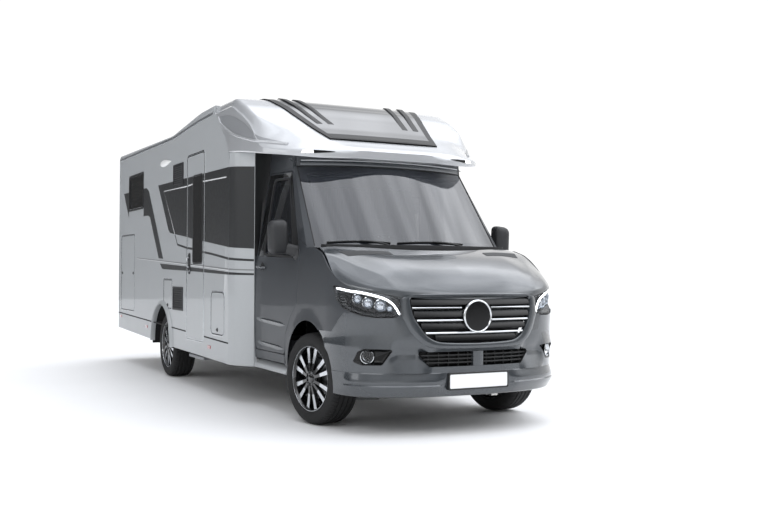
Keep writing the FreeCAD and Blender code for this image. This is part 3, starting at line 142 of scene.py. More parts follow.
# Dark screens to the rear right, ahead and at the right give the paint its depth.
# Each is (direction, where it starts, where it is full, strength); the two limits are cosines.
SCREENS = (((-0.80, -0.60, -0.05), 0.50, 0.86, 0.95), ((0.90, 0.42, -0.14), 0.72, 0.95, 0.88),
           ((0.30, -0.95, -0.02), 0.80, 0.97, 0.30))
for facing, start, full, strength in SCREENS:
    nearness = add(world, "ShaderNodeVectorMath", {"operation": "DOT_PRODUCT", 1: facing}, [(0, spot)])
    screen = add(world, "ShaderNodeMapRange", {"interpolation_type": "SMOOTHSTEP", 1: start, 2: full, 3: 0.0,
                                               4: strength}, [(0, nearness.outputs["Value"])])
    colour = add(world, "ShaderNodeMix", {"data_type": "RGBA", 7: srgb("1E2023")},
                 [(0, screen.outputs[0]), (6, colour)]).outputs[2]
# The backdrop straight behind the vehicle is plain white paper.
behind = add(world, "ShaderNodeVectorMath",
             {"operation": "DOT_PRODUCT", 1: tuple(direction(CAMERA_YAW, CAMERA_PITCH))}, [(0, spot)])
paper = add(world, "ShaderNodeMapRange", {"interpolation_type": "SMOOTHSTEP", 1: 0.79, 2: 0.90},
            [(0, behind.outputs["Value"])])
colour = add(world, "ShaderNodeMix", {"data_type": "RGBA", 7: srgb("FFFFFF")},
             [(0, paper.outputs[0]), (6, colour)]).outputs[2]
# A bright overhead cloth, hung in streaks, is what the windscreen mirrors.
overhead = add(world, "ShaderNodeVectorMath", {"operation": "DOT_PRODUCT", 1: (0.12, 0.40, 0.91)},
               [(0, spot)])
cloth = add(world, "ShaderNodeMapRange", {"interpolation_type": "SMOOTHSTEP", 1: 0.60, 2: 0.84, 3: 0.0,
                                          4: 3.9}, [(0, overhead.outputs["Value"])])
stretched = add(world, "ShaderNodeMapping", {"Scale": (2.0, 7.0, 1.2)}, [("Vector", spot)])
streaks = add(world, "ShaderNodeTexNoise", {"Scale": 1.0, "Detail": 3.0}, [("Vector", stretched.outputs[0])])
parted = add(world, "ShaderNodeMapRange", {1: 0.36, 2: 0.62, 3: 0.55, 4: 1.15}, [(0, streaks.outputs[0])])
lit = add(world, "ShaderNodeMath", {"operation": "MULTIPLY"}, [(0, cloth.outputs[0]), (1, parted.outputs[0])])
power = add(world, "ShaderNodeMath", {"operation": "ADD", 1: 1.08}, [(0, lit.outputs[0])])
sky = add(world, "ShaderNodeBackground", {}, [("Color", colour), ("Strength", power.outputs[0])])
add(world, "ShaderNodeOutputWorld", {}, [("Surface", sky.outputs[0])])
bpy.context.scene.world = world
bpy.context.scene.view_settings.view_transform = "Standard"


def soft_box(name, place, target, size, power, code):
    """An area light that faces its target."""
    light = bpy.data.lights.new(name, "AREA")
    light.shape = "RECTANGLE"
    light.size, light.size_y = size
    light.energy = power
    light.color = srgb(code)[:3]
    lamp = bpy.data.objects.new(name, light)
    bpy.context.scene.collection.objects.link(lamp)
    lamp.location = place
    lamp.rotation_euler = (Vector(target) - Vector(place)).to_track_quat("-Z", "Y").to_euler()


soft_box("key_box", (7.0, -7.5, 7.0), (1.0, 0.0, 1.2), (6.0, 3.0), 150.0, "FFFFFF")
soft_box("side_box", (-1.0, -11.0, 5.0), (-0.5, -1.0, 1.5), (12.0, 3.0), 190.0, "F8F9FB")

# Chassis: black-coated steel rails, cross members and front subframe, cast axle ends.
# The engine is the plain block that carries its mass, and the tanks are moulded.


def stock(name, shape, material, body, bevel=0.0, angle=32.0, steps=2):
    """One piece from (points, faces), its edges rounded, riding on a body."""
    points, faces = shape
    mesh = bpy.data.meshes.new(name)
    mesh.from_pydata([tuple(p) for p in points], [], faces)
    form = bmesh.new()
    form.from_mesh(mesh)
    bmesh.ops.remove_doubles(form, verts=form.verts, dist=1e-6)
    bmesh.ops.recalc_face_normals(form, faces=form.faces)
    form.to_mesh(mesh)
    form.free()
    piece = bpy.data.objects.new(name, mesh)
    bpy.context.scene.collection.objects.link(piece)
    mesh.materials.append(material)
    return dressed(piece, body, bevel, angle, steps)


def dressed(piece, body, bevel, angle, steps=2):
    """Shade a piece, round its edges by bevel metres, and say what it rides on."""
    piece.data.shade_smooth()
    piece.data.set_sharp_from_angle(angle=radians(angle))
    if bevel:
        round_edges = piece.modifiers.new("edges", "BEVEL")
        round_edges.width = bevel
        round_edges.segments = steps
        round_edges.limit_method = "ANGLE"
        round_edges.angle_limit = radians(angle)
        round_edges.harden_normals = True
        bpy.context.view_layer.update()
        solid = bpy.data.meshes.new_from_object(piece.evaluated_get(bpy.context.evaluated_depsgraph_get()))
        piece.modifiers.clear()
        piece.data = solid
    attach(piece, body)
    return piece


def coated(node, material):
    """Give a CAD piece that shows as it is its finish."""
    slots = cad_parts[node].data.materials
    slots.clear()
    slots.append(material)


def cut(piece, cutters):
    """Take closed cutters, (points, faces), out of a piece that has no edges rounded yet."""
    for shape in cutters:
        mesh = bpy.data.meshes.new("cutter")
        mesh.from_pydata([tuple(p) for p in shape[0]], [], shape[1])
        form = bmesh.new()
        form.from_mesh(mesh)
        bmesh.ops.recalc_face_normals(form, faces=form.faces)
        form.to_mesh(mesh)
        form.free()
        tool = bpy.data.objects.new("cutter", mesh)
        bpy.context.scene.collection.objects.link(tool)
        step = piece.modifiers.new("cut", "BOOLEAN")
        step.operation = "DIFFERENCE"
        step.object = tool
        step.solver = "EXACT"
        bpy.context.view_layer.update()
        solid = bpy.data.meshes.new_from_object(piece.evaluated_get(bpy.context.evaluated_depsgraph_get()))
        piece.modifiers.clear()
        piece.data = solid
        bpy.data.objects.remove(tool)


def skin(node, material, body, bevel=0.002, angle=32.0, cutters=()):
    """The CAD piece again with its edges rounded as a pressed or moulded panel has them."""
    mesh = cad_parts[node].data.copy()
    piece = bpy.data.objects.new(node + "_panel", mesh)
    bpy.context.scene.collection.objects.link(piece)
    mesh.materials.clear()
    mesh.materials.append(material)
    form = bmesh.new()
    form.from_mesh(mesh)
    bmesh.ops.remove_doubles(form, verts=form.verts, dist=2e-5)
    bmesh.ops.dissolve_limit(form, angle_limit=radians(0.6), verts=form.verts, edges=form.edges)
    for face in form.faces:
        face.material_index = 0
    form.to_mesh(mesh)
    form.free()
    cut(piece, cutters)
    dressed(piece, body, bevel, angle)
    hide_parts(node)
    return piece


# Cathodic dip coat: even satin black, with a soft sheen along the rails.
frame_coat = finish("chassis_black_cathodic_coat", "1B1C1E", "242527", 0.42, 0.0, 9.0, 0.05,
                    **{"Coat Weight": 0.3})
# Sand-cast iron: dull grey, its coarse skin breaking up every highlight.
cast_iron = finish("sand_cast_iron", "3B3A39", "2C2B2A", 0.62, 0.7, 3.0, 0.25)
# Rotation-moulded polyethylene: waxy and dark, with a faint orange peel.
tank_plastic = finish("roto_moulded_polyethylene", "202122", "2A2B2C", 0.55, 0.0, 5.0, 0.1)
for name in ("chassis_frame", "front_axle", "rear_axle"):
    coated(name, frame_coat)
for name in ("knuckle_left", "knuckle_right", "engine"):
    coated(name, cast_iron)
coated("tanks", tank_plastic)


def merged(shapes):
    """Several (points, faces) shapes as one."""
    points, faces = [], []
    for some_points, some_faces in shapes:
        start = len(points)
        points += [Vector(p) for p in some_points]
        faces += [tuple(start + i for i in face) for face in some_faces]
    return points, faces


def tube(path, radius, steps=12):
    """Round bar or pipe along a path."""
    path = [Vector(p) for p in path]
    points, faces = [], []
    side = Vector((0, 0, 1))
    for i, here in enumerate(path):
        ahead = (path[min(i + 1, len(path) - 1)] - path[max(i - 1, 0)]).normalized()
        across = ahead.cross(side)
        if across.length < 1e-3:
            across = ahead.cross(Vector((1, 0, 0)))
        across.normalize()
        up = across.cross(ahead).normalized()
        for k in range(steps):
            t = 2 * pi * k / steps
            points.append(here + across * radius * cos(t) + up * radius * sin(t))
    for i in range(len(path) - 1):
        for k in range(steps):
            a, b = i * steps + k, i * steps + (k + 1) % steps
            faces.append((a, b, b + steps, a + steps))
    faces.append(tuple(range(steps)))
    faces.append(tuple(range(len(points) - steps, len(points))))
    return points, faces


def helix(foot, top, radius, turns, thickness):
    """Coil spring between two seats."""
    foot, top = Vector(foot), Vector(top)
    count = turns * 16
    path = []
    for i in range(count + 1):
        t = 2 * pi * turns * i / count
        path.append(foot.lerp(top, i / count) + Vector((radius * cos(t), radius * sin(t), 0)))
    return tube(path, thickness, 8)


FRONT_AXLE_X = 2.69
REAR_AXLE_X = -1.234
AXLE_Z = 0.368
PIPE_R = 0.028
# Powder coat on spring wire: a thin bright line along each coil.
spring_steel = finish("powder_coated_spring_steel", "26282B", "303236", 0.38, 0.0, 6.0, 0.04,
                      **{"Coat Weight": 0.4})
# Stainless tube warmed to straw brown: a dull metal shine.
exhaust_steel = finish("heat_tinted_stainless_tube", "6E6961", "4E4A45", 0.36, 1.0, 5.0, 0.05)
springs = [helix((FRONT_AXLE_X, s * 0.578, 0.52), (FRONT_AXLE_X, s * 0.56, 0.82), 0.066, 6, 0.007)
           for s in (1, -1)]
stock("front_coil_springs", merged(springs), spring_steel, "body")
exhaust_run = [(2.70, -0.25, 0.385), (2.35, -0.30, 0.375), (1.6, -0.30, 0.375), (0.6, -0.30, 0.375),
               (0.35, -0.30, 0.375)]
tail_run = [(-0.2, -0.30, 0.375), (-0.5, -0.30, 0.375), (-0.65, -0.55, 0.365), (-0.68, -0.98, 0.355)]
silencer = tube([(0.36, -0.30, 0.372), (0.34, -0.30, 0.372), (-0.18, -0.30, 0.372), (-0.20, -0.30, 0.372)],
                0.045, 24)
stock("exhaust_pipe", merged([tube(exhaust_run, PIPE_R), silencer, tube(tail_run, PIPE_R)]), exhaust_steel,
      "body")

# Wheels: radial tyres with four grooves and cut shoulders on machined twin-blade alloys.
# The blades' faces are turned bright and their sides are black; the caps are plain.


def turn(profile, centre, steps, axis=(0, 1, 0), closed=True):
    """Solid of revolution: (offset along the axis, radius) pairs about the axle."""
    axis = Vector(axis).normalized()
    first = axis.orthogonal().normalized()
    second = axis.cross(first)
    centre = Vector(centre)
    points, faces = [], []
    rows = len(profile)
    for k in range(steps):
        t = 2 * pi * k / steps
        out = first * cos(t) + second * sin(t)
        points += [centre + axis * along + out * radius for along, radius in profile]
    for k in range(steps):
        for i in range(rows if closed else rows - 1):
            a, b = k * rows + i, k * rows + (i + 1) % rows
            c = (k + 1) % steps * rows
            faces.append((a, b, c + (i + 1) % rows, c + i))
    return points, faces


def block(x0, x1, y0, y1, z0, z1):
    """Box between two corners."""
    xs, ys, zs = sorted((x0, x1)), sorted((y0, y1)), sorted((z0, z1))
    points = [(x, y, z) for x in xs for y in ys for z in zs]
    return points, [(0, 1, 3, 2), (4, 6, 7, 5), (0, 4, 5, 1), (2, 3, 7, 6), (0, 2, 6, 4), (1, 5, 7, 3)]


def moved(shape, matrix):
    """The shape carried by a matrix."""
    return [matrix @ Vector(p) for p in shape[0]], shape[1]


SIDES = (("left", 1), ("right", -1))
TYRE_R = 0.368
TYRE_WIDTH = 0.255
TREAD_DEPTH = 0.008
GROOVES = (-0.066, -0.024, 0.024, 0.066)
GROOVE_HALF = 0.005
SHOULDER_CUTS = 72
RIM_R = 0.268
BLADE_PAIRS = 6
STUDS = 6
TWIN_ANGLE = radians(13.0)
BLADE_ROOT_R, BLADE_FACE_Y, BLADE_DEEP = 0.058, 0.099, 0.036
HUB_Y, STUD_CIRCLE_R, STUD_Y = 0.104, 0.052, 0.103
DISC_NEAR_Y, DISC_FAR_Y, DISC_IN_R, DISC_OUT_R = 0.018, 0.044, 0.07, 0.163
CALIPER_NEAR_Y, CALIPER_FAR_Y, CALIPER_IN_R, CALIPER_OUT_R = 0.008, 0.060, 0.105, 0.172
FRONT_STEER = radians(10.0)
# Vulcanised rubber: nearly black, matt, with a fine powdery grain.
tread_rubber = finish("vulcanised_tread_rubber", "0F0F10", "161617", 0.72, 0.0, 1.2, 0.1)
# Gloss powder under lacquer: deep black with sharp small highlights.
wheel_black = finish("gloss_black_powder_on_alloy", "0B0B0C", "121213", 0.16, 0.0, 8.0, 0.01,
                     **{"Coat Weight": 1.0, "Coat Roughness": 0.05})
# Lathe-turned alloy: bright metal whose shine fans out along the cut.
turned_alloy = finish("diamond_turned_alloy", "D6D8DB", "C4C7CB", 0.2, 1.0, 0.8, 0.01, **{"Anisotropic": 0.6})
# Brake disc: ground steel with rings of fine wear.
disc_steel = finish("worn_brake_disc_steel", "8C8D8F", "7A7B7D", 0.3, 1.0, 1.0, 0.03, **{"Anisotropic": 0.5})
# Zinc-plated casting: a dull, slightly uneven grey.
caliper_grey = finish("zinc_plated_caliper", "6A6C6E", "585A5C", 0.4, 0.8, 4.0, 0.05)


def tyre_profile():
    """Cross section from bead to bead over the tread, with its grooves and rim guard."""
    half = TYRE_WIDTH / 2
    side = [(half - 0.020, RIM_R - 0.013), (half - 0.006, RIM_R - 0.004), (half - 0.002, RIM_R + 0.006),
            (half - 0.004, RIM_R + 0.012), (half - 0.0005, RIM_R + 0.026), (half - 0.0002, RIM_R + 0.045),
            (half - 0.003, RIM_R + 0.062), (half - 0.009, TYRE_R - 0.024), (half - 0.019, TYRE_R - 0.012),
            (half - 0.031, TYRE_R - 0.004)]
    tread = []
    for y in GROOVES[::-1]:
        tread += [(y + GROOVE_HALF, TYRE_R - 0.0005), (y + GROOVE_HALF * 0.7, TYRE_R - TREAD_DEPTH),
                  (y - GROOVE_HALF * 0.7, TYRE_R - TREAD_DEPTH), (y - GROOVE_HALF, TYRE_R - 0.0005)]
    return side + tread + [(-y, r) for y, r in reversed(side)]


def tyre_shape():
    """The carcass with sipes cut across both shoulders."""
    points, faces = turn(tyre_profile(), (0, 0, 0), SHOULDER_CUTS * 4)
    rows = len(tyre_profile())
    for k in range(0, SHOULDER_CUTS * 4, 4):
        for i in (8, 9, 10, rows - 11, rows - 10, rows - 9):
            p = points[k * rows + i]
            reach = sqrt(p.x ** 2 + p.z ** 2)
            points[k * rows + i] = Vector((p.x, p.y, p.z)) - Vector((p.x, 0, p.z)) / reach * TREAD_DEPTH * 0.8
    return points, faces


def blade_shape(side, angle, lift, widen, start=0.0):
    """One flat blade from the hub out to the barrel, twisted slightly to its pair."""
    root, tip = BLADE_ROOT_R, RIM_R - 0.016
    rows = []
    for share in (start, start + (1 - start) * 0.35, start + (1 - start) * 0.7, 1.0):
        reach = root + (tip - root) * share
        half = (0.0110 + 0.0085 * share) * widen
        dish = 0.012 * (1 - share) ** 2 - 0.004 * share
        rows.append((reach, half, BLADE_FACE_Y + dish))
    outline = []
    for reach, half, face in rows:
        outline.append([(reach, -half, face + lift), (reach, half, face + lift),
                        (reach, half * 0.6, face - BLADE_DEEP), (reach, -half * 0.6, face - BLADE_DEEP)])
    points, faces = [], []
    for row in outline:
        for reach, across, depth in row:
            points.append(Matrix.Rotation(angle, 3, "Y") @ Vector((across, side * depth, reach)))
    for i in range(len(outline) - 1):
        for k in range(4):
            a, b = i * 4 + k, i * 4 + (k + 1) % 4
            faces.append((a, b, b + 4, a + 4))
    faces += [(0, 1, 2, 3), tuple(range(len(points) - 4, len(points)))]
    return points, faces


def wheel(word, end, side, centre, body, steer):
    """Tyre, black wheel, bright faces, studs, cap, disc and caliper of one corner."""
    place = Matrix.Translation(centre) @ Matrix.Rotation(steer, 4, "Z")
    name = end + "_" + word
    tyre = stock("tyre_" + name + "_treaded", moved(tyre_shape(), place), tread_rubber, body,
                 0, 28)
    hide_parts("tyre_" + name)
    half = TYRE_WIDTH / 2
    barrel = [(-half + 0.016, RIM_R - 0.014), (-half + 0.016, RIM_R - 0.002), (-half + 0.022, RIM_R - 0.016),
              (half - 0.03, RIM_R - 0.016), (half - 0.02, RIM_R - 0.003), (half - 0.012, RIM_R - 0.001),
              (half - 0.011, RIM_R - 0.011), (half - 0.022, RIM_R - 0.018), (half - 0.05, RIM_R - 0.028),
              (-half + 0.03, RIM_R - 0.03)]
    barrel = [(side * y, r) for y, r in barrel]
    hub = [(side * 0.072, 0.03), (side * 0.072, 0.076), (side * 0.102, 0.074), (side * HUB_Y, 0.03)]
    parts = [turn(barrel, (0, 0, 0), 96), turn(hub, (0, 0, 0), 48)]
    faces = []
    for i in range(BLADE_PAIRS):
        for twin in (1, -1):
            angle = 2 * pi / BLADE_PAIRS * i + twin * TWIN_ANGLE
            parts.append(blade_shape(side, angle, 0.0, 1.0))
            faces.append(face_plate(side, angle))
    studs = []
    for i in range(STUDS):
        t = 2 * pi * (i + 0.5) / STUDS
        spot = (STUD_CIRCLE_R * sin(t), side * STUD_Y, STUD_CIRCLE_R * cos(t))
        studs.append(turn([(-0.006 * side, 0.0005), (-0.006 * side, 0.011), (side * 0.008, 0.0095),
                           (side * 0.011, 0.0005)], spot, 6))
    lip = [(side * (half - 0.0205), RIM_R - 0.0035), (side * (half - 0.0115), RIM_R - 0.0005),
           (side * (half - 0.0105), RIM_R - 0.0115), (side * (half - 0.0195), RIM_R - 0.0145)]
    cap = [(side * HUB_Y, 0.0005), (side * HUB_Y, 0.036), (side * 0.109, 0.035), (side * 0.113, 0.026),
           (side * 0.114, 0.0005)]
    black = stock("wheel_" + name + "_black", moved(merged(parts), place), wheel_black, body, 0.0012,
                  35)
    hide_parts("rim_" + name)
    stock("wheel_" + name + "_bright", moved(merged(faces + [turn(lip, (0, 0, 0), 96)]), place), turned_alloy,
          body, 0.0006, 35)
    stock("wheel_" + name + "_studs", moved(merged(studs), place), caliper_grey, body, 0.0006, 35)
    stock("wheel_" + name + "_cap", moved(turn(cap, (0, 0, 0), 48), place), wheel_black, body, 0, 30)
    holder = "steer_" + word if end == "front" else "body"
    disc = turn([(side * DISC_NEAR_Y, DISC_IN_R), (side * DISC_NEAR_Y, DISC_OUT_R),
                 (side * DISC_FAR_Y, DISC_OUT_R), (side * DISC_FAR_Y, DISC_IN_R)], (0, 0, 0), 72)
    stock("brake_" + name + "_disc", moved(disc, place), disc_steel, holder, 0.0015, 35)
    points, quads = [], []
    for i in range(7):
        t = radians(62 + 56 * i / 6)
        r = Vector((0.142 * cos(t), 0, 0.142 * sin(t))).normalized()
        near, far = Vector((0, side * CALIPER_NEAR_Y, 0)), Vector((0, side * CALIPER_FAR_Y, 0))
        points += [r * CALIPER_IN_R + near, r * CALIPER_OUT_R + near, r * CALIPER_OUT_R + far,
                   r * CALIPER_IN_R + far]
    for i in range(6):
        quads += [(i * 4 + k, i * 4 + (k + 1) % 4, i * 4 + 4 + (k + 1) % 4, i * 4 + 4 + k) for k in range(4)]
    quads += [(0, 1, 2, 3), (24, 25, 26, 27)]
    stock("brake_" + name + "_caliper", moved((points, quads), place), caliper_grey, holder, 0.004,
          35)


def face_plate(side, angle):
    """The bright skim left by the lathe on one blade's face."""
    points, faces = blade_shape(side, angle, 0.0009, 0.97, 0.36)
    flat = [points[i] for i in range(len(points)) if i % 4 < 2]
    back = [p - Vector((0, side * 0.0014, 0)) for p in flat]
    count = len(flat)
    quads = [(i, i + 1, i + 3, i + 2) for i in range(0, count - 2, 2)]
    quads += [(count + i, count + i + 2, count + i + 3, count + i + 1) for i in range(0, count - 2, 2)]
    edge = list(range(0, count, 2)) + list(range(count - 1, 0, -2))
    quads += [(a, b, count + b, count + a) for a, b in zip(edge, edge[1:] + edge[:1])]
    return flat + back, quads


KINGPIN_Y = 0.8
FRONT_OFFSET = 0.068
REAR_TRACK_Y = 0.973
for word, side in SIDES:
    hub = Vector((FRONT_AXLE_X, side * KINGPIN_Y,
                  AXLE_Z)) + Matrix.Rotation(FRONT_STEER, 3, "Z") @ Vector((0, side * FRONT_OFFSET, 0))
    wheel(word, "front", side, hub, "wheel_front_" + word, FRONT_STEER)
    wheel(word, "rear", side, Vector((REAR_AXLE_X, side * REAR_TRACK_Y, AXLE_Z)), "wheel_rear_" + word, 0.0)

# Floor: a sandwich of ply and foam under a black moisture-proof skin.
# The rear wheel wells are moulded on, and the step hangs from it at the entrance.
# Moisture-proof ply skin: flat black with a coarse weave that takes no shine.
floor_skin = finish("black_moisture_proof_ply_skin", "202122", "191A1B", 0.68, 0.0, 7.0, 0.15)
coated("floor", floor_skin)

# Walls, roof and rear: aluminium-skinned sandwich panels, painted metallic silver.
# Wide vinyl graphics in anthracite, grey and white are laid on both sides.
WALL_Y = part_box("side_wall_left")[1].y
FILM = 0.0006


def paint(name, code, flake_code, flake_mm, metallic, roughness, wave_mm, coat=1.0):
    """Metallic base coat with fine flakes under a clear coat that is very slightly wavy."""
    material = bpy.data.materials.new(name)
    material.use_nodes = True
    material.node_tree.nodes.clear()
    place = add(material, "ShaderNodeTexCoord", {}).outputs["Object"]
    flakes = add(material, "ShaderNodeTexVoronoi", {"Scale": 1000.0 / flake_mm}, [("Vector", place)])
    glint = add(material, "ShaderNodeMapRange", {1: 0.55, 2: 1.0, 3: 0.0, 4: 0.22},
                [(0, flakes.outputs["Color"])])
    shade = add(material, "ShaderNodeMix", {"data_type": "RGBA", 6: srgb(code), 7: srgb(flake_code)},
                [(0, glint.outputs[0])])
    wave = add(material, "ShaderNodeTexNoise", {"Scale": 1000.0 / wave_mm, "Detail": 1.0},
               [("Vector", place)])
    rough = add(material, "ShaderNodeMapRange", {3: roughness * 0.9, 4: roughness * 1.12},
                [(0, wave.outputs[0])])
    bump = add(material, "ShaderNodeBump", {"Strength": 0.25, "Distance": 0.0004},
               [("Height", wave.outputs[0])])
    shader = add(material, "ShaderNodeBsdfPrincipled",
                 {"Metallic": metallic, "Coat Weight": coat, "Coat Roughness": 0.04, "Coat IOR": 1.5},
                 [("Base Color", shade.outputs[2]), ("Roughness", rough.outputs[0]),
                  ("Normal", bump.outputs[0])])
    add(material, "ShaderNodeOutputMaterial", {}, [("Surface", shader.outputs[0])])
    return material


# Coil-coated aluminium: a flat silver with a fine sparkle and hardly a mirror image.
# The flakes are drawn at 3 mm, as real ones of a tenth of a millimetre are finer than a pixel.
wall_silver = paint("silver_metallic_coil_coated_aluminium", "A9ACAE", "C3C6C8", 3.0, 0.12, 0.42, 400.0, 0.35)
# Cast vinyl film: charcoal, with a softer and greyer shine than paint.
film_anthracite = finish("anthracite_cast_vinyl_film", "262728", "2A2B2C", 0.40, 0.0, 30.0, 0.01,
                         **{"Specular IOR Level": 0.35})
# The same film in mid grey.
film_grey = finish("mid_grey_cast_vinyl_film", "77797A", "7C7E7F", 0.40, 0.0, 30.0, 0.01,
                   **{"Specular IOR Level": 0.35})
# White film with a light gloss, the brightest line on the side.
film_white = finish("white_cast_vinyl_film", "E6E7E8", "DEDFE0", 0.34, 0.0, 30.0, 0.01,
                    **{"Coat Weight": 0.5, "Coat Roughness": 0.15})
FLARE_X, FLARE_Z, FLARE_R = REAR_AXLE_X - 0.046, 0.400, 0.430


def circle(x, z, radius, steps=96):
    """Round outline in side view."""
    return [(x + radius * cos(2 * pi * k / steps), z + radius * sin(2 * pi * k / steps))
            for k in range(steps)]


def prism(outline, axis, near, far):
    """Solid from a flat outline of (a, b); axis is x or y, the direction it runs along."""
    n = len(outline)
    ends = [(a, b, c) for c in (near, far) for a, b in outline]
    points = [Vector((c, a, b) if axis == "x" else (a, c, b)) for a, b, c in ends]
    faces = [tuple(range(n)), tuple(n + i for i in reversed(range(n)))]
    faces += [((i + 1) % n, i, n + i, n + (i + 1) % n) for i in range(n)]
    return points, faces


rear_arch = {side: prism(circle(FLARE_X, FLARE_Z, FLARE_R), "y", side * 0.9, side * 1.3) for side in (1, -1)}
openings = {"side_wall_left": [rear_arch[1]], "side_wall_right": [rear_arch[-1]],
            "skirts": [rear_arch[1], rear_arch[-1]]}
for name in ("side_wall_left", "side_wall_right", "rear_wall", "roof", "skirts", "corner_panels",
             "rear_bumper"):
    bevel = 0.003 if name in ("rear_bumper", "corner_panels") else 0.0015
    skin(name, wall_silver, "body", bevel, 32.0, openings.get(name, ()))

# Rear wheel arches: the round opening rises above the seam into the wall.
# Its rolled lip is painted as the wall, and a needle-felt liner closes the wheel well behind it.
# Both profiles are (radius, distance from the vehicle's middle).
ARCH_LIP = ((0.430, 1.120), (0.430, 1.168), (0.434, 1.176), (0.450, 1.174), (0.470, 1.160), (0.482, 1.1505))
ARCH_LINER = ((0.4325, 1.149), (0.4325, 1.0), (0.4325, 0.82))
ARCH_STEPS = 64


def grid(rows):
    """Open surface through rows of equal count."""
    width = len(rows[0])
    points = [Vector(p) for row in rows for p in row]
    faces = []
    for i in range(len(rows) - 1):
        for k in range(width - 1):
            a = i * width + k
            faces.append((a, a + 1, a + width + 1, a + width))
    return points, faces


def arch_sheet(profile, start, sweep, side):
    """Surface round the rear wheel, from start degrees over sweep degrees."""
    rows = []
    for k in range(ARCH_STEPS + 1):
        t = radians(start + sweep * k / ARCH_STEPS)
        rows.append([(FLARE_X + r * cos(t), side * y, FLARE_Z + r * sin(t)) for r, y in profile])
    return grid(rows)


# Needle felt: it swallows light, so the wheel well reads as a dark hole.
liner_felt = finish("black_needle_felt_arch_liner", "0B0B0C", "121213", 0.95, 0.0, 2.0, 0.3)
flare_shapes = [arch_sheet(ARCH_LIP, -4.0, 186.0, side) for side in (1, -1)]
liner_shapes = [arch_sheet(ARCH_LINER, -6.0, 192.0, side) for side in (1, -1)]
stock("rear_wheel_arch_flares", merged(flare_shapes), wall_silver, "body", 0, 60)
stock("rear_wheel_arch_liners", merged(liner_shapes), liner_felt, "body", 0, 60)

# Wall graphics: cast vinyl stripes and fields, cut round the windows and the doors.
# Each is laid on the real face of its panel, so it bends where the panel does.


def rectangle(box, grow=0.0):
    """Outline of a box in side view, (x0, x1, z0, z1), grown all round."""
    x0, x1, z0, z1 = box
    return [(x0 - grow, z0 - grow), (x1 + grow, z0 - grow), (x1 + grow, z1 + grow), (x0 - grow, z1 + grow)]


def rounded(outline, radius, steps=6):
    """Outline with every corner rounded; a third number at a point is that corner's own radius."""
    count = len(outline)
    result = []
    for i in range(count):
        here = Vector(outline[i][:2])
        own = outline[i][2] if len(outline[i]) > 2 else radius
        back = Vector(outline[i - 1][:2]) - here
        ahead = Vector(outline[(i + 1) % count][:2]) - here
        half = back.angle(ahead) / 2
        if own <= 0 or half > 1.56:
            result.append(tuple(here))
            continue
        reach = min(own / tan(half), back.length * 0.49, ahead.length * 0.49)
        r = reach * tan(half)
        centre = here + (back.normalized() + ahead.normalized()).normalized() * (r / sin(half))
        first = here + back.normalized() * reach - centre
        last = here + ahead.normalized() * reach - centre
        for k in range(steps + 1):
            result.append(tuple(centre + first.lerp(last, k / steps).normalized() * r))
    return result


def clipped(outline, axis, value, keep):
    """The part of an outline on one side of a line: keep is 1 for above, -1 for below."""
    result = []
    for i, here in enumerate(outline):
        last = outline[i - 1]
        inside = (here[axis] - value) * keep >= 0
        was = (last[axis] - value) * keep >= 0
        if inside != was:
            t = (value - last[axis]) / (here[axis] - last[axis])
            result.append(tuple(a + (b - a) * t for a, b in zip(last, here)))
        if inside:
            result.append(here)
    return result


def around(outline, hole):
    """The outline in up to four pieces that leave a rectangular hole free."""
    x0, x1, z0, z1 = hole
    middle = clipped(clipped(outline, 0, x0, 1), 0, x1, -1)
    pieces = [clipped(outline, 0, x0, -1), clipped(outline, 0, x1, 1), clipped(middle, 1, z0, -1),
              clipped(middle, 1, z1, 1)]
    return [piece for piece in pieces if len(piece) > 2]


def face_tree(names):
    """Search tree over the faces of some CAD nodes."""
    points, faces = [], []
    for name in names:
        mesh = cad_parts[name].data
        start = len(points)
        points += [v.co.copy() for v in mesh.vertices]
        faces += [tuple(start + i for i in p.vertices) for p in mesh.polygons]
    return BVHTree.FromPolygons(points, faces)


def laid(outlines, tree, side, lift, step=0.03):
    """Flat outlines, (x, z) points, laid on the outer face of one side."""
    form = bmesh.new()
    for outline in outlines:
        form.faces.new([form.verts.new((x, 0, z)) for x, z in outline])
    low = min(x for o in outlines for x, z in o)
    high = max(x for o in outlines for x, z in o)
    place = low + step
    while place < high:
        bmesh.ops.bisect_plane(form, geom=form.verts[:] + form.edges[:] + form.faces[:],
                               plane_co=(place, 0, 0), plane_no=(1, 0, 0))
        place += step
    gone = []
    for v in form.verts:
        hit = tree.ray_cast(Vector((v.co.x, side * 2.0, v.co.z)), Vector((0, -side, 0)))[0]
        if hit is None:
            gone.append(v)
            continue
        v.co.y = hit.y + side * lift
    bmesh.ops.delete(form, geom=gone, context="VERTS")
    mesh = bpy.data.meshes.new("laid")
    form.to_mesh(mesh)
    form.free()
    shape = ([v.co.copy() for v in mesh.vertices], [tuple(p.vertices) for p in mesh.polygons])
    bpy.data.meshes.remove(mesh)
    return shape


def film(name, outlines, nodes, side, material, body="body", lift=FILM, step=0.6):
    """One vinyl piece laid on the outer face of the nodes."""
    return stock(name, laid(outlines, face_tree(nodes), side, lift, step), material, body, 0, 30)


def stroke(path, width):
    """Band of even width along (x, z) points."""
    upper, lower = [], []
    for i, here in enumerate(path):
        a, b = Vector(path[max(i - 1, 0)]), Vector(path[min(i + 1, len(path) - 1)])
        along = (b - a).normalized()
        across = Vector((-along.y, along.x)) * width / 2
        upper.append(tuple(Vector(here) + across))
        lower.append(tuple(Vector(here) - across))
    return [[upper[i], upper[i + 1], lower[i + 1], lower[i]] for i in range(len(path) - 1)]


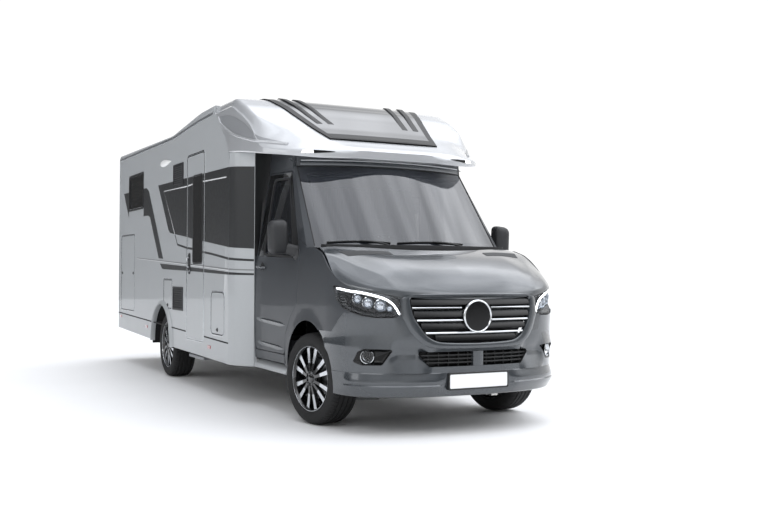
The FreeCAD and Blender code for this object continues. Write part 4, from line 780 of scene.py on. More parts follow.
ENTRANCE = (-0.243, 0.367, 0.508, 2.446)
ENTRANCE_PANE = (-0.040, 0.310, 1.300, 2.225)
GARAGE = (-3.450, -2.680, 0.700, 1.685)
REAR_WINDOW = (-3.030, -2.220, 2.000, 2.470)
DINETTE_WINDOW = (-0.300, 0.800, 1.450, 2.050)
GAS_HATCH = (0.620, 1.030, 0.610, 1.020)
SERVICE_FLAP = (-1.200, -0.850, 0.800, 1.120)
UPPER_VENT = (-0.815, -0.408, 2.165, 2.410)
LOWER_VENT = (-0.800, -0.395, 0.790, 1.050)
DOOR_GAP = 0.005
wedge = [(-3.336, 2.262), (-3.022, 2.257), (-2.080, 2.250), (-1.951, 2.204), (-1.243, 1.364), (-1.451, 1.371),
         (-1.889, 1.880), (-1.976, 1.901), (-3.032, 1.918)]
long_field = [(-1.499, 2.237), (1.160, 2.211), (1.160, 1.452), (0.399, 1.524), (-0.029, 1.561),
              (-0.257, 1.589), (-0.952, 1.654), (-1.018, 1.690)]
inner_line = [(1.074, 2.121), (0.313, 2.139), (-0.027, 2.140), (-0.292, 2.134), (-1.233, 2.147),
              (-0.739, 1.630)]
dark_line = [(-0.739, 1.630), (-0.632, 1.516), (-0.272, 1.473), (-0.027, 1.456), (0.332, 1.419),
             (0.636, 1.395), (1.150, 1.345)]
grey_line = [(-2.555, 1.384), (-0.267, 1.302), (1.150, 1.245)]
white_line = [(-2.555, 1.376), (-0.267, 1.292), (1.150, 1.235)]
taper = [(-1.388, 1.309), (-1.294, 1.250), (-1.203, 1.242), (-0.265, 1.226), (1.155, 1.193), (1.155, 1.218),
         (-0.267, 1.272)]


def left_open(outlines, holes):
    """The outlines with all the holes left free."""
    for hole in holes:
        outlines = [piece for outline in outlines for piece in around(outline, hole)]
    return outlines


def grown(box, by):
    """The box moved out on all sides."""
    return (box[0] - by, box[1] + by, box[2] - by, box[3] + by)


def within(outlines, x0, x1):
    """The parts of the outlines between two stations."""
    pieces = [clipped(clipped(outline, 0, x0, 1), 0, x1, -1) for outline in outlines]
    return [piece for piece in pieces if len(piece) > 2]


graphics = (("field_film", [wedge, long_field], film_anthracite, 1.0),
            ("inner_line_film", stroke(inner_line, 0.012), film_white, 2.0),
            ("dark_line_film", stroke(dark_line, 0.022), film_anthracite, 1.0),
            ("grey_line_film", stroke(grey_line, 0.014), film_grey, 1.0),
            ("white_line_film", stroke(white_line, 0.006), film_white, 2.0),
            ("taper_film", [taper], film_anthracite, 1.0))
for name, outlines, material, layer in graphics:
    for word, side in SIDES:
        window_holes = [REAR_WINDOW, DINETTE_WINDOW] if side > 0 else [REAR_WINDOW]
        shapes = left_open(outlines, window_holes)
        if side < 0:
            door_shapes = within(shapes, ENTRANCE[0] + 0.001, ENTRANCE[1] - 0.001)
            door_shapes = left_open(door_shapes, [grown(ENTRANCE_PANE, 0.004)])
            if door_shapes:
                film(name + "_entrance", door_shapes, ["entrance_door"], side, material, "entrance_door",
                     FILM * layer)
            behind_door = within(shapes, -4, ENTRANCE[0] - DOOR_GAP - 0.001)
            shapes = behind_door + within(shapes, ENTRANCE[1] + DOOR_GAP + 0.001, 4)
        film(name + "_" + word, shapes, ["side_wall_" + word], side, material, "body",
             FILM * layer)

CORNER_X0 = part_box("corner_panels")[0].x
CORNER_X1 = 1.45
corner_films = (("field", [(CORNER_X0 + 0.001, 1.452), (CORNER_X1 - 0.002, 1.435), (CORNER_X1 - 0.002, 2.195),
                           (CORNER_X0 + 0.001, 2.21)], film_anthracite),
                ("dark_line", [(CORNER_X0, 1.333), (CORNER_X1 - 0.002, 1.318), (CORNER_X1 - 0.002, 1.338),
                               (CORNER_X0, 1.356)], film_anthracite),
                ("grey_line", [(CORNER_X0, 1.238), (CORNER_X1 - 0.002, 1.232), (CORNER_X1 - 0.002, 1.244),
                               (CORNER_X0, 1.252)], film_grey),
                ("taper", [(CORNER_X0, 1.193), (CORNER_X1 - 0.002, 1.190), (CORNER_X1 - 0.002, 1.208),
                           (CORNER_X0, 1.218)], film_anthracite))
for name, outline, material in corner_films:
    for word, side in SIDES:
        film("corner_" + name + "_film_" + word, [outline], ["corner_panels"], side, material, "body",
             FILM, 0.012)

# Edge rails: bright anodised aluminium sections cover the seams between walls and roof,
# and a rubber-filled rail covers the seam between wall and skirt.
# Satin anodising: a pale metal line that stays soft in the light.
rail_bright = finish("satin_anodised_aluminium_rail", "C9CCCF", "BFC2C6", 0.3, 0.9, 4.0, 0.02)
# EPDM rubber: a matt black line that separates bright panels.
seam_rubber = finish("black_epdm_seal", "1A1A1B", "212122", 0.75, 0.0, 3.0, 0.1)
wall_low, wall_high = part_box("side_wall_right")


SLAB_FACES = [(0, 1, 2, 3), (7, 6, 5, 4)] + [(i, i + 4, (i + 1) % 4 + 4, (i + 1) % 4) for i in range(4)]


def bar(points, width, depth, side, y):
    """Flat bar along (x, z) points, standing depth proud of the plane y."""
    shapes = []
    for quad in stroke(points, width):
        front = [(x, side * (y + depth), z) for x, z in quad]
        back = [(x, side * y, z) for x, z in quad]
        shapes.append((front + back, SLAB_FACES))
    return merged(shapes)


roof_edge = [(-3.598, 2.739), (-3.0, 2.736), (-2.0, 2.729), (-1.010, 2.720), (-0.870, 2.7195),
             (-0.730, 2.727), (-0.335, 2.750), (0.060, 2.773), (0.240, 2.781), (0.655, 2.789)]
SEAM_REAR_Z, SEAM_FRONT_Z = 0.6475, 0.5475


def seam_z(x):
    """Height of the seam between wall and skirt, which falls towards the front."""
    return SEAM_REAR_Z + (SEAM_FRONT_Z - SEAM_REAR_Z) * (x - wall_low.x) / (wall_high.x - wall_low.x)


skirt_edge = [(wall_low.x, SEAM_REAR_Z), (wall_high.x, SEAM_FRONT_Z)]
DOOR_CLEAR = 0.03
for word, side in SIDES:
    stock("roof_edge_rail_" + word, bar(roof_edge, 0.026, 0.004, side, WALL_Y), rail_bright, "body",
          0.0015)
    stock("rear_corner_rail_" + word, bar([(wall_low.x + 0.013, 0.66), (wall_low.x + 0.013, 2.735)], 0.024,
                                          0.004, side, WALL_Y), rail_bright, "body",
          0.0015)
    if side < 0:
        rear_end, front_end = ENTRANCE[0] - DOOR_CLEAR, ENTRANCE[1] + DOOR_CLEAR
        pieces = [[skirt_edge[0], (rear_end, seam_z(rear_end))],
                  [(front_end, seam_z(front_end)), skirt_edge[1]]]
    else:
        pieces = [skirt_edge]
    shapes = [bar(p, 0.014, 0.003, side, WALL_Y) for p in pieces]
    stock("skirt_seam_rail_" + word, merged(shapes), seam_rubber, "body", 0.0012)

# Windows: double-skinned acrylic panes, thermoformed, in black polyurethane frames.
# A pleated blind is part drawn behind each pane.
# Smoke-tinted acrylic: dark glass that mirrors the sky and lets the blind show through.
tinted_acrylic = bpy.data.materials.new("smoke_tinted_acrylic")
# Pleated polyester: warm grey folds, dull and even.
blind_cloth = finish("pleated_blind_polyester", "6B665C", "5C584F", 0.85, 0.0, 2.0, 0.3)
# Integral-skin polyurethane: soft black with a fine leathery grain.
frame_black = finish("black_integral_skin_polyurethane", "161718", "1C1D1E", 0.45, 0.0, 2.5, 0.08)


def glazing(material, code, roughness, through, coat):
    """Clear or tinted glass or acrylic: a thin-walled look with a faint ripple."""
    material.use_nodes = True
    material.node_tree.nodes.clear()
    place = add(material, "ShaderNodeTexCoord", {}).outputs["Object"]
    ripple = add(material, "ShaderNodeTexNoise", {"Scale": 6.0, "Detail": 1.0}, [("Vector", place)])
    bump = add(material, "ShaderNodeBump", {"Strength": 0.1, "Distance": 0.0004},
               [("Height", ripple.outputs[0])])
    rough = add(material, "ShaderNodeMapRange", {3: roughness, 4: roughness * 1.5}, [(0, ripple.outputs[0])])
    shader = add(material, "ShaderNodeBsdfPrincipled",
                 {"Base Color": srgb(code), "IOR": 1.5, "Coat Weight": coat, "Alpha": 1.0 - through},
                 [("Roughness", rough.outputs[0]), ("Normal", bump.outputs[0])])
    add(material, "ShaderNodeOutputMaterial", {}, [("Surface", shader.outputs[0])])
    return material


glazing(tinted_acrylic, "0E0F11", 0.04, 0.45, 1.0)


def ring(outer, inner, y_out, y_in, side):
    """Closed ring between two outlines of equal count, from one depth to another."""
    count = len(outer)
    rows = [[(x, side * y_in, z) for x, z in outer], [(x, side * y_out, z) for x, z in outer],
            [(x, side * y_out, z) for x, z in inner], [(x, side * y_in, z) for x, z in inner]]
    points = [p for row in rows for p in row]
    faces = []
    for a in range(4):
        b = (a + 1) % 4
        for i in range(count):
            j = (i + 1) % count
            faces.append((a * count + i, a * count + j, b * count + j, b * count + i))
    return points, faces


def plate(outline, y_out, y_in, side):
    """Flat piece of even thickness with the given (x, z) outline."""
    count = len(outline)
    points = [(x, side * y_out, z) for x, z in outline] + [(x, side * y_in, z) for x, z in outline]
    faces = [tuple(range(count)), tuple(range(2 * count - 1, count - 1, -1))]
    return points, faces + [(i, (i + 1) % count, count + (i + 1) % count, count + i) for i in range(count)]


def pleats(box, share, y, side):
    """Folded blind covering the upper share of an opening."""
    x0, x1, z0, z1 = box
    low = z1 - (z1 - z0) * share
    count = int((z1 - low) / 0.02)
    points = []
    for i in range(count + 1):
        z = z1 - (z1 - low) * i / count
        shift = 0.004 if i % 2 else -0.004
        points += [(x0, side * (y + shift), z), (x1, side * (y + shift), z)]
    return points, [(2 * i, 2 * i + 1, 2 * i + 3, 2 * i + 2) for i in range(count)]


PANE_TOP_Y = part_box("side_windows")[1].y
windows = (("rear_right", REAR_WINDOW, -1, 0.96), ("rear_left", REAR_WINDOW, 1, 0.3),
           ("dinette_left", DINETTE_WINDOW, 1, 0.3))
for name, box, side, drawn in windows:
    outer = rounded(rectangle(box, 0.0), 0.04)
    ledge = rounded(rectangle(box, -0.022), 0.03)
    shapes = [ring(outer, ledge, PANE_TOP_Y - 0.001, WALL_Y - 0.03, side)]
    frame_piece = stock("window_frame_" + name, merged(shapes), frame_black, "body", 0.0015)
    pane = stock("window_pane_" + name, plate(ledge, PANE_TOP_Y - 0.0004, PANE_TOP_Y - 0.012, side),
                 tinted_acrylic, "body", 0.004)
    stock("window_blind_" + name, pleats(grown(box, -0.024), drawn, WALL_Y - 0.022, side), blind_cloth,
          "body", 0, 10)
    if name == "rear_right":
        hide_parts("side_windows")
        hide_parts("side_windows")

# Entrance door: a foam-filled leaf with an aluminium edge section, rubber seal and long pane.
# It hangs on concealed hinges at its front edge, and a recessed handle opens it.
skin("entrance_door", wall_silver, "entrance_door", 0.003)
# Bright anodising: a crisp mirror-like edge round the leaf.
door_edge_bright = finish("bright_anodised_door_edge", "D3D6D8", "CBCED1", 0.22, 1.0, 5.0, 0.01)
outer = rounded(rectangle(ENTRANCE, DOOR_GAP + 0.010), 0.055)
inner = rounded(rectangle(ENTRANCE, DOOR_GAP), 0.045)
stock("entrance_frame_trim", ring(outer, inner, WALL_Y + 0.003, WALL_Y - 0.004, -1), door_edge_bright, "body",
      0.0012)
edge_out = rounded(rectangle(ENTRANCE, -0.001), 0.039)
edge_in = rounded(rectangle(ENTRANCE, -0.011), 0.031)
stock("entrance_door_edge", ring(edge_out, edge_in, WALL_Y + 0.0022, WALL_Y - 0.004, -1), door_edge_bright,
      "entrance_door", 0.001)
pane_frame = rounded(rectangle(ENTRANCE_PANE, 0.004), 0.044)
pane_inner = rounded(rectangle(ENTRANCE_PANE, -0.014), 0.028)
stock("entrance_pane_frame", ring(pane_frame, pane_inner, WALL_Y + 0.003, WALL_Y - 0.002, -1), frame_black,
      "entrance_door", 0.0012)
# Dark acrylic: with no light behind it the pane is a black mirror.
door_acrylic = glazing(bpy.data.materials.new("dark_door_pane_acrylic"), "131211", 0.05, 0.0, 1.0)
pane_cover = plate(pane_inner, WALL_Y + 0.0012, WALL_Y + 0.0002, -1)
stock("entrance_pane_cover", pane_cover, door_acrylic, "entrance_door", 0)
handle_bowl = rounded(rectangle((-0.187, -0.117, 1.19, 1.415)), 0.03)
handle_lip = rounded(rectangle((-0.181, -0.123, 1.196, 1.409)), 0.026)
stock("entrance_handle_escutcheon", merged([ring(handle_bowl, handle_lip, WALL_Y + 0.006, WALL_Y - 0.001, -1),
                                            plate(handle_lip, WALL_Y + 0.002, WALL_Y, -1)]),
      frame_black, "entrance_door", 0.0015)
grip = [(-0.165, -1.156, 1.37), (-0.165, -1.172, 1.355), (-0.163, -1.176, 1.32), (-0.163, -1.174, 1.28),
        (-0.165, -1.156, 1.262)]
stock("entrance_handle_grip", tube(grip, 0.0085, 14), rail_bright, "entrance_door", 0)
stock("entrance_handle_lock", turn([(0.0, 0.0005), (0.0, 0.013), (-0.005, 0.012), (-0.0055, 0.0005)],
                                   (-0.152, -1.152, 1.222), 32), rail_bright, "entrance_door", 0)

# Garage doors, gas hatch and service flap: wall panels in black seals with turning locks.
# Each lock is a die-cast knob in a round rose.


def turn_lock(x, z, side, y):
    """Knob in its rose, on the wall."""
    rose = turn([(0.0, 0.0005), (0.0, 0.021), (side * 0.004, 0.019), (side * 0.005, 0.0005)],
                (x, side * y, z), 40)
    knob = plate(rounded([(x - 0.014, z - 0.006), (x + 0.014, z - 0.006), (x + 0.014, z + 0.006),
                          (x - 0.014, z + 0.006)], 0.004), y + 0.011, y + 0.004, side)
    return merged([rose, knob])


leaves = (("garage_door_left", GARAGE, 1, 0.04, [(-3.38, 1.19), (-2.75, 1.19)]),
          ("garage_door_right", GARAGE, -1, 0.04, [(-3.38, 1.19), (-2.75, 1.19)]),
          ("gas_hatch", GAS_HATCH, -1, 0.056, [(0.825, 0.655)]),
          ("service_flap", SERVICE_FLAP, -1, 0.02, [(-1.025, 0.835)]))
for name, box, side, radius, locks in leaves:
    skin(name, wall_silver, name, 0.0025)
    outer = rounded(rectangle(box, DOOR_GAP + 0.009), radius + 0.014)
    inner = rounded(rectangle(box, DOOR_GAP - 0.0005), radius + 0.005)
    stock(name + "_frame_trim", ring(outer, inner, WALL_Y + 0.0025, WALL_Y - 0.003, side), door_edge_bright,
          "body", 0.001)
    seal_out = rounded(rectangle(box, -0.0005), radius)
    seal_in = rounded(rectangle(box, -0.005), radius - 0.004)
    stock(name + "_edge", ring(seal_out, seal_in, WALL_Y + 0.0012, WALL_Y - 0.002, side), seam_rubber, name,
          0.0006)
    stock(name + "_locks", merged([turn_lock(x, z, side, WALL_Y) for x, z in locks]), frame_black, name,
          0.0008)

# Fridge vents: injection-moulded louvred grilles with a frame, clipped over the wall cut-outs.
# Nine sloping slats throw rain outwards.
# Grained ASA: black with a faint satin shine on each slat.
vent_plastic = finish("injection_moulded_black_asa", "17181A", "1E1F21", 0.42, 0.0, 1.6, 0.06)
VENT_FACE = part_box("side_vents")[0].y * -1
VENT_RIM = 0.018
SLATS = 9
vent_shapes = []
for box in (UPPER_VENT, LOWER_VENT):
    x0, x1, z0, z1 = box
    outer = rounded(rectangle(box), 0.012)
    inner = rounded(rectangle(box, -VENT_RIM), 0.008)
    vent_shapes.append(ring(outer, inner, VENT_FACE - 0.001, WALL_Y + 0.0006, -1))
    vent_shapes.append(plate(inner, WALL_Y + 0.001, WALL_Y + 0.0003, -1))
    pitch = (z1 - z0 - 2 * VENT_RIM) / SLATS
    for i in range(SLATS):
        z = z0 + VENT_RIM + pitch * i
        slat = [(x0 + VENT_RIM, WALL_Y + 0.0010, z + pitch),
                (x0 + VENT_RIM, WALL_Y + 0.0065, z + pitch * 0.22),
                (x0 + VENT_RIM, WALL_Y + 0.0045, z + pitch * 0.10),
                (x0 + VENT_RIM, WALL_Y + 0.0006, z + pitch * 0.86)]
        points = [(x, -y, z) for x, y, z in slat] + [(x1 - VENT_RIM, -y, z) for x, y, z in slat]
        vent_shapes.append((points, SLAB_FACES))
vents = stock("side_vents_louvred", merged(vent_shapes), vent_plastic, "body", 0.0005)
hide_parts("side_vents")

# Outside fittings: awning lamp, reflectors and the slide-out step with its tread strips.
# The lamp is a white teardrop cover over light-emitting diodes.
# Opal polycarbonate: milky white, glowing softly at its edges.
lamp_cover = finish("opal_polycarbonate_cover", "EDEDEC", "E4E4E3", 0.3, 0.0, 10.0, 0.01,
                    **{"Coat Weight": 0.3})
# Prismatic acrylic: deep red that sparkles over its ribs.
red_lens = finish("red_prismatic_pmma", "8E1410", "A31C14", 0.15, 0.0, 1.0, 0.1, **{"Coat Weight": 1.0})
LAMP_X0, LAMP_X1, LAMP_Z = -1.381, -0.912, 2.471
drop = []
for i in range(33):
    t = i / 32
    drop.append((LAMP_X0 + (LAMP_X1 - LAMP_X0) * t, 0.040 * sin(pi * t ** 0.62)))
sections = []
for k in range(9):
    turn_angle = pi * k / 8
    sections.append([(x, -(WALL_Y + 0.028 * sin(turn_angle) * (r / 0.04)), LAMP_Z + r * cos(turn_angle))
                     for x, r in drop])
points = [p for row in sections for p in row]
faces = [(k * 33 + i, k * 33 + i + 1, k * 33 + i + 34, k * 33 + i + 33) for k in range(8) for i in range(32)]
stock("awning_lamp", (points, faces), lamp_cover, "body", 0, 60)
reflectors = []
for x, z in ((-3.50, 0.585), (-2.05, 0.52), (0.52, 0.455)):
    reflectors += [plate(rounded(rectangle((x, x + 0.095, z, z + 0.032)), 0.006), WALL_Y + 0.005, WALL_Y,
                         side) for side in (1, -1)]
stock("side_reflectors", merged(reflectors), red_lens, "body", 0.001)
# Ribbed anodised board: grey metal with a brushed, broken shine.
step_alloy = finish("ribbed_anodised_step_board", "9B9DA0", "8D8F92", 0.45, 0.9, 2.0, 0.1)
coated("entrance_step", step_alloy)
step_low, step_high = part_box("entrance_step")
TREAD_INSET, TREAD_PITCH, TREAD_WIDE = 0.012, 0.018, 0.006
tread_lines = [step_low.y + 0.014 + TREAD_PITCH * i for i in range(17)]
treads = [block(step_low.x + TREAD_INSET, step_high.x - TREAD_INSET, y, y + TREAD_WIDE, step_high.z - 0.0005,
                step_high.z + 0.0022) for y in tread_lines]
stock("step_tread_strips", merged(treads), seam_rubber, "entrance_step", 0.0006)

# Overcab cap: one glass-fibre moulding in bright silver gel coat over the cab.
# Its lip carries the marker lamps, and a black-framed panoramic window lies on its slope.
# Silver gel coat: a bright, smooth moulding whose edges flow into each other.
cap_silver = paint("bright_silver_gel_coat", "B9BBBE", "CDCFD2", 3.0, 0.3, 0.30, 300.0)
# Thermoformed acrylic: a glossy black frame with long soft reflections.
trim_black = finish("gloss_black_thermoformed_acrylic", "050506", "08090A", 0.30, 0.0, 12.0, 0.01,
                    **{"Specular IOR Level": 0.18})
# Stations along the cap: x, half width, underside, shoulder, half width of the top, top.
CAP = ((0.660, 1.150, 2.390, 2.780, 1.096, 2.868), (1.160, 1.150, 2.345, 2.785, 1.090, 2.868),
       (1.400, 1.145, 2.325, 2.700, 1.080, 2.785), (1.650, 1.126, 2.295, 2.560, 1.060, 2.650),
       (1.900, 1.098, 2.262, 2.330, 0.820, 2.510), (2.110, 0.990, 2.236, 2.290, 0.700, 2.404),
       (2.230, 0.860, 2.218, 2.280, 0.600, 2.345), (2.300, 0.690, 2.208, 2.266, 0.520, 2.312),
       (2.345, 0.420, 2.214, 2.252, 0.380, 2.284))


def eased(rows, at):
    """Values on a smooth curve that never overshoots its rows, whose first value is the station."""
    i = 0
    while i < len(rows) - 2 and at > rows[i + 1][0]:
        i += 1
    before, here, there, after = rows[max(i - 1, 0)], rows[i], rows[i + 1], rows[min(i + 2, len(rows) - 1)]
    span = there[0] - here[0]
    t = min(max((at - here[0]) / span, 0.0), 1.0)
    values = []
    for k in range(1, len(here)):
        slope = (there[k] - here[k]) / span
        ends = []
        for a, b in ((before, here), (there, after)):
            other = (b[k] - a[k]) / (b[0] - a[0]) if b[0] > a[0] else slope
            ends.append(0.0 if slope * other <= 0 else 2 * slope * other / (slope + other))
        values.append((2 * t ** 3 - 3 * t ** 2 + 1) * here[k] + (t ** 3 - 2 * t ** 2 + t) * span * ends[0]
                      + (3 * t ** 2 - 2 * t ** 3) * there[k] + (t ** 3 - t ** 2) * span * ends[1])
    return values


def smooth_line(points, steps):
    """Points of a smooth curve through the given ones."""
    rows = [(float(i),) + tuple(p) for i, p in enumerate(points)]
    count = (len(points) - 1) * steps
    return [eased(rows, i / steps) for i in range(count + 1)]


def grid_edge(width, deep):
    """Numbers of the points round the edge of a grid, in order."""
    rim = list(range(width)) + [i * width + width - 1 for i in range(1, deep)]
    rim += [(deep - 1) * width + k for k in range(width - 2, -1, -1)]
    return rim + [i * width for i in range(deep - 2, 0, -1)]


def thick_sheet(rows, back):
    """Closed piece from the rows of its face and the points of its back."""
    points, faces = grid(rows)
    count = len(points)
    rim = grid_edge(len(rows[0]), len(rows))
    faces += [tuple(count + i for i in reversed(f)) for f in faces]
    faces += [(a, b, count + b, count + a) for a, b in zip(rim, rim[1:] + rim[:1])]
    return points + back, faces


def cap_half(x):
    """Half of one cross section, from the underside round to the middle of the top."""
    half, low, shoulder, flat, top = eased(CAP, x)
    edge = 0.012
    drop = (top - shoulder) * 0.18 + edge / 2
    corner = [(0.0, low), (half * 0.5, low), (half - edge - 0.03, low), (half - edge, low),
              (half, low + edge)]
    side = [(half, low + (shoulder - low) * s) for s in (0.25, 0.5, 0.75)]
    over = smooth_line([(half, shoulder - edge), (half - edge, shoulder), (flat, top - drop / 2),
                        (flat * 0.72, top), (0.0, top)], 8)
    return corner + side + over


CAP_FRONT = CAP[-1][0]
CAP_REAR = CAP[0][0] + 0.0003
cap_rows = []
for i in range(110):
    x = CAP_REAR + (CAP_FRONT - CAP_REAR) * i / 109
    half = cap_half(x)
    cap_rows.append([(x, -y, z) for y, z in half] + [(x, y, z) for y, z in reversed(half[1:-1])])
cap_form = grid([row + row[:1] for row in cap_rows])


def raw(name, shape, material):
    """Closed mesh with outward normals, to be cut before its edges are rounded."""
    mesh = bpy.data.meshes.new(name)
    mesh.from_pydata([tuple(p) for p in shape[0]], [], shape[1])
    form = bmesh.new()
    form.from_mesh(mesh)
    bmesh.ops.remove_doubles(form, verts=form.verts, dist=1e-6)
    bmesh.ops.recalc_face_normals(form, faces=form.faces)
    form.to_mesh(mesh)
    form.free()
    mesh.materials.append(material)
    piece = bpy.data.objects.new(name, mesh)
    bpy.context.scene.collection.objects.link(piece)
    return piece


cap_solid = grid([row + row[:1] for row in cap_rows])
width = len(cap_rows[0]) + 1
cap_solid[1].append(tuple(range(width - 1)))
cap_solid[1].append(tuple(len(cap_solid[0]) - width + i for i in range(width - 1)))
cap = raw("overcab_moulding", cap_solid, cap_silver)
wall_edge = [(0.5, 2.2, 0), (1.1605, 2.2, 0), (1.1605, 2.3, 0.3), (1.0605, 2.4705, 0.5),
             (0.7005, 2.7925, 0.06), (0.5, 2.786, 0)]
wall_cutters = [plate(rounded(wall_edge, 0.0, 10), 1.2, 1.1195, side) for side in (1, -1)]
lamp_pockets = []
for side in (1, -1):
    outline = [(0.766, 2.248), (0.865, 2.248), (0.848, 2.272), (0.766, 2.272)]
    pocket = [(x, side * y, z) for x in (2.168, 2.5) for y, z in outline]
    lamp_pockets.append((pocket, SLAB_FACES))
cut(cap, wall_cutters + lamp_pockets)
dressed(cap, "body", 0.004, 38.0)
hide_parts("overcab")


# Side recess of the cap: the moulding steps in below a bright crest that runs down to the lip.
# The step is drawn as a raised ridge and a field laid on the cap, painted slightly darker as the recess's
# shade.
# Gel coat with the recess shade painted in, so the crest above it stands out.
cap_recess_painted_shade = finish("gel_coat_recess_painted_shade", "8F9194", "8A8C8F", 0.4, 0.1, 60.0, 0.01,
                   **{"Coat Weight": 0.6, "Coat Roughness": 0.1})
cap_tree = BVHTree.FromPolygons(*cap_form)


def on_cap(path, lift):
    """Side-view points, (x, z), put on the cap's right side."""
    spots = []
    for x, z in path:
        hit = cap_tree.ray_cast(Vector((x, -2.0, z)), Vector((0, 1, 0)))[0]
        if hit is None:
            hit = cap_tree.find_nearest(Vector((x, -1.1, z)))[0]
        normal = cap_tree.find_nearest(hit)[1]
        if normal.y > 0:
            normal = -normal
        spots.append(hit + normal * lift)
    return spots


def mirror_shape(shape):
    """The shape on the other side of the vehicle."""
    return [Vector((p.x, -p.y, p.z)) for p in shape[0]], [tuple(reversed(f)) for f in shape[1]]


recess_top = [(0.828, 2.730), (1.134, 2.700), (1.508, 2.590), (1.820, 2.415), (2.060, 2.345)]
ridge_line = [(0.829, 2.722), (0.900, 2.655), (1.039, 2.591), (1.286, 2.500), (1.477, 2.452), (1.850, 2.372),
              (2.075, 2.335)]
top_path = smooth_line(recess_top, 10)
low_path = smooth_line(ridge_line, 10)
rows = []
for i in range(41):
    a = top_path[min(round(i * (len(top_path) - 1) / 40), len(top_path) - 1)]
    b = low_path[min(round(i * (len(low_path) - 1) / 40), len(low_path) - 1)]
    line = [(a[0] + (b[0] - a[0]) * t / 6, a[1] + (b[1] - a[1]) * t / 6) for t in range(7)]
    rows.append(on_cap(line, 0.0035))
field = grid(rows)
# The field is gel coat painted darker as the shade in the recess.
stock("cap_side_recess_painted_shade", merged([field, mirror_shape(field)]), cap_recess_painted_shade, "body", 0, 60)
ridge = tube(on_cap([tuple(p) for p in low_path], 0.003), 0.013, 12)
stock("cap_side_ridge", merged([ridge, mirror_shape(ridge)]), cap_silver, "body", 0, 60)

# Panoramic window: smoked acrylic in a black frame, with two raised ribs and a step at its foot.
# It lies on the cap's slope, and the cap's hollow shows dark below it.
SKY_X0, SKY_X1, SKY_REAR, SKY_FRONT = 1.110, 2.135, 0.850, 0.549
# Smoked acrylic: a cool dark sheet that mirrors the sky.
smoked_acrylic = glazing(bpy.data.materials.new("smoked_panoramic_acrylic"), "15181D", 0.05, 0.0, 1.0)


def cap_top_z(x):
    """Height of the straight line between the cap stations."""
    for a, b in zip(CAP, CAP[1:]):
        if a[0] <= x <= b[0]:
            return a[5] + (b[5] - a[5]) * (x - a[0]) / (b[0] - a[0])
    return CAP[-1][5]


def smooth_top_z(x):
    """Height of the smooth curve through the cap stations."""
    return eased(CAP, x)[4]


def sky_row(x, share, lift):
    """Points across the window at one station; share 1 is its full width."""
    half = (SKY_REAR + (SKY_FRONT - SKY_REAR) * (x - SKY_X0) / (SKY_X1 - SKY_X0)) * share
    z = max(cap_top_z(x), smooth_top_z(x)) + lift
    return [(x, half * (k / 8 - 1), z - 0.004 * abs(k / 8 - 1) ** 3) for k in range(17)]


def sky_sheet(x0, x1, share, lift, thick, count=40):
    """Curved pane following the cap's slope, closed all round."""
    xs = [x0 + (x1 - x0) * i / (count - 1) for i in range(count)]
    back = grid([sky_row(x, share, lift - thick) for x in xs])[0]
    return thick_sheet([sky_row(x, share, lift) for x in xs], back)


frame_sheet = stock("panoramic_window_frame", sky_sheet(SKY_X0 + 0.004, SKY_X1 - 0.004, 0.995, 0.0165, 0.024),
                    trim_black, "body", 0.004, 40)
pane = stock("panoramic_window_pane", sky_sheet(SKY_X0 + 0.05, SKY_X1 - 0.115, 0.90, 0.0185, 0.010),
             smoked_acrylic, "body", 0.004, 40)
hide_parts("roof_windows")
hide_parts("roof_windows")
stock("panoramic_window_step", sky_sheet(SKY_X1 - 0.100, SKY_X1 - 0.018, 0.93, 0.0185, 0.010, 10), trim_black,
      "body", 0.006, 40)
ribs = []
for side in (1, -1):
    for share in (0.60, 0.78):
        rows_out = []
        for i in range(24):
            x = SKY_X0 + 0.07 + 0.62 * i / 23
            half = (SKY_REAR + (SKY_FRONT - SKY_REAR) * (x - SKY_X0) / (SKY_X1 - SKY_X0))
            z = max(cap_top_z(x), smooth_top_z(x)) + 0.018
            height = 0.012 * min(1.0, (23 - i) / 14)
            rows_out.append([(x, side * half * (share + w), z + h) for w,
                             h in ((-0.045, 0.0), (-0.030, height), (0.030, height), (0.045, 0.0))])
        ribs.append(grid(rows_out))
stock("panoramic_window_ribs", merged(ribs), trim_black, "body", 0.002, 40)

# Roof lights: three double-skinned opal domes in white frames.
# They tilt on stays; here they are shut.
# Opal double acrylic: pale blue-white, slightly see-through at the rim.
opal_acrylic = finish("opal_double_acrylic_dome", "DEE2E6", "D3D8DD", 0.22, 0.0, 80.0, 0.02,
                      **{"Coat Weight": 0.8})
# Moulded white ASA: plain, clean white with a little sheen.
frame_white = finish("moulded_white_asa_frame", "E4E4E2", "DADAD8", 0.42, 0.0, 3.0, 0.05)
ROOF_LIGHT_X = (-2.9, -2.0, -1.25)
ROOF_LIGHT_HALF, DOME_HALF, DOME_TOP_HALF = 0.2, 0.183, 0.12
ROOF_REAR_X, ROOF_RUN, ROOF_REAR_Z, ROOF_FRONT_Z = -3.57, 2.56, 2.800, 2.757


def square(x, half):
    """Outline of a square on the roof, seen from above."""
    return [(x - half, -half), (x + half, -half), (x + half, half), (x - half, half)]


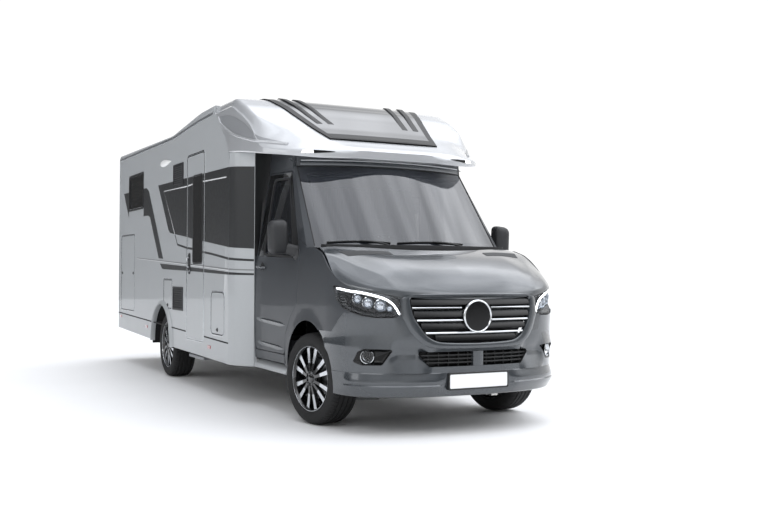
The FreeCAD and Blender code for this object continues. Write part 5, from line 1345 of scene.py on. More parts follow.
roof_lights = []
roof_frames = []
for x in ROOF_LIGHT_X:
    base = ROOF_REAR_Z + (ROOF_FRONT_Z - ROOF_REAR_Z) * (x - ROOF_LIGHT_HALF
                                                         - ROOF_REAR_X) / ROOF_RUN + 0.0005
    outer = rounded(square(x, ROOF_LIGHT_HALF), 0.04)
    inner = rounded(square(x, DOME_HALF), 0.035)
    top = rounded(square(x, DOME_TOP_HALF), 0.05)
    count = len(outer)
    rows = [[(a, b, base) for a, b in outer], [(a, b, base + 0.022) for a, b in outer],
            [(a, b, base + 0.026) for a, b in inner], [(a, b, base + 0.004) for a, b in inner]]
    rows = [row + row[:1] for row in rows]
    roof_frames.append(grid(rows))
    rows = [[(a, b, base + 0.010) for a, b in inner], [(a, b, base + 0.040) for a, b in inner],
            [(a, b, base + 0.052) for a, b in top], [((a - x) * 0.3 + x, b * 0.3, base + 0.0545) for a,
                                                     b in top]]
    shape = grid([row + row[:1] for row in rows])
    shape[1].append(tuple(len(shape[0]) - count - 1 + i for i in range(count)))
    roof_lights.append(shape)
stock("roof_light_frames", merged(roof_frames), frame_white, "body", 0.002)
stock("roof_light_domes", merged(roof_lights), opal_acrylic, "body", 0, 50)

# Marker lamps: clear wedges let into the lip at both front corners, shown lit.
# A gloss-black fin runs inwards from each.
# Clear polycarbonate lit from behind: a white glow broken by fine ribs.
lit_lens = bpy.data.materials.new("lit_polycarbonate_lens")


def lamp_light(material, code, strength, groove_mm):
    """Prismatic lens lit from behind: even light broken by fine ribs."""
    material.use_nodes = True
    material.node_tree.nodes.clear()
    place = add(material, "ShaderNodeTexCoord", {}).outputs["Object"]
    ribs_wave = add(material, "ShaderNodeTexWave", {"Scale": 1000.0 / groove_mm / 20.0}, [("Vector", place)])
    glow = add(material, "ShaderNodeMapRange", {3: strength * 0.7, 4: strength},
               [(0, ribs_wave.outputs["Fac"])])
    bump = add(material, "ShaderNodeBump", {"Strength": 0.3, "Distance": 0.0005},
               [("Height", ribs_wave.outputs["Fac"])])
    shader = add(material, "ShaderNodeBsdfPrincipled",
                 {"Base Color": srgb("F2F4F6"), "Roughness": 0.12, "Emission Color": srgb(code)},
                 [("Emission Strength", glow.outputs[0]), ("Normal", bump.outputs[0])])
    add(material, "ShaderNodeOutputMaterial", {}, [("Surface", shader.outputs[0])])
    return material


lamp_light(lit_lens, "FFFDF6", 5.0, 4.0)
lens_shapes, fin_shapes = [], []
for side in (1, -1):
    outline = rounded([(0.768, 2.250), (0.862, 2.250), (0.846, 2.270), (0.768, 2.270)], 0.004, 3)
    rows = []
    for x, grow in ((2.175, 1.0), (2.2205, 1.0)):
        rows.append([(x, side * y, z) for y, z in outline] + [(x, side * outline[0][0], outline[0][1])])
    shape = grid(rows)
    shape[1].append(tuple(range(len(outline))))
    shape[1].append(tuple(range(len(outline) + 1, 2 * len(outline) + 1)))
    lens_shapes.append(shape)
stock("marker_lenses", merged(lens_shapes), lit_lens, "body", 0.0015)

# Cab shell: pressed and spot-welded steel, dip-primed and painted slate grey metallic.
# Posts, sills, windscreen frame and floor are one welded body; its inside is trimmed.
# Two-coat metallic: slate grey whose flakes lighten where it faces the sky.
slate_paint = paint("slate_grey_metallic_two_coat", "404448", "666B70", 3.0, 0.40, 0.26, 350.0)
# The same slate for upright panels, painted darker as the shade they stand in, and with less coat shine.
slate_with_painted_shade = paint("slate_grey_metallic_coat_painted_shade", "393C40", "54585D", 3.0, 0.25, 0.42, 350.0, 0.22)
CAB_MID_Y, CAB_BELT_Y, CAB_TOP_Y = 1.000, 0.986, 0.857
CAB_MID_Z, BELT_Z, CAB_TOP_Z = 0.900, 1.300, 2.130


def side_y(z):
    """Half width of the cab at height z."""
    if z >= BELT_Z:
        return CAB_BELT_Y + (CAB_TOP_Y - CAB_BELT_Y) * (z - BELT_Z) / (CAB_TOP_Z - BELT_Z)
    return CAB_MID_Y - (CAB_MID_Y - CAB_BELT_Y) * ((z - CAB_MID_Z) / (BELT_Z - CAB_MID_Z)) ** 2


# The shell wears the slate with its shade painted in, darker than on the bonnet.
skin("cab_shell", slate_with_painted_shade, "body", 0.0025)

# Corner returns: painted steel panels close the step between the wide body and the cab, behind each door.
# Above the door handle the return is black plastic trim.
CORNER_X = 1.4495
for word, side in SIDES:
    # The lower return wears the slate with its shade painted in.
    for panel, low, high, face in (("panel", 1.0, 1.365, slate_with_painted_shade), ("trim", 1.365, 2.34, frame_black)):
        heights = [low + (high - low) * i / 20 for i in range(21)]
        edge = [(CORNER_X + 0.0013, side * 0.9985, z) for z in heights]
        outer = [(CORNER_X + 0.0013, side * 0.970, z) for z in heights]
        inner = [(CORNER_X + 0.004, side * (side_y(min(z, CAB_TOP_Z)) - 0.03), z) for z in heights]
        middle = [(CORNER_X - 0.012, (outer[i][1] + inner[i][1]) / 2, heights[i]) for i in range(21)]
        stock("corner_return_" + panel + "_" + word, grid([edge, outer, middle, inner]), face, "body",
              0, 30)

# Cab doors: double-skinned steel with a pull handle, lock and a plain pressed moulding.
# The window sits in a black rubber channel.
# Black glazed band: it runs on from the glass so the window reads larger.
surround_black = finish("glazed_black_window_surround", "0E0F10", "111213", 0.06, 0.0, 60.0, 0.01,
                        **{"Coat Weight": 0.6, "Coat Roughness": 0.03})
WINDOW = [(1.620, 1.380, 0.05), (2.360, 1.345, 0.03), (1.990, 2.045, 0.06), (1.620, 2.060, 0.06)]
HANDLE_X, HANDLE_Z = 1.60, 1.262
for word, side in SIDES:
    body = "cab_door_" + word
    # The door skin wears the slate with its shade painted in.
    skin(body, slate_with_painted_shade, body, 0.004)
    surround_out = rounded([(1.486, 1.368, 0.02), (2.462, 1.352, 0.01), (2.030, 2.094, 0.03),
                            (1.486, 2.110, 0.02)], 0.02, 8)
    surround_in = rounded([(1.600, 1.364, 0.04), (2.385, 1.340, 0.03), (1.998, 2.058, 0.06),
                           (1.600, 2.072, 0.06)], 0.05, 8)
    rows = [[(x, side * (side_y(z) + 0.0012), z) for x, z in outline + outline[:1]]
            for outline in (surround_out, surround_in)]
    stock("cab_window_surround_" + word, grid(rows), surround_black, body, 0, 60)
    seal_rows = []
    outline = rounded(WINDOW, 0.05, 8)
    centre_x = sum(p[0] for p in outline) / len(outline)
    centre_z = sum(p[1] for p in outline) / len(outline)
    for grow, depth in ((1.022, 0.0015), (1.018, 0.0045), (0.975, 0.0035), (0.965, -0.006)):
        row = []
        for x, z in outline:
            px, pz = centre_x + (x - centre_x) * grow, centre_z + (z - centre_z) * grow
            row.append((px, side * (side_y(pz) + depth), pz))
        seal_rows.append(row + row[:1])
    stock("cab_window_seal_" + word, grid(seal_rows), seam_rubber, body, 0, 50)
    glass_rows = []
    for i in range(13):
        share = i / 12
        row = []
        for x, z in outline:
            px, pz = centre_x + (x - centre_x) * 0.99 * share, centre_z + (z - centre_z) * 0.99 * share
            row.append((px, side * (side_y(pz) - 0.0145 + 0.004 * (1 - share ** 2)), pz))
        glass_rows.append(row + row[:1])
    # Tinted toughened glass: dark, so the seats show only faintly.
    side_glass = glazing(bpy.data.materials.new("green_tinted_side_glass_" + word), "12151A", 0.02, 0.22, 1.0)
    door_glass = stock("cab_window_glass_" + word, grid(glass_rows), side_glass, body, 0, 80)
    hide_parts("door_glass_" + word)
    for name, line in (("upper", [(1.504, 0.799), (2.215, 0.771)]),
                       ("lower", [(1.51, 0.589), (2.172, 0.566)])):
        rows = []
        for z_shift, depth in ((0.020, 0.0002), (0.013, 0.0045), (0.004, 0.0055), (-0.004, 0.0045),
                               (-0.022, 0.0002)):
            rows.append([(line[0][0] + (line[1][0] - line[0][0]) * k / 12,
                          side * (side_y(line[0][1]) + depth * min(1.0, k / 1.5, (12 - k) / 1.5)),
                          line[0][1] + (line[1][1] - line[0][1]) * k / 12
                          + z_shift * min(1.0, 0.2 + k / 2, 0.2 + (12 - k) / 2)) for k in range(13)])
        stock("cab_door_" + name + "_moulding_" + word, grid(rows), slate_paint, body, 0, 60)
    # Pull handle over a round finger bowl, with the lock beside it.
    y = side * side_y(HANDLE_Z)
    bowl = turn([(side * 0.0008, 0.0005), (side * 0.0008, 0.036), (side * 0.0022, 0.040),
                 (side * 0.0016, 0.044), (side * 0.0002, 0.0445)], (HANDLE_X + 0.035, y, HANDLE_Z), 40,
                 closed=False)
    stock("cab_handle_bowl_" + word, bowl, seam_rubber, body, 0, 50)
    pull = [(HANDLE_X - 0.055, y + side * 0.004, HANDLE_Z + 0.004),
            (HANDLE_X - 0.04, y + side * 0.026, HANDLE_Z + 0.006),
            (HANDLE_X + 0.03, y + side * 0.031, HANDLE_Z + 0.004),
            (HANDLE_X + 0.10, y + side * 0.026, HANDLE_Z),
            (HANDLE_X + 0.118, y + side * 0.003, HANDLE_Z - 0.002)]
    stock("cab_handle_pull_" + word, tube([tuple(p) for p in smooth_line(pull, 5)], 0.011, 16), slate_paint,
          body, 0, 60)
    lock = turn([(0.0, 0.0005), (0.0, 0.0135), (side * 0.002, 0.0125), (side * 0.0025, 0.0005)],
                (HANDLE_X - 0.083, y, HANDLE_Z + 0.004), 28)
    stock("cab_lock_" + word, lock, rail_bright, body, 0)
    # Quarter trim: black triangle ahead of the window, where the mirror stands.
    tri = [(2.315, 1.352), (2.452, 1.352), (2.462, 1.385), (2.105, 1.945), (2.048, 2.04)]
    trim = [Vector((x, side * (side_y(z) + 0.0015), z)) for x, z in tri]
    stock("cab_door_mirror_triangle_" + word, (trim, [tuple(range(len(trim)))]), frame_black, body,
          0)

# Mirrors: a large convex mirror over a small wide-angle one, in grained black housings.
# Silvered glass: a clean, bright image.
mirror_glass = finish("silvered_mirror_glass", "D9DCE0", "D2D6DB", 0.03, 1.0, 200.0, 0.005)
# Grained nylon: charcoal with a dry, even texture.
mirror_black = finish("grained_black_pa_housing", "232426", "2A2B2D", 0.5, 0.0, 1.4, 0.12)
HEAD = [(1.030, 1.372, 0.04), (1.188, 1.372, 0.05), (1.198, 1.650, 0.06), (1.045, 1.666, 0.04)]
for word, side in SIDES:
    body = "cab_door_" + word
    outline = rounded(HEAD, 0.05, 6)
    cy = sum(p[0] for p in outline) / len(outline)
    cz = sum(p[1] for p in outline) / len(outline)
    rows = []
    for x, share in ((2.303, 0.93), (2.2965, 0.975), (2.300, 1.0), (2.330, 1.0), (2.358, 0.985),
                     (2.380, 0.94), (2.393, 0.82), (2.399, 0.55), (2.400, 0.12)):
        rows.append([(x, side * (cy + (a - cy) * share), cz + (b - cz) * share) for a, b in outline])
    rows = [row + row[:1] for row in rows]
    shape = grid(rows)
    last = (len(rows) - 1) * len(rows[0])
    shape[1].append(tuple(last + i for i in range(len(outline))))
    head = stock("mirror_head_" + word, shape, mirror_black, body, 0, 60)
    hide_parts("mirror_" + word)
    panes = []
    for low, high in ((1.470, 1.648), (1.388, 1.458)):
        pane_outline = rounded([(1.044, low), (1.184, low), (1.187 if high < 1.5 else 1.19, high),
                                (1.052, high)], 0.02, 5)
        points = [(2.3005, side * a, b) for a, b in pane_outline]
        panes.append((points, [tuple(range(len(points)))]))
    stock("mirror_glasses_" + word, merged(panes), mirror_glass, body, 0)
    back = rounded([(1.036, 1.38), (1.186, 1.38), (1.192, 1.655), (1.046, 1.66)], 0.04, 6)
    stock("mirror_glass_tray_" + word, ([(2.3015, side * a, b) for a, b in back], [tuple(range(len(back)))]),
          mirror_black, body, 0)
    arm = [(2.415, side * 0.968, 1.392), (2.405, side * 1.0, 1.402), (2.378, side * 1.045, 1.418),
           (2.350, side * 1.085, 1.425)]
    rows = []
    for i, (x, y, z) in enumerate(smooth_line(arm, 5)):
        tall, deep = 0.052 - 0.0006 * i, 0.027
        rows.append([(x + deep * cos(t), y, z + tall * sin(t)) for t in [2 * pi * k / 20 for k in range(21)]])
    stock("mirror_arm_" + word, grid(rows), mirror_black, body, 0, 60)
    foot = turn([(-0.001, 0.0005), (-0.001, 0.052), (side * 0.010, 0.047), (side * 0.018, 0.034),
                 (side * 0.019, 0.0005)], (2.405, side * side_y(1.372), 1.372), 32)
    stock("mirror_foot_" + word, foot, mirror_black, body, 0, 50)

# Windscreen: laminated glass bonded into the frame, with a black ceramic edge band.
# Two wipers park along its foot, and the black band widens into a patch at its top.
SCREEN_X, SCREEN_LOW_Y, SCREEN_LOW_Z = 2.600, 0.890, 1.426
SCREEN_TOP_Y, SCREEN_TOP_Z = 0.831, 2.150
SCREEN_LEAN = (2.050 - 0.034 - 2.600) / (2.150 - 1.426)
SCREEN_BOW = 0.262
SCREEN_R = (SCREEN_LOW_Y ** 2 + SCREEN_BOW ** 2) / (2 * SCREEN_BOW)
# Laminated glass: slightly grey, with a strong reflection of the overhead cloth.
screen_glass = bpy.data.materials.new("laminated_windscreen_glass")
glazing(screen_glass, "2A2D33", 0.015, 0.15, 1.0)
# Fired ceramic band: gloss black that frames the glass and hides the bond.
ceramic_black = finish("fired_ceramic_black_band", "0C0C0D", "111112", 0.3, 0.0, 2.0, 0.01,
                       **{"Coat Weight": 1.0, "Coat Roughness": 0.02})


def screen_x(y, z, back=0.0):
    """Outer face of the windscreen, or a surface back metres behind it."""
    foot = SCREEN_X + SCREEN_LEAN * (z - SCREEN_LOW_Z) + SCREEN_BOW - SCREEN_R
    return foot + sqrt(SCREEN_R ** 2 - y ** 2) - back


def screen_half(z):
    """Half width of the windscreen at height z."""
    return SCREEN_LOW_Y + (SCREEN_TOP_Y - SCREEN_LOW_Y) * (z - SCREEN_LOW_Z) / (SCREEN_TOP_Z - SCREEN_LOW_Z)


def screen_patch(z0, z1, left, right, back, rows=12, columns=48):
    """Part of the glass surface; left and right are functions of height."""
    return grid([[(screen_x(y, z, back), y, z) for y in [left(z) + (right(z) - left(z)) * k / columns
                                                         for k in range(columns + 1)]]
                 for z in [z0 + (z1 - z0) * i / rows for i in range(rows + 1)]])


outer_face = screen_patch(SCREEN_LOW_Z, SCREEN_TOP_Z, lambda z: -screen_half(z), screen_half, 0.0)
glass = stock("windscreen_glass", outer_face, screen_glass, "body", 0, 80)
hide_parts("windscreen")
band = 0.045
bands = [screen_patch(SCREEN_LOW_Z, SCREEN_TOP_Z, lambda z: -screen_half(z), lambda z: band - screen_half(z),
                      0.003, 12, 4),
         screen_patch(SCREEN_LOW_Z, SCREEN_TOP_Z, lambda z: screen_half(z) - band, screen_half, 0.003, 12, 4),
         screen_patch(SCREEN_LOW_Z, SCREEN_LOW_Z + 0.055, lambda z: -screen_half(z), screen_half, 0.0034, 3),
         screen_patch(SCREEN_TOP_Z - 0.055, SCREEN_TOP_Z, lambda z: -screen_half(z), screen_half, 0.0034, 3),
         screen_patch(SCREEN_TOP_Z - 0.20, SCREEN_TOP_Z - 0.05,
                      lambda z: -0.10 - 0.25 * (z - SCREEN_TOP_Z + 0.2),
                      lambda z: 0.10 + 0.25 * (z - SCREEN_TOP_Z + 0.2), 0.0034, 6, 12)]
stock("windscreen_ceramic_band", merged(bands), ceramic_black, "body", 0, 80)
seal_path = [(screen_x(y, SCREEN_TOP_Z, -0.001), y, SCREEN_TOP_Z)
             for y in [-SCREEN_TOP_Y + 2 * SCREEN_TOP_Y * k / 40 for k in range(41)]]
seal_path = [(screen_x(screen_half(z), z, -0.001), -screen_half(z), z)
             for z in [SCREEN_LOW_Z + 0.02 + (SCREEN_TOP_Z - SCREEN_LOW_Z - 0.02) * k / 16
                       for k in range(16)]] + seal_path
seal_path += [(screen_x(screen_half(z), z, -0.001), screen_half(z), z)
              for z in [SCREEN_TOP_Z - (SCREEN_TOP_Z - SCREEN_LOW_Z - 0.02) * k / 16 for k in range(1, 17)]]
stock("windscreen_seal", tube(seal_path, 0.005, 8), seam_rubber, "body", 0, 80)
brow_rows = []
for z, back in ((SCREEN_TOP_Z + 0.002, 0.006), (SCREEN_TOP_Z + 0.012, -0.002), (SCREEN_TOP_Z + 0.030, -0.004),
                (SCREEN_TOP_Z + 0.050, 0.004), (SCREEN_TOP_Z + 0.062, 0.02)):
    brow_rows.append([(screen_x(y, SCREEN_TOP_Z, back), y, z)
                      for y in [(-0.97 + 1.94 * k / 40) * SCREEN_TOP_Y for k in range(41)]])
stock("windscreen_brow", grid(brow_rows), slate_paint, "body", 0, 60)
# Powder-coated steel: thin black lines with a dull shine.
wiper_black = finish("black_powder_coated_wiper_arm", "141516", "1A1B1C", 0.45, 0.0, 2.0, 0.05)


def on_glass(y, z, lift):
    """Point lift metres in front of the windscreen."""
    return (screen_x(y, z, -lift), y, z)


for name, spindle_y, tip_y in (("right", -0.30, -0.80), ("left", 0.42, -0.24)):
    blade = [on_glass(spindle_y + (tip_y - spindle_y) * k / 14, 1.470 + 0.012 * sin(pi * k / 14), 0.012)
             for k in range(15)]
    rubber = [on_glass(spindle_y + (tip_y - spindle_y) * k / 14, 1.465 + 0.012 * sin(pi * k / 14), 0.004)
              for k in range(15)]
    arm_y = spindle_y + (tip_y - spindle_y) * 0.02
    arm = [(screen_x(arm_y, 1.44, -0.03), arm_y, 1.436),
           on_glass(arm_y + (tip_y - spindle_y) * 0.1, 1.458, 0.036),
           on_glass(arm_y + (tip_y - spindle_y) * 0.30, 1.478, 0.030),
           on_glass(arm_y + (tip_y - spindle_y) * 0.47, 1.484, 0.018)]
    stock("wiper_" + name,
          merged([tube(blade, 0.006, 8), tube(rubber, 0.0035, 6),
                  tube([tuple(p) for p in smooth_line(arm, 5)], 0.008, 10)]), wiper_black, "body",
                  0, 60)
    knob = turn([(0.0, 0.0005), (0.0, 0.022), (0.012, 0.019), (0.016, 0.0005)], (arm[0][0], arm_y, 1.434), 24,
                axis=(0.3, 0, 1))
    stock("wiper_" + name + "_pivot_cap", knob, wiper_black, "body", 0, 50)
coated("scuttle", mirror_black)

# Bonnet: one pressed steel outer skin, hemmed round its edge, hinged at the rear.
# A soft centre plane rolls over a crease at each side, and two black grilles let air into the cowl.
BONNET = ((2.640, 1.496, 1.482, 1.436), (2.900, 1.432, 1.428, 1.372), (3.160, 1.362, 1.350, 1.228),
          (3.380, 1.272, 1.248, 1.080),
          (3.520, 1.176, 1.140, 0.960), (3.600, 1.096, 1.052, 0.870), (3.640, 1.040, 0.990, 0.800))


def bonnet_z(x, y):
    """Height of the bonnet, with the low ridge along each crease."""
    middle, crease, edge = eased(BONNET, x)
    across = [(0.0, middle), (0.308, middle * 0.75 + crease * 0.25), (0.560, crease),
              (0.800, (crease + edge) / 2 + 0.014), (1.000, edge)]
    y = abs(y)
    crest = 0.86 - 0.26 * min(max((x - 3.10) / 0.50, -0.6), 1.0)
    return eased(across, y)[0] + 0.005 * math_bell((y - crest) / 0.055) * min(1.0, max(0.0, (3.62 - x) / 0.2))


def math_bell(t):
    """Smooth hump that is 1 at 0 and falls off to both sides."""
    return 1 / (1 + t * t) ** 2


BONNET_EDGE = ((2.776, 0.925), (2.960, 0.956), (3.159, 0.981), (3.276, 0.953), (3.413, 0.864), (3.510, 0.734),
               (3.566, 0.610))
BONNET_THICK = 0.018
edge_line = smooth_line(BONNET_EDGE, 10)
rows = []
for i, (edge_x, edge_y) in enumerate(edge_line):
    v = i / (len(edge_line) - 1)
    bow = 0.224 * (1 - v) ** 1.5 + 0.070 * v
    row = []
    for k in range(81):
        u = sin(pi / 2 * (k / 40 - 1)) * 0.4 + (k / 40 - 1) * 0.6
        x, y = edge_x + bow * (1 - u * u), edge_y * u
        nose_fall = 0.024 * math_bell((len(edge_line) - 1 - i) * 0.33)
        side_fall = 0.022 * math_bell((1 - abs(u)) * 26) * min(1.0, max(0.0, (x - 3.0) / 0.2))
        row.append((x, y, bonnet_z(x, y) - max(nose_fall + side_fall, 0.0)))
    rows.append(row)
back = [Vector((p.x, p.y, p.z - BONNET_THICK)) for p in grid(rows)[0]]
bonnet = stock("bonnet_pressing", thick_sheet(rows, back), slate_paint, "bonnet", 0.003, 45)
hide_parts("bonnet")
grille_shapes = []
for side in (1, -1):
    corners = ((2.955, 0.845), (3.050, 0.450), (3.128, 0.445), (3.060, 0.805))
    for i in range(13):
        t = (i + 0.5) / 13
        a = Vector(corners[0]).lerp(Vector(corners[3]), t)
        b = Vector(corners[1]).lerp(Vector(corners[2]), t)
        line = [a.lerp(b, k / 16) for k in range(17)]
        lift = 0.0035
        rows = [[(p.x + s, side * p.y, bonnet_z(p.x + s, p.y) + h) for p in line] for s,
                h in ((-0.0028, 0.0008), (-0.0018, lift), (0.0012, lift * 0.8), (0.0024, 0.0008))]
        grille_shapes.append(grid(rows))
    for k in range(9):
        t = (k + 0.5) / 9
        a = Vector(corners[0]).lerp(Vector(corners[1]), t)
        b = Vector(corners[3]).lerp(Vector(corners[2]), t)
        line = [a.lerp(b, j / 8) for j in range(9)]
        rows = [[(p.x, side * (p.y + s), bonnet_z(p.x, p.y) + h) for p in line] for s,
                h in ((-0.0022, 0.0008), (-0.0014, 0.0030), (0.0014, 0.0030), (0.0022, 0.0008))]
        grille_shapes.append(grid(rows))
    mat = [Vector(c) for c in corners]
    rows = []
    for i in range(9):
        a = mat[0].lerp(mat[3], i / 8)
        b = mat[1].lerp(mat[2], i / 8)
        rows.append([(p.x, side * p.y, bonnet_z(p.x, p.y) + 0.0007)
                     for p in [a.lerp(b, k / 20) for k in range(21)]])
    grille_shapes.append(grid(rows))
stock("bonnet_cowl_grilles", merged(grille_shapes), mirror_black, "bonnet", 0, 40)

# Nose: injection-moulded bumper and steel wings, all painted like the cab.
# The surfaces follow one plan curve that turns from the sides into the front.
NOSE = ((0.290, 3.655), (0.430, 3.688), (0.760, 3.684), (1.100, 3.636), (1.400, 3.594))
NOSE_REAR_X, NOSE_TURN_X, NOSE_TURN_Y = 3.050, 3.420, 0.760
ARCH_X, ARCH_Z, ARCH_R = 2.700, 0.385, 0.450


def nose_point(t, z, out=0.0, side=1):
    """Point on the nose: t runs from the side (0) to the middle (1), below 0 back along the side."""
    front = eased(NOSE, min(max(z, 0.29), 1.4))[0] + out
    wide = side_y(z) + out
    if t < 0:
        return Vector((NOSE_REAR_X + t, side * wide, z))
    poles = ((NOSE_REAR_X, wide), (NOSE_TURN_X + out / 2, wide), (front, NOSE_TURN_Y + out / 2), (front, 0.0))
    a, b, c, e = (1 - t) ** 3, 3 * (1 - t) ** 2 * t, 3 * (1 - t) * t * t, t ** 3
    return Vector((a * poles[0][0] + b * poles[1][0] + c * poles[2][0] + e * poles[3][0],
                   side * (a * poles[0][1] + b * poles[1][1] + c * poles[2][1]), z))


def nose_t(y, z, out=0.0):
    """Plan parameter of the point at half width y."""
    low, high = 0.0, 1.0
    for _ in range(30):
        mid = (low + high) / 2
        if nose_point(mid, z, out).y > y:
            low = mid
        else:
            high = mid
    return low


def nose_solid(t_range, z_rows, thick, side=1, outs=None):
    """Closed shell between the outer surface and one thick metres behind it."""
    outer, inner = [], []
    for z in z_rows:
        out = outs(z) if outs else 0.0
        outs_here = [out(t) if callable(out) else out for t in t_range]
        outer.append([nose_point(t, z, o, side) for t, o in zip(t_range, outs_here)])
        inner.append([nose_point(t, z, o - thick, side) for t, o in zip(t_range, outs_here)])
    wide, tall = len(t_range), len(z_rows)
    count = wide * tall
    points = [p for row in outer for p in row] + [p for row in inner for p in row]
    faces = list(grid(outer)[1]) + [tuple(count + i for i in reversed(f)) for f in grid(outer)[1]]
    rim = grid_edge(wide, tall)
    faces += [(rim[(i + 1) % len(rim)], rim[i], count + rim[i], count + rim[(i + 1) % len(rim)])
              for i in range(len(rim))]
    return points, faces


LAMP = rounded([(0.9868, 1.128, 0.006), (0.946, 1.104, 0.1), (0.814, 1.083, 0.2), (0.720, 1.060, 0.2),
                (0.617, 1.040, 0.008), (0.612, 0.912, 0.01), (0.660, 0.888, 0.03),
                (0.782, 0.886, 0.1), (0.869, 0.902, 0.1), (0.925, 0.930, 0.05), (0.958, 0.955, 0.04),
                (0.979, 1.020, 0.05)], 0.02, 6)
GRILLE_HALF = [(0.0, 1.072), (0.30, 1.069), (0.50, 1.064), (0.562, 1.048), (0.606, 1.034), (0.611, 0.905),
               (0.590, 0.852), (0.543, 0.764), (0.484, 0.704), (0.410, 0.668), (0.30, 0.655), (0.0, 0.652)]
LOWER_GRILLE = rounded([(-0.418, 0.521, 0.03), (0.418, 0.521, 0.03), (0.505, 0.632, 0.02),
                        (-0.505, 0.632, 0.02)], 0.02, 5)
FOG = rounded([(0.912, 0.556, 0.02), (0.868, 0.532, 0.03), (0.746, 0.536, 0.02), (0.672, 0.654, 0.012),
               (0.850, 0.658, 0.03), (0.886, 0.634, 0.03)], 0.02, 5)
LIP_Z = 0.476
plan = [i / 44 for i in range(45)]
full_plan = [-0.11 + 0.11 * i / 4 for i in range(4)] + plan
z_rows = [0.292, 0.297, 0.306, 0.330, 0.355, 0.378, 0.388, 0.396, 0.406, 0.430, 0.450, 0.468, LIP_Z - 0.001,
          LIP_Z + 0.001, 0.482, 0.50, 0.53, 0.57, 0.61, 0.65, 0.69, 0.73, 0.77, 0.81, 0.85, 0.89, 0.93, 0.97,
          1.01, 1.046]


def smooth_step(low, high, at):
    """Soft step from 0 at low to 1 at high."""
    share = min(max((at - low) / (high - low), 0.0), 1.0)
    return share * share * (3 - 2 * share)


plan_table = []
for k in range(81):
    here, there = nose_point(max(k - 0.5, 0) / 80, 0.5), nose_point(min(k + 0.5, 80) / 80, 0.5)
    plan_table.append((nose_point(k / 80, 0.5).y,
                       Vector((here.y - there.y, there.x - here.x, 0)).normalized()))


def plan_normal(half):
    """Outward direction of the nose in plan at a half width."""
    for (a, n), (b, m) in zip(plan_table, plan_table[1:]):
        if half >= b:
            return (n * (half - b) + m * (a - half)).normalized() if a > half else n
    return Vector((1, 0, 0))


def bumper_out(half, z):
    """How far the skin stands out from the plan curve at this half width and height."""
    ends = smooth_step(0.27, 0.36, half) * (1 - smooth_step(0.90, 0.97, half))
    if z < LIP_Z:
        base = -0.016 if z < 0.296 else -0.005 if z < 0.305 else 0.0
        lip = 0.003 + ends * (0.027 * smooth_step(0.300, 0.378,
                                                  z) - 0.028 * min(1.0, max(0.0, (z - 0.388) / 0.086)))
        groove = 0.010 * ends * smooth_step(0.380, 0.388, z) * (1 - smooth_step(0.392, 0.400, z))
        return base + lip - groove
    cheek = smooth_step(0.40, 0.47, half) * (1 - smooth_step(0.64, 0.72, half))
    lean = cheek * (0.014 - 0.062 * (z - 0.482) / 0.16) * (1 - smooth_step(0.636, 0.662, z))
    brow = 0.012 * smooth_step(0.60, 0.650,
                               z) * (1 - smooth_step(0.660, 0.72, z)) * smooth_step(0.64, 0.72, half)
    fold = 0.007 * smooth_step(0.84, 0.86, z) * smooth_step(0.60, 0.66,
                                                            half) * (1 - smooth_step(0.93, 0.98, half))
    sink = -0.012 * smooth_step(0.60, 0.64,
                                z) * (1 - smooth_step(0.655, 0.70, z)) * (1 - smooth_step(0.30, 0.45, half))
    return lean + brow + fold + sink


def wing_out(z):
    """How far the wing stands out at this height: a flare that follows the wheel arch."""
    def lift(t):
        x = NOSE_REAR_X + t if t < 0 else nose_point(t, z).x
        gap = sqrt((x - ARCH_X) ** 2 + (z - ARCH_Z) ** 2) - ARCH_R
        return ARCH_FLARE * max(0.0, 1 - gap / 0.05) ** 0.5 if gap > -0.02 else ARCH_FLARE
    return lift


ARCH_FLARE = 0.007
# Outlines in side view: the wing's top under the bonnet, its shut line to the door, its joint to the bumper.
wing_top = [(2.10, 1.60), (2.62, 1.424), (2.776, 1.417)]
wing_top += [(x, bonnet_z(x, y) - 0.004 - 0.022 * min(1.0, max(0.0, (x - 3.0) / 0.2))) for x,
             y in edge_line[1:28]]
wing_top += [(3.45, 1.06), (3.45, 1.8), (2.10, 1.8)]
DOOR_SHUT = [(2.0, 0.30), (2.19, 0.30), (2.19, 0.665), (2.231, 0.70), (2.345, 0.852), (2.476, 0.963),
             (2.497, 1.345), (2.466, 1.43), (2.0, 1.9)]
BUMPER_JOINT = [(2.85, 0.2), (3.8, 0.2), (3.8, 0.958), (3.302, 0.917), (3.157, 0.772), (2.85, 0.772)]
front_arch = circle(ARCH_X, ARCH_Z, ARCH_R)
wing_rows = [0.42 + 0.04 * i for i in range(28)]
wing_plan = [-0.86 + 0.02 * i for i in range(43)] + [0.012 * i for i in range(1, 30)]
halves = [nose_solid(full_plan, z_rows, 0.004, side) for side in (1, -1)]
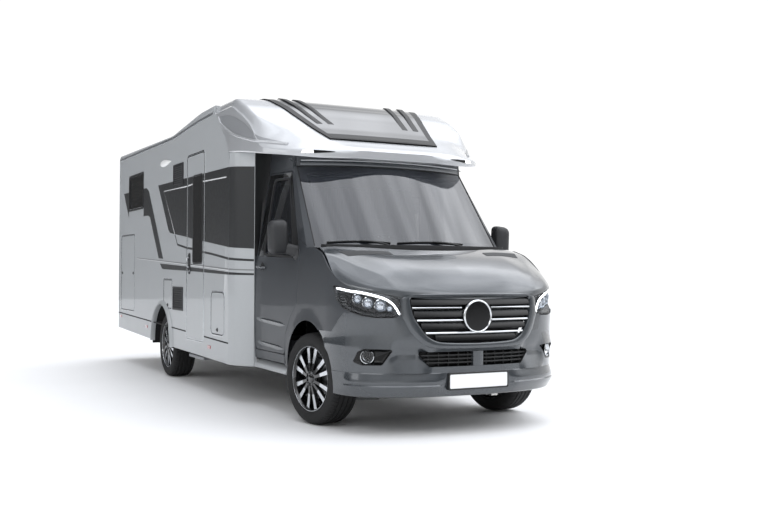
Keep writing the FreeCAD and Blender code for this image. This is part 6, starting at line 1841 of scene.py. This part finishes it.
for (points, faces), side, word in zip(halves, (1, -1), ("left", "right")):
    piece = raw("half_bumper_" + word, (points, faces), slate_paint)
    cutters = [prism([(side * a, b) for a, b in LAMP], "x", 3.05, 4.0),
               prism([(side * a, b) for a, b in GRILLE_HALF] + [(-side * 0.2, 0.652), (-side * 0.2, 1.072)],
                     "x", 3.30, 4.0),
               prism([(a, b) for a, b in LOWER_GRILLE], "x", 3.40, 4.0),
               prism([(side * a, b) for a, b in FOG], "x", 3.25, 4.0),
               prism([(2.9, 0.777), (3.154, 0.777), (3.300, 0.923), (3.40, 0.96), (3.40, 1.2), (2.9, 1.2)],
                     "y", side * 0.93, side * 1.2),
               prism([(side * 0.60, 1.030), (side * 1.2, 1.030), (side * 1.2, 1.2), (side * 0.60, 1.2)], "x",
                     3.0, 4.0),
               prism([(side * 0.925, 0.925), (side * 1.2, 0.925), (side * 1.2, 1.2), (side * 0.925, 1.2)],
                     "x", 3.0, 4.0),
               prism(front_arch, "y", side * 0.7, side * 1.2)]
    cut(piece, cutters)
    for v in piece.data.vertices:
        push = bumper_out(abs(v.co.y), v.co.z) * plan_normal(abs(v.co.y))
        v.co += Vector((push.x, side * push.y, 0))
    dressed(piece, "body", 0.0015, 42)
    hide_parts("front_bumper")
    # The wing wears the slate with its shade painted in.
    wing = raw("wing_" + word, nose_solid(wing_plan, wing_rows, 0.004, side, wing_out), slate_with_painted_shade)
    cut(wing, [prism(wing_top, "y", side * 0.7, side * 1.2), prism(front_arch, "y", side * 0.7, side * 1.2),
               prism(DOOR_SHUT, "y", side * 0.7, side * 1.2),
               prism(BUMPER_JOINT, "y", side * 0.5, side * 1.2),
               prism([(side * a, b) for a, b in LAMP], "x", 3.05, 4.0)])
    dressed(wing, "body", 0.0015, 42)
    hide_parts("fenders")

# Grille: gloss black blades with bright strips in a body-colour frame, in front of a mesh.
# A plain black boss with a bright ring stands in the middle.
# Polished black plastic: deep black blades with one clean highlight each.
gloss_black = finish("polished_black_pc_abs", "060607", "090A0B", 0.26, 0.0, 3.0, 0.01,
                     **{"Specular IOR Level": 0.35})
# Matt polypropylene: the dark depth behind the blades.
mesh_black = finish("matt_black_pp_mesh", "0D0E0F", "151617", 0.6, 0.0, 2.0, 0.05)
# Chrome plate: thin lines that catch the brightest part of the studio.
bright_trim = finish("bright_chrome_plating", "DADCDE", "CFD2D5", 0.06, 1.0, 60.0, 0.003)
OPENING = [(0.0, 1.046), (0.30, 1.045), (0.50, 1.046), (0.532, 1.040), (0.547, 1.012), (0.545, 0.985),
           (0.528, 0.902), (0.482, 0.819), (0.425, 0.748), (0.330, 0.706), (0.20, 0.697), (0.0, 0.693)]


def full_loop(half, steps=5):
    """Closed smooth outline from its half, middle top round to middle bottom."""
    line = [tuple(p) for p in smooth_line(half, steps)]
    return line + [(-a, b) for a, b in reversed(line[1:-1])]


def nose_at(y, z, out=0.0):
    """Point of the nose surface at any half width, left or right."""
    side = 1 if y >= 0 else -1
    return nose_point(nose_t(abs(y), z), z, out, side)


def ribbon(outlines, outs):
    """Surface through outlines of equal count on the nose, each at its own depth."""
    rows = []
    for outline, out in zip(outlines, outs):
        row = [nose_at(a, b, out) for a, b in outline]
        rows.append(row + row[:1])
    return grid(rows)


def between(outer, inner, share):
    """Outline part of the way from one to another."""
    return [(a + (c - a) * share, b + (e - b) * share) for (a, b), (c, e) in zip(outer, inner)]


outer_loop, inner_loop = full_loop(GRILLE_HALF), full_loop(OPENING)
small = between(outer_loop, inner_loop, 0.03)
frame_rows = [(small, -0.012), (small, 0.0), (between(outer_loop, inner_loop, 0.10), 0.004),
              (between(outer_loop, inner_loop, 0.5), 0.006), (between(outer_loop, inner_loop, 0.90), 0.004),
              (inner_loop, 0.0), (inner_loop, -0.030)]
frame_piece = stock("grille_frame", ribbon([r[0] for r in frame_rows], [r[1] for r in frame_rows]),
                    slate_paint, "body", 0, 50)
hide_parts("grille")
back_rows = []
for i in range(11):
    back_rows.append([nose_at(a * i / 10, 0.87 + (b - 0.87) * i / 10, -0.055) for a,
                      b in inner_loop + inner_loop[:1]])
stock("grille_mesh_backing", grid(back_rows), mesh_black, "body", 0)
blades, strips = [], []


def opening_half(z):
    """Half width of the opening at height z."""
    rows = [p for p in OPENING if p[0] > 0.3]
    for (a, b), (c, e) in zip(rows, rows[1:]):
        if e <= z <= b:
            return a + (c - a) * (b - z) / (b - e)
    return 0.32


for z in (1.010, 0.920, 0.830, 0.742):
    half = min(opening_half(z), opening_half(z - 0.02)) - 0.004
    rows = []
    for up, out in ((0.034, -0.040), (0.026, -0.022), (0.004, -0.008), (-0.026, -0.004), (-0.034, -0.012),
                    (-0.036, -0.040)):
        ys = [-half + 2 * half * k / 40 for k in range(41)]
        rows.append([nose_at(y, z + up, out) for y in ys])
    blades.append(grid(rows))
for z in (0.958, 0.866, 0.772):
    half = opening_half(z) - 0.006
    for a, b in ((-half, -0.132), (0.132, half)) if abs(z - 0.895) < 0.10 else ((-half, half),):
        rows = []
        for up, out in ((0.008, -0.016), (0.008, -0.003), (0.004, 0.001), (-0.004, 0.0), (-0.006, -0.016)):
            rows.append([nose_at(a + (b - a) * k / 24, z + up, out) for k in range(25)])
        strips.append(grid(rows))
stock("grille_blades", merged(blades), gloss_black, "body", 0, 50)
stock("grille_bright_strips", merged(strips), bright_trim, "body", 0.0006, 40)
BOSS_SPOT = (3.674, 0.0, 0.895)
boss = turn([(0.006, 0.0), (0.008, 0.06), (0.004, 0.112), (-0.03, 0.118)], BOSS_SPOT, 72, axis=(1, 0, 0),
            closed=False)
stock("grille_boss", boss, gloss_black, "body", 0, 60)
ring_shape = turn([(-0.004, 0.109), (0.010, 0.112), (0.014, 0.118), (0.010, 0.125), (-0.01, 0.128)],
                  BOSS_SPOT, 72, axis=(1, 0, 0), closed=False)
stock("grille_boss_ring", ring_shape, bright_trim, "body", 0, 60)

# Bumper openings: black grained inserts behind the painted skin.
# The lower grille has slats and ribs with a body-colour divider, the ends hold fog lamps.
mesh_rows = []
for i in range(9):
    mesh_rows.append([nose_at(a * i / 8, 0.576 + (b - 0.576) * i / 8, -0.050) for a,
                      b in LOWER_GRILLE + LOWER_GRILLE[:1]])
slats = [grid(mesh_rows)]
slats.append(ribbon([LOWER_GRILLE, LOWER_GRILLE], [-0.001, -0.050]))
for z in (0.549, 0.577, 0.605):
    half = 0.418 + (0.505 - 0.418) * (z - 0.521) / (0.632 - 0.521) - 0.004
    rows = []
    for up, out in ((0.005, -0.040), (0.006, -0.014), (0.0, -0.009), (-0.006, -0.014), (-0.006, -0.040)):
        rows.append([nose_at(-half + 2 * half * k / 40, z + up, out) for k in range(41)])
    slats.append(grid(rows))
for k in range(11):
    y = -0.42 + 0.084 * k
    rows = []
    for shift, out in ((-0.003, -0.045), (-0.003, -0.020), (0.003, -0.020), (0.003, -0.045)):
        rows.append([nose_at(y + shift, 0.525 + 0.10 * j / 4, out) for j in range(5)])
    slats.append(grid(rows))
stock("lower_grille_insert", merged(slats), mesh_black, "body", 0, 40)
divider = []
for up, out in ((-0.052, -0.03), (-0.044, -0.004), (-0.036, 0.0), (0.036, 0.0), (0.044, -0.004),
                (0.052, -0.03)):
    divider.append([nose_at(up, 0.522 + 0.110 * j / 6, out) for j in range(7)])
stock("lower_grille_divider", grid(divider), slate_paint, "body", 0, 40)
# Hard-coated polycarbonate: almost invisible but for its sharp reflections.
clear_lens = bpy.data.materials.new("hard_coated_clear_pc_lens")
glazing(clear_lens, "F2F4F6", 0.01, 0.97, 1.0)
# Vacuum-metallised bowl: silver that repeats the light in small curved patches.
reflector = finish("vacuum_metallised_reflector", "D8DADC", "C4C7CA", 0.08, 1.0, 4.0, 0.02)
FOG_MID_Y, FOG_MID_Z = 0.80, 0.594
for word, side in SIDES:
    bezel = []
    for share, out in ((1.0, -0.002), (0.96, -0.004), (0.80, -0.030), (0.55, -0.042), (0.02, -0.045)):
        shrunk = [(FOG_MID_Y + (a - FOG_MID_Y) * share, FOG_MID_Z + (b - FOG_MID_Z) * share) for a, b in FOG]
        bezel.append([nose_point(nose_t(y, z), z, out, side) for y, z in shrunk + shrunk[:1]])
    stock("fog_lamp_bezel_" + word, grid(bezel), gloss_black, "body", 0, 35)
    centre = nose_point(nose_t(0.845, 0.596), 0.596, -0.030, side)
    facing = (0.86, side * 0.5, 0.02)
    cup = turn([(0.012, 0.052), (0.014, 0.047), (0.002, 0.042), (-0.018, 0.030), (-0.026, 0.0005)], centre,
               40, axis=facing, closed=False)
    stock("fog_lamp_reflector_" + word, cup, reflector, "body", 0, 50)
    lens = turn([(0.012, 0.0005), (0.011, 0.025), (0.008, 0.047)], centre, 40, axis=facing, closed=False)
    stock("fog_lamp_lens_" + word, lens, clear_lens, "body", 0, 80)

# Headlamps: a clear moulded lens over a dark housing, clipped in and sealed to the wing.
# Behind it are four bright projector cells, a lit guide along the top and a side marker.
# Satin black moulding: it makes the bright cells stand out.
housing_black = finish("satin_black_lamp_housing", "2A2C2F", "1C1E20", 0.25, 0.4, 3.0, 0.03)
# Lit light guide: an even cool white line.
led_white = lamp_light(bpy.data.materials.new("lit_white_light_guide"), "F6FAFF", 7.0, 3.0)
# Thick polished lens: a silvery bead with a dark centre.
cell_glass = finish("polished_projector_lens", "C9CED4", "B4BAC2", 0.03, 0.85, 6.0, 0.02)
# Middle and radius of each cell, as seen from the front.
LAMP_CELLS = ((0.905, 1.026, 0.030), (0.845, 0.998, 0.034), (0.765, 0.978, 0.036), (0.700, 0.955, 0.022))
lamp_tz = [(nose_t(a, b), b) for a, b in LAMP]
LAMP_MID = (sum(p[0] for p in lamp_tz) / len(lamp_tz), sum(p[1] for p in lamp_tz) / len(lamp_tz))


def lamp_rows(shares_outs, side):
    """Surface over the lamp's outline; a row is a share of the way out from its middle, at its own depth."""
    rows = []
    for share, out in shares_outs:
        row = [nose_point(LAMP_MID[0] + (t - LAMP_MID[0]) * share, LAMP_MID[1] + (z - LAMP_MID[1]) * share,
                          out, side)
               for t, z in lamp_tz]
        rows.append(row + row[:1])
    return grid(rows)


for word, side in SIDES:
    lens = stock("headlamp_lens_" + word,
                 lamp_rows([(0.985, -0.006), (0.985, -0.0015), (0.93, 0.0008), (0.8, 0.001), (0.6, 0.001),
                            (0.4, 0.001), (0.2, 0.001), (0.01, 0.001)], side), clear_lens, "body",
                            0, 50)
    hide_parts("lamps")
    stock("headlamp_housing_" + word,
          lamp_rows([(0.999, -0.001), (0.985, -0.007), (0.95, -0.030), (0.93, -0.055), (0.7, -0.065),
                     (0.35, -0.065), (0.01, -0.065)], side), housing_black, "body", 0, 40)
    guide_line = [(0.980, 1.104), (0.937, 1.087), (0.872, 1.074), (0.785, 1.050), (0.721, 1.026),
                  (0.676, 0.992), (0.645, 0.948), (0.630, 0.914)]
    path = [tuple(nose_point(nose_t(a, b), b, -0.014, side)) for a, b in smooth_line(guide_line, 5)]
    stock("headlamp_light_guide_" + word, tube(path, 0.0062, 10), led_white, "body", 0, 60)
    shelf = []
    for drop, out in ((0.010, -0.012), (-0.012, -0.016), (-0.016, -0.05)):
        shelf.append([nose_point(nose_t(a, b), b + drop, out, side) for a,
                      b in smooth_line(guide_line[:6], 5)])
    stock("headlamp_top_shelf_" + word, grid(shelf), reflector, "body", 0, 50)
    for n, (a, b, radius) in enumerate(LAMP_CELLS):
        centre = nose_point(nose_t(a, b), b, -0.046, side)
        facing = (0.92, side * 0.39, 0.0)
        cup = turn([(0.020, radius * 1.32), (0.024, radius * 1.22), (0.004, radius * 1.12),
                    (-0.008, radius * 1.02)], centre, 32, axis=facing, closed=False)
        stock("headlamp_cup_" + word + "_" + str(n + 1), cup, reflector, "body", 0, 40)
        bulb = turn([(-0.006, radius * 1.04), (0.004, radius * 0.95), (0.012, radius * 0.6), (0.015, 0.0005)],
                    centre, 32, axis=facing, closed=False)
        stock("headlamp_cell_" + word + "_" + str(n + 1), bulb, cell_glass, "body", 0, 80)
    ribs = []
    for k in range(5):
        z = 0.985 + 0.021 * k
        a = 0.966 + 0.0024 * k
        ribs.append(grid([[nose_point(nose_t(a + s, z + up), z + up, out, side)
                           for s in (-0.022, -0.011, 0.0)] for up,
                           out in ((0.007, -0.016), (0.004, -0.010), (-0.004, -0.010), (-0.007, -0.016))]))
    stock("headlamp_side_marker_" + word, merged(ribs), reflector, "body", 0, 40)
    wedge = []
    for up, out in ((0.0, -0.012), (0.012, -0.014), (0.030, -0.05)):
        wedge.append([nose_point(nose_t(a, b + up), b + up, out, side) for a,
                      b in smooth_line([(0.952, 0.964), (0.915, 0.938), (0.869, 0.914), (0.782, 0.898),
                                        (0.665, 0.900)], 5)])
    stock("headlamp_lower_wing_" + word, grid(wedge), housing_black, "body", 0, 40)
    # Seal line between lens and paint.
    loop = [tuple(nose_point(t, z, -0.0012, side)) for t, z in lamp_tz]
    stock("headlamp_seal_" + word, tube(loop + loop[:1], 0.0026, 6), seam_rubber, "body", 0,
          80)

# Registration plates: bare pressed aluminium with white reflective sheet, in black holders.
# Both are left blank.
# Reflective sheet: flat white, a little brighter than paint.
plate_white = finish("white_reflective_plate_sheet", "F1F2F2", "E9EBEB", 0.35, 0.0, 1.2, 0.02,
                     **{"Coat Weight": 0.4})
# Plain ABS: a thin dark frame round the plate.
holder_black = finish("black_abs_plate_holder", "121314", "191A1B", 0.4, 0.0, 1.6, 0.05)


def number_plate(name, x, z, way, half=0.26, tall=0.055):
    """Plate in a raised frame; way is +1 facing forwards and -1 facing back."""
    outer = rounded([(-half - 0.010, z - tall - 0.010), (half + 0.010, z - tall - 0.010),
                     (half + 0.010, z + tall + 0.010), (-half - 0.010, z + tall + 0.010)], 0.010, 5)
    inner = rounded([(-half + 0.002, z - tall + 0.002), (half - 0.002, z - tall + 0.002),
                     (half - 0.002, z + tall - 0.002), (-half + 0.002, z + tall - 0.002)], 0.010, 5)
    rows = []
    for outline, depth in ((outer, -0.020), (outer, 0.003), (between(outer, inner, 0.25), 0.0055),
                           (between(outer, inner, 0.75), 0.0055), (inner, 0.003)):
        row = [(x + way * depth, a, b) for a, b in outline]
        rows.append(row + row[:1])
    stock(name + "_holder", grid(rows), holder_black, "body", 0, 40)
    face = [(x + way * 0.0032, a, b) for a, b in between(outer, inner, 1.02)]
    stock(name + "_plate", (face, [tuple(range(len(face)))]), plate_white, "body", 0)


number_plate("front_number_plate", 3.6935, 0.409, 1)
carrier = grid([[(x, y, z) for y in (-0.268, 0.268)] for x,
                z in ((3.660, 0.472), (3.688, 0.470), (3.688, 0.348), (3.660, 0.346))])
stock("front_plate_carrier", carrier, holder_black, "body", 0, 30)

# Cap underside: a leaning fascia between the lip and the windscreen head, painted dark as shade.
# A bead runs along the head of the glass, and gloss black fins taper inwards from the marker lamps.
FASCIA_HALF = 0.872
fascia_rows = []
for share in [i / 6 for i in range(7)]:
    row = []
    for k in range(41):
        y = -0.872 + 1.744 * k / 40
        top_x = 2.300 - 0.33 * (abs(y) / FASCIA_HALF) ** 2.2
        foot_x = screen_x(min(abs(y), SCREEN_TOP_Y), SCREEN_TOP_Z, -0.012) - 0.030
        bow = 0.020 * sin(pi * share)
        row.append((top_x + (foot_x - top_x) * share - bow, y, 2.226 + (2.190 - 2.226) * share + bow * 0.4))
    fascia_rows.append(row)
# Gel coat with its shade painted in: mid grey, duller than the lip above it.
fascia_painted_shade = paint("gel_coat_fascia_painted_shade", "66696D", "7C8085", 3.0, 0.3, 0.36, 300.0)
stock("cap_fascia", grid(fascia_rows), fascia_painted_shade, "body", 0, 60)
rim_path = []
for k in range(41):
    y = -0.80 + 1.60 * k / 40
    rim_path.append((screen_x(abs(y), SCREEN_TOP_Z, -0.012) - 0.012, y, 2.203))
stock("windscreen_head_rim", tube(rim_path, 0.006, 8), cap_silver, "body", 0, 60)
fin_shapes = []
for side in (1, -1):
    rows = []
    for share in [i / 14 for i in range(15)]:
        y = 0.768 - 0.190 * share
        middle, tall = 2.259 + 0.004 * share, 0.015 * (1 - share) ** 0.6
        row = []
        for up in (-1.0, -0.3, 0.3, 1.0):
            spot = cap_tree.ray_cast(Vector((3.0, side * y, middle + tall * up)), Vector((-1, 0, 0)))[0]
            row.append(spot + Vector((0.0025, 0, 0)))
        rows.append(row)
    fin_shapes.append(grid(rows))
stock("marker_fins", merged(fin_shapes), trim_black, "body", 0, 60)

# Dashboard: grained soft-touch moulding with a hooded instrument housing and a screen.
# The wheel has a leather-covered rim and three spokes; it turns on the column.
# Soft-touch plastic: dark, dry and finely grained.
dash_grain = finish("grained_soft_touch_tpo", "26282A", "2E3032", 0.62, 0.0, 1.6, 0.16)
dash_profile = [(2.200, 0.995), (2.195, 1.060), (2.215, 1.150), (2.245, 1.225), (2.275, 1.262),
                (2.330, 1.290), (2.420, 1.318), (2.545, 1.338), (2.556, 1.330), (2.556, 0.995)]
rows = []
for k in range(41):
    y = -0.788 + 1.576 * k / 40
    hood = 0.030 * math_bell((y - 0.38) / 0.24)
    rows.append([(x - 0.02 * math_bell((y - 0.38) / 0.3) * (1 if z > 1.1 and x < 2.3 else 0), y,
                  z + (hood if 2.22 < x < 2.40 else 0)) for x,
                  z in [tuple(p) for p in smooth_line(dash_profile[:8], 4)] + dash_profile[8:]])
shape = grid(rows)
wide = len(rows[0])
shape[1].append(tuple(range(wide)))
shape[1].append(tuple(40 * wide + i for i in range(wide)))
dash = stock("dashboard_moulding", shape, dash_grain, "body", 0, 50)
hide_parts("dashboard")
WHEEL_AXIS = Vector((-sin(radians(60.0)), 0, cos(radians(60.0))))
WHEEL_SPOT = Vector((2.080, 0.380, 1.180))
shroud = turn([(0.04, 0.0005), (0.04, 0.040), (0.24, 0.048), (0.30, 0.046)], WHEEL_SPOT, 32, axis=-WHEEL_AXIS,
              closed=False)
shroud_piece = stock("column_shroud", shroud, dash_grain, "body", 0, 50)
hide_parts("dashboard")
# Switched-off screen: a flat dark mirror.
glow_screen = finish("switched_off_screen_glass", "0A0B0D", "0D0E10", 0.08, 0.0, 5.0, 0.01,
                     **{"Coat Weight": 1.0})
stock("dashboard_screen", merged([block(2.255, 2.275, -0.125, 0.125, 1.285, 1.385)]), glow_screen, "body",
      0.004)
vents = []
for y in (-0.70, -0.20, 0.20, 0.70):
    for k in range(4):
        vents.append(block(2.196, 2.216, y - 0.06, y + 0.06, 1.108 + 0.014 * k, 1.113 + 0.014 * k))
stock("dashboard_vents", merged(vents), gloss_black, "body", 0.001)
# Stitched leather: black with a low, broken sheen.
leather = finish("stitched_black_leather", "1B1C1D", "222324", 0.5, 0.0, 1.2, 0.14)
tilt = WHEEL_AXIS.to_track_quat("Z", "Y").to_matrix().to_4x4()
place = Matrix.Translation(WHEEL_SPOT) @ tilt
RIM_PATH_R, RIM_THICK_R = 0.185, 0.0130
ring_path = [(RIM_PATH_R * cos(2 * pi * k / 72), RIM_PATH_R * sin(2 * pi * k / 72), 0.0) for k in range(73)]
stock("steering_wheel_rim", moved(tube(ring_path, RIM_THICK_R, 14), place), leather, "steering_wheel",
      0, 60)
hub = turn([(0.012, 0.0005), (0.013, 0.045), (0.004, 0.062), (-0.020, 0.056), (-0.038, 0.040)], (0, 0, 0), 40,
           axis=(0, 0, 1), closed=False)
spokes = [hub]
for angle in (90.0, 200.0, 340.0):
    t = radians(angle)
    path = [(0.05 * cos(t), 0.05 * sin(t), -0.004), (0.12 * cos(t), 0.12 * sin(t), -0.010),
            (0.178 * cos(t), 0.178 * sin(t), -0.004)]
    rows = []
    across = Vector((-sin(t), cos(t), 0))
    for (x, y, z), half in zip(path, (0.024, 0.015, 0.020)):
        spot = Vector((x, y, z))
        rows.append([spot + across * a * half + Vector((0, 0, b)) for a,
                     b in ((-1, 0), (-0.8, 0.006), (0.8, 0.006), (1, 0), (0.8, -0.006), (-0.8, -0.006),
                           (-1, 0))])
    spokes.append(grid(rows))
hub_piece = stock("steering_wheel_hub", moved(merged(spokes), place), dash_grain, "steering_wheel",
                  0.001, 40)
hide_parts("steering_wheel")

# Cab seats: foam cushions under woven grey cloth on steel pedestals, with loose headrests.
# Fabric is drawn at 3 mm a thread pair, as the real one is finer than a pixel.
# Woven cloth: mid grey, rough and without shine.
seat_cloth = finish("woven_grey_seat_cloth", "4A4C50", "5A5C60", 0.9, 0.0, 3.0, 0.25)
SEAT_FLOOR = 0.6415


def cushion(outline, y0, y1, edge=0.035):
    """Pillow through a side-view outline (x, z), its edges rolled."""
    loop = rounded([(x, z, edge) for x, z in outline], edge, 5)
    cx = sum(p[0] for p in loop) / len(loop)
    cz = sum(p[1] for p in loop) / len(loop)
    rows = []
    for share, y in ((0.02, 0.0), (0.70, 0.0), (0.86, 0.006), (0.95, 0.018), (0.985, 0.032), (1.0, 0.06),
                     (1.0, 0.5)):
        rows.append((share, y0 + y if y < 0.5 else (y0 + y1) / 2))
    full = rows + [(share, y0 + y1 - y) for share, y in reversed(rows[:-1])]
    shape = grid([[(cx + (x - cx) * share, y, cz + (z - cz) * share) for x, z in loop + loop[:1]] for share,
                  y in full])
    return shape


for word, side in SIDES:
    y0, y1 = sorted((side * 0.172, side * 0.688))
    z = SEAT_FLOOR
    base = stock("seat_pedestal_" + word, block(1.42, 1.80, y0 + 0.06, y1 - 0.06, z, z + 0.225), frame_coat,
                 "body", 0.01)
    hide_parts("seats")
    for name, outline, inset in (("cushion", [(1.335, z + 0.222), (1.850, z + 0.222), (1.878, z + 0.345),
                                              (1.335, z + 0.325)], 0.0),
                                 ("back", [(1.380, z + 0.330), (1.478, z + 0.345), (1.332, z + 0.935),
                                           (1.232, z + 0.918)], 0.02),
                                 ("headrest", [(1.316, z + 0.945), (1.304, z + 1.115), (1.228, z + 1.115),
                                               (1.250, z + 0.945)], 0.13)):
        soft = stock("seat_" + name + "_" + word, cushion(outline, y0 + inset, y1 - inset), seat_cloth,
                     "body", 0, 60)
    posts = [tube([(1.285, (y0 + y1) / 2 + s, z + 0.90), (1.282, (y0 + y1) / 2 + s, z + 0.96)], 0.006, 10)
             for s in (-0.06, 0.06)]
    stock("seat_posts_" + word, merged(posts), rail_bright, "body", 0)

# Cab lining: a heavy grey curtain hangs in even folds behind the seats and closes the cab off.
# Sun visors fold flat under the headliner.
# Heavy curtain cloth: grey folds that swallow light.
curtain_cloth = finish("pleated_grey_curtain_cloth", "55585C", "63666A", 0.95, 0.0, 4.0, 0.3)
CURTAIN_X, CURTAIN_FOOT_Z, CURTAIN_TALL, CURTAIN_FOLD, CURTAIN_INSET = 1.200, 0.70, 1.36, 0.012, 0.075
rows = []
for z in [CURTAIN_FOOT_Z + CURTAIN_TALL * i / 10 for i in range(11)]:
    half = side_y(max(z, CAB_MID_Z)) - CURTAIN_INSET
    rows.append([(CURTAIN_X + CURTAIN_FOLD * sin(2 * pi * k / 5), -half + 2 * half * k / 120, z)
                 for k in range(121)])
stock("cab_curtain", grid(rows), curtain_cloth, "body", 0, 80)
for word, side in SIDES:
    y0, y1 = sorted((side * 0.16, side * 0.66))
    outline = [(1.800, 2.085), (1.985, 2.070), (1.985, 2.086), (1.800, 2.101)]
    visor = stock("sun_visor_" + word, cushion(outline, y0, y1, 0.006), dash_grain, "body", 0, 50)

# Tail lamps: upright clusters with red, amber and clear chambers under one outer lens.
# They are screwed into the rear corner mouldings.
# Amber acrylic: warm orange with a wet shine.
amber = finish("amber_indicator_lens", "C4620D", "D07014", 0.12, 0.0, 2.0, 0.05, **{"Coat Weight": 1.0})
# Red acrylic: clear, saturated red over a dark chamber.
tail_red = glazing(bpy.data.materials.new("red_moulded_pmma"), "B0121A", 0.05, 0.15, 1.0)
# Clear acrylic: bright and see-through, with the chambers showing behind.
tail_clear = glazing(bpy.data.materials.new("clear_moulded_pmma"), "E6E8EA", 0.03, 0.75, 1.0)
# Lowest and highest point of each chamber and its colour, from the bottom up.
CHAMBERS = ((0.728, 0.775, tail_clear), (0.790, 0.905, tail_red), (0.920, 1.010, amber),
            (1.025, 1.130, tail_red))
# Share of the outline and station of each row.
TAIL_HOUSING = ((1.0, -3.6003), (1.0, -3.618), (0.93, -3.621), (0.90, -3.608), (0.02, -3.608))
TAIL_LENS = ((0.985, -3.618), (0.97, -3.634), (0.92, -3.640), (0.5, -3.6415), (0.02, -3.642))


def tail_loop(outline, side, share, x):
    """The lamp's outline at a share of its size, set at x."""
    mid_y = sum(p[0] for p in outline) / len(outline)
    mid_z = sum(p[1] for p in outline) / len(outline)
    return [(x, side * (mid_y + (a - mid_y) * share), mid_z + (b - mid_z) * share) for a,
            b in outline + outline[:1]]


for word, side in SIDES:
    outer = rounded([(0.925, 0.700, 0.02), (1.108, 0.700, 0.02), (1.108, 1.160, 0.03), (0.970, 1.160, 0.03)],
                    0.02, 6)
    housing = grid([tail_loop(outer, side, share, x) for share, x in TAIL_HOUSING])
    body_piece = stock("tail_lamp_housing_" + word, housing, housing_black, "body", 0, 40)
    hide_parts("lamps")
    lens = grid([tail_loop(outer, side, share, x) for share, x in TAIL_LENS])
    stock("tail_lamp_lens_" + word, lens, tail_clear, "body", 0, 60)
    for n, (low, high, material) in enumerate(CHAMBERS):
        y_low = 0.925 + 0.045 * (low - 0.70) / 0.46 + 0.022
        chamber = block(-3.632, -3.610, *sorted((side * y_low, side * 1.086)), low, high)
        stock("tail_lamp_chamber_" + word + "_" + str(n + 1), chamber, material, "body", 0.006,
              30)
number_plate("rear_number_plate", -3.6085, 1.010, -1)
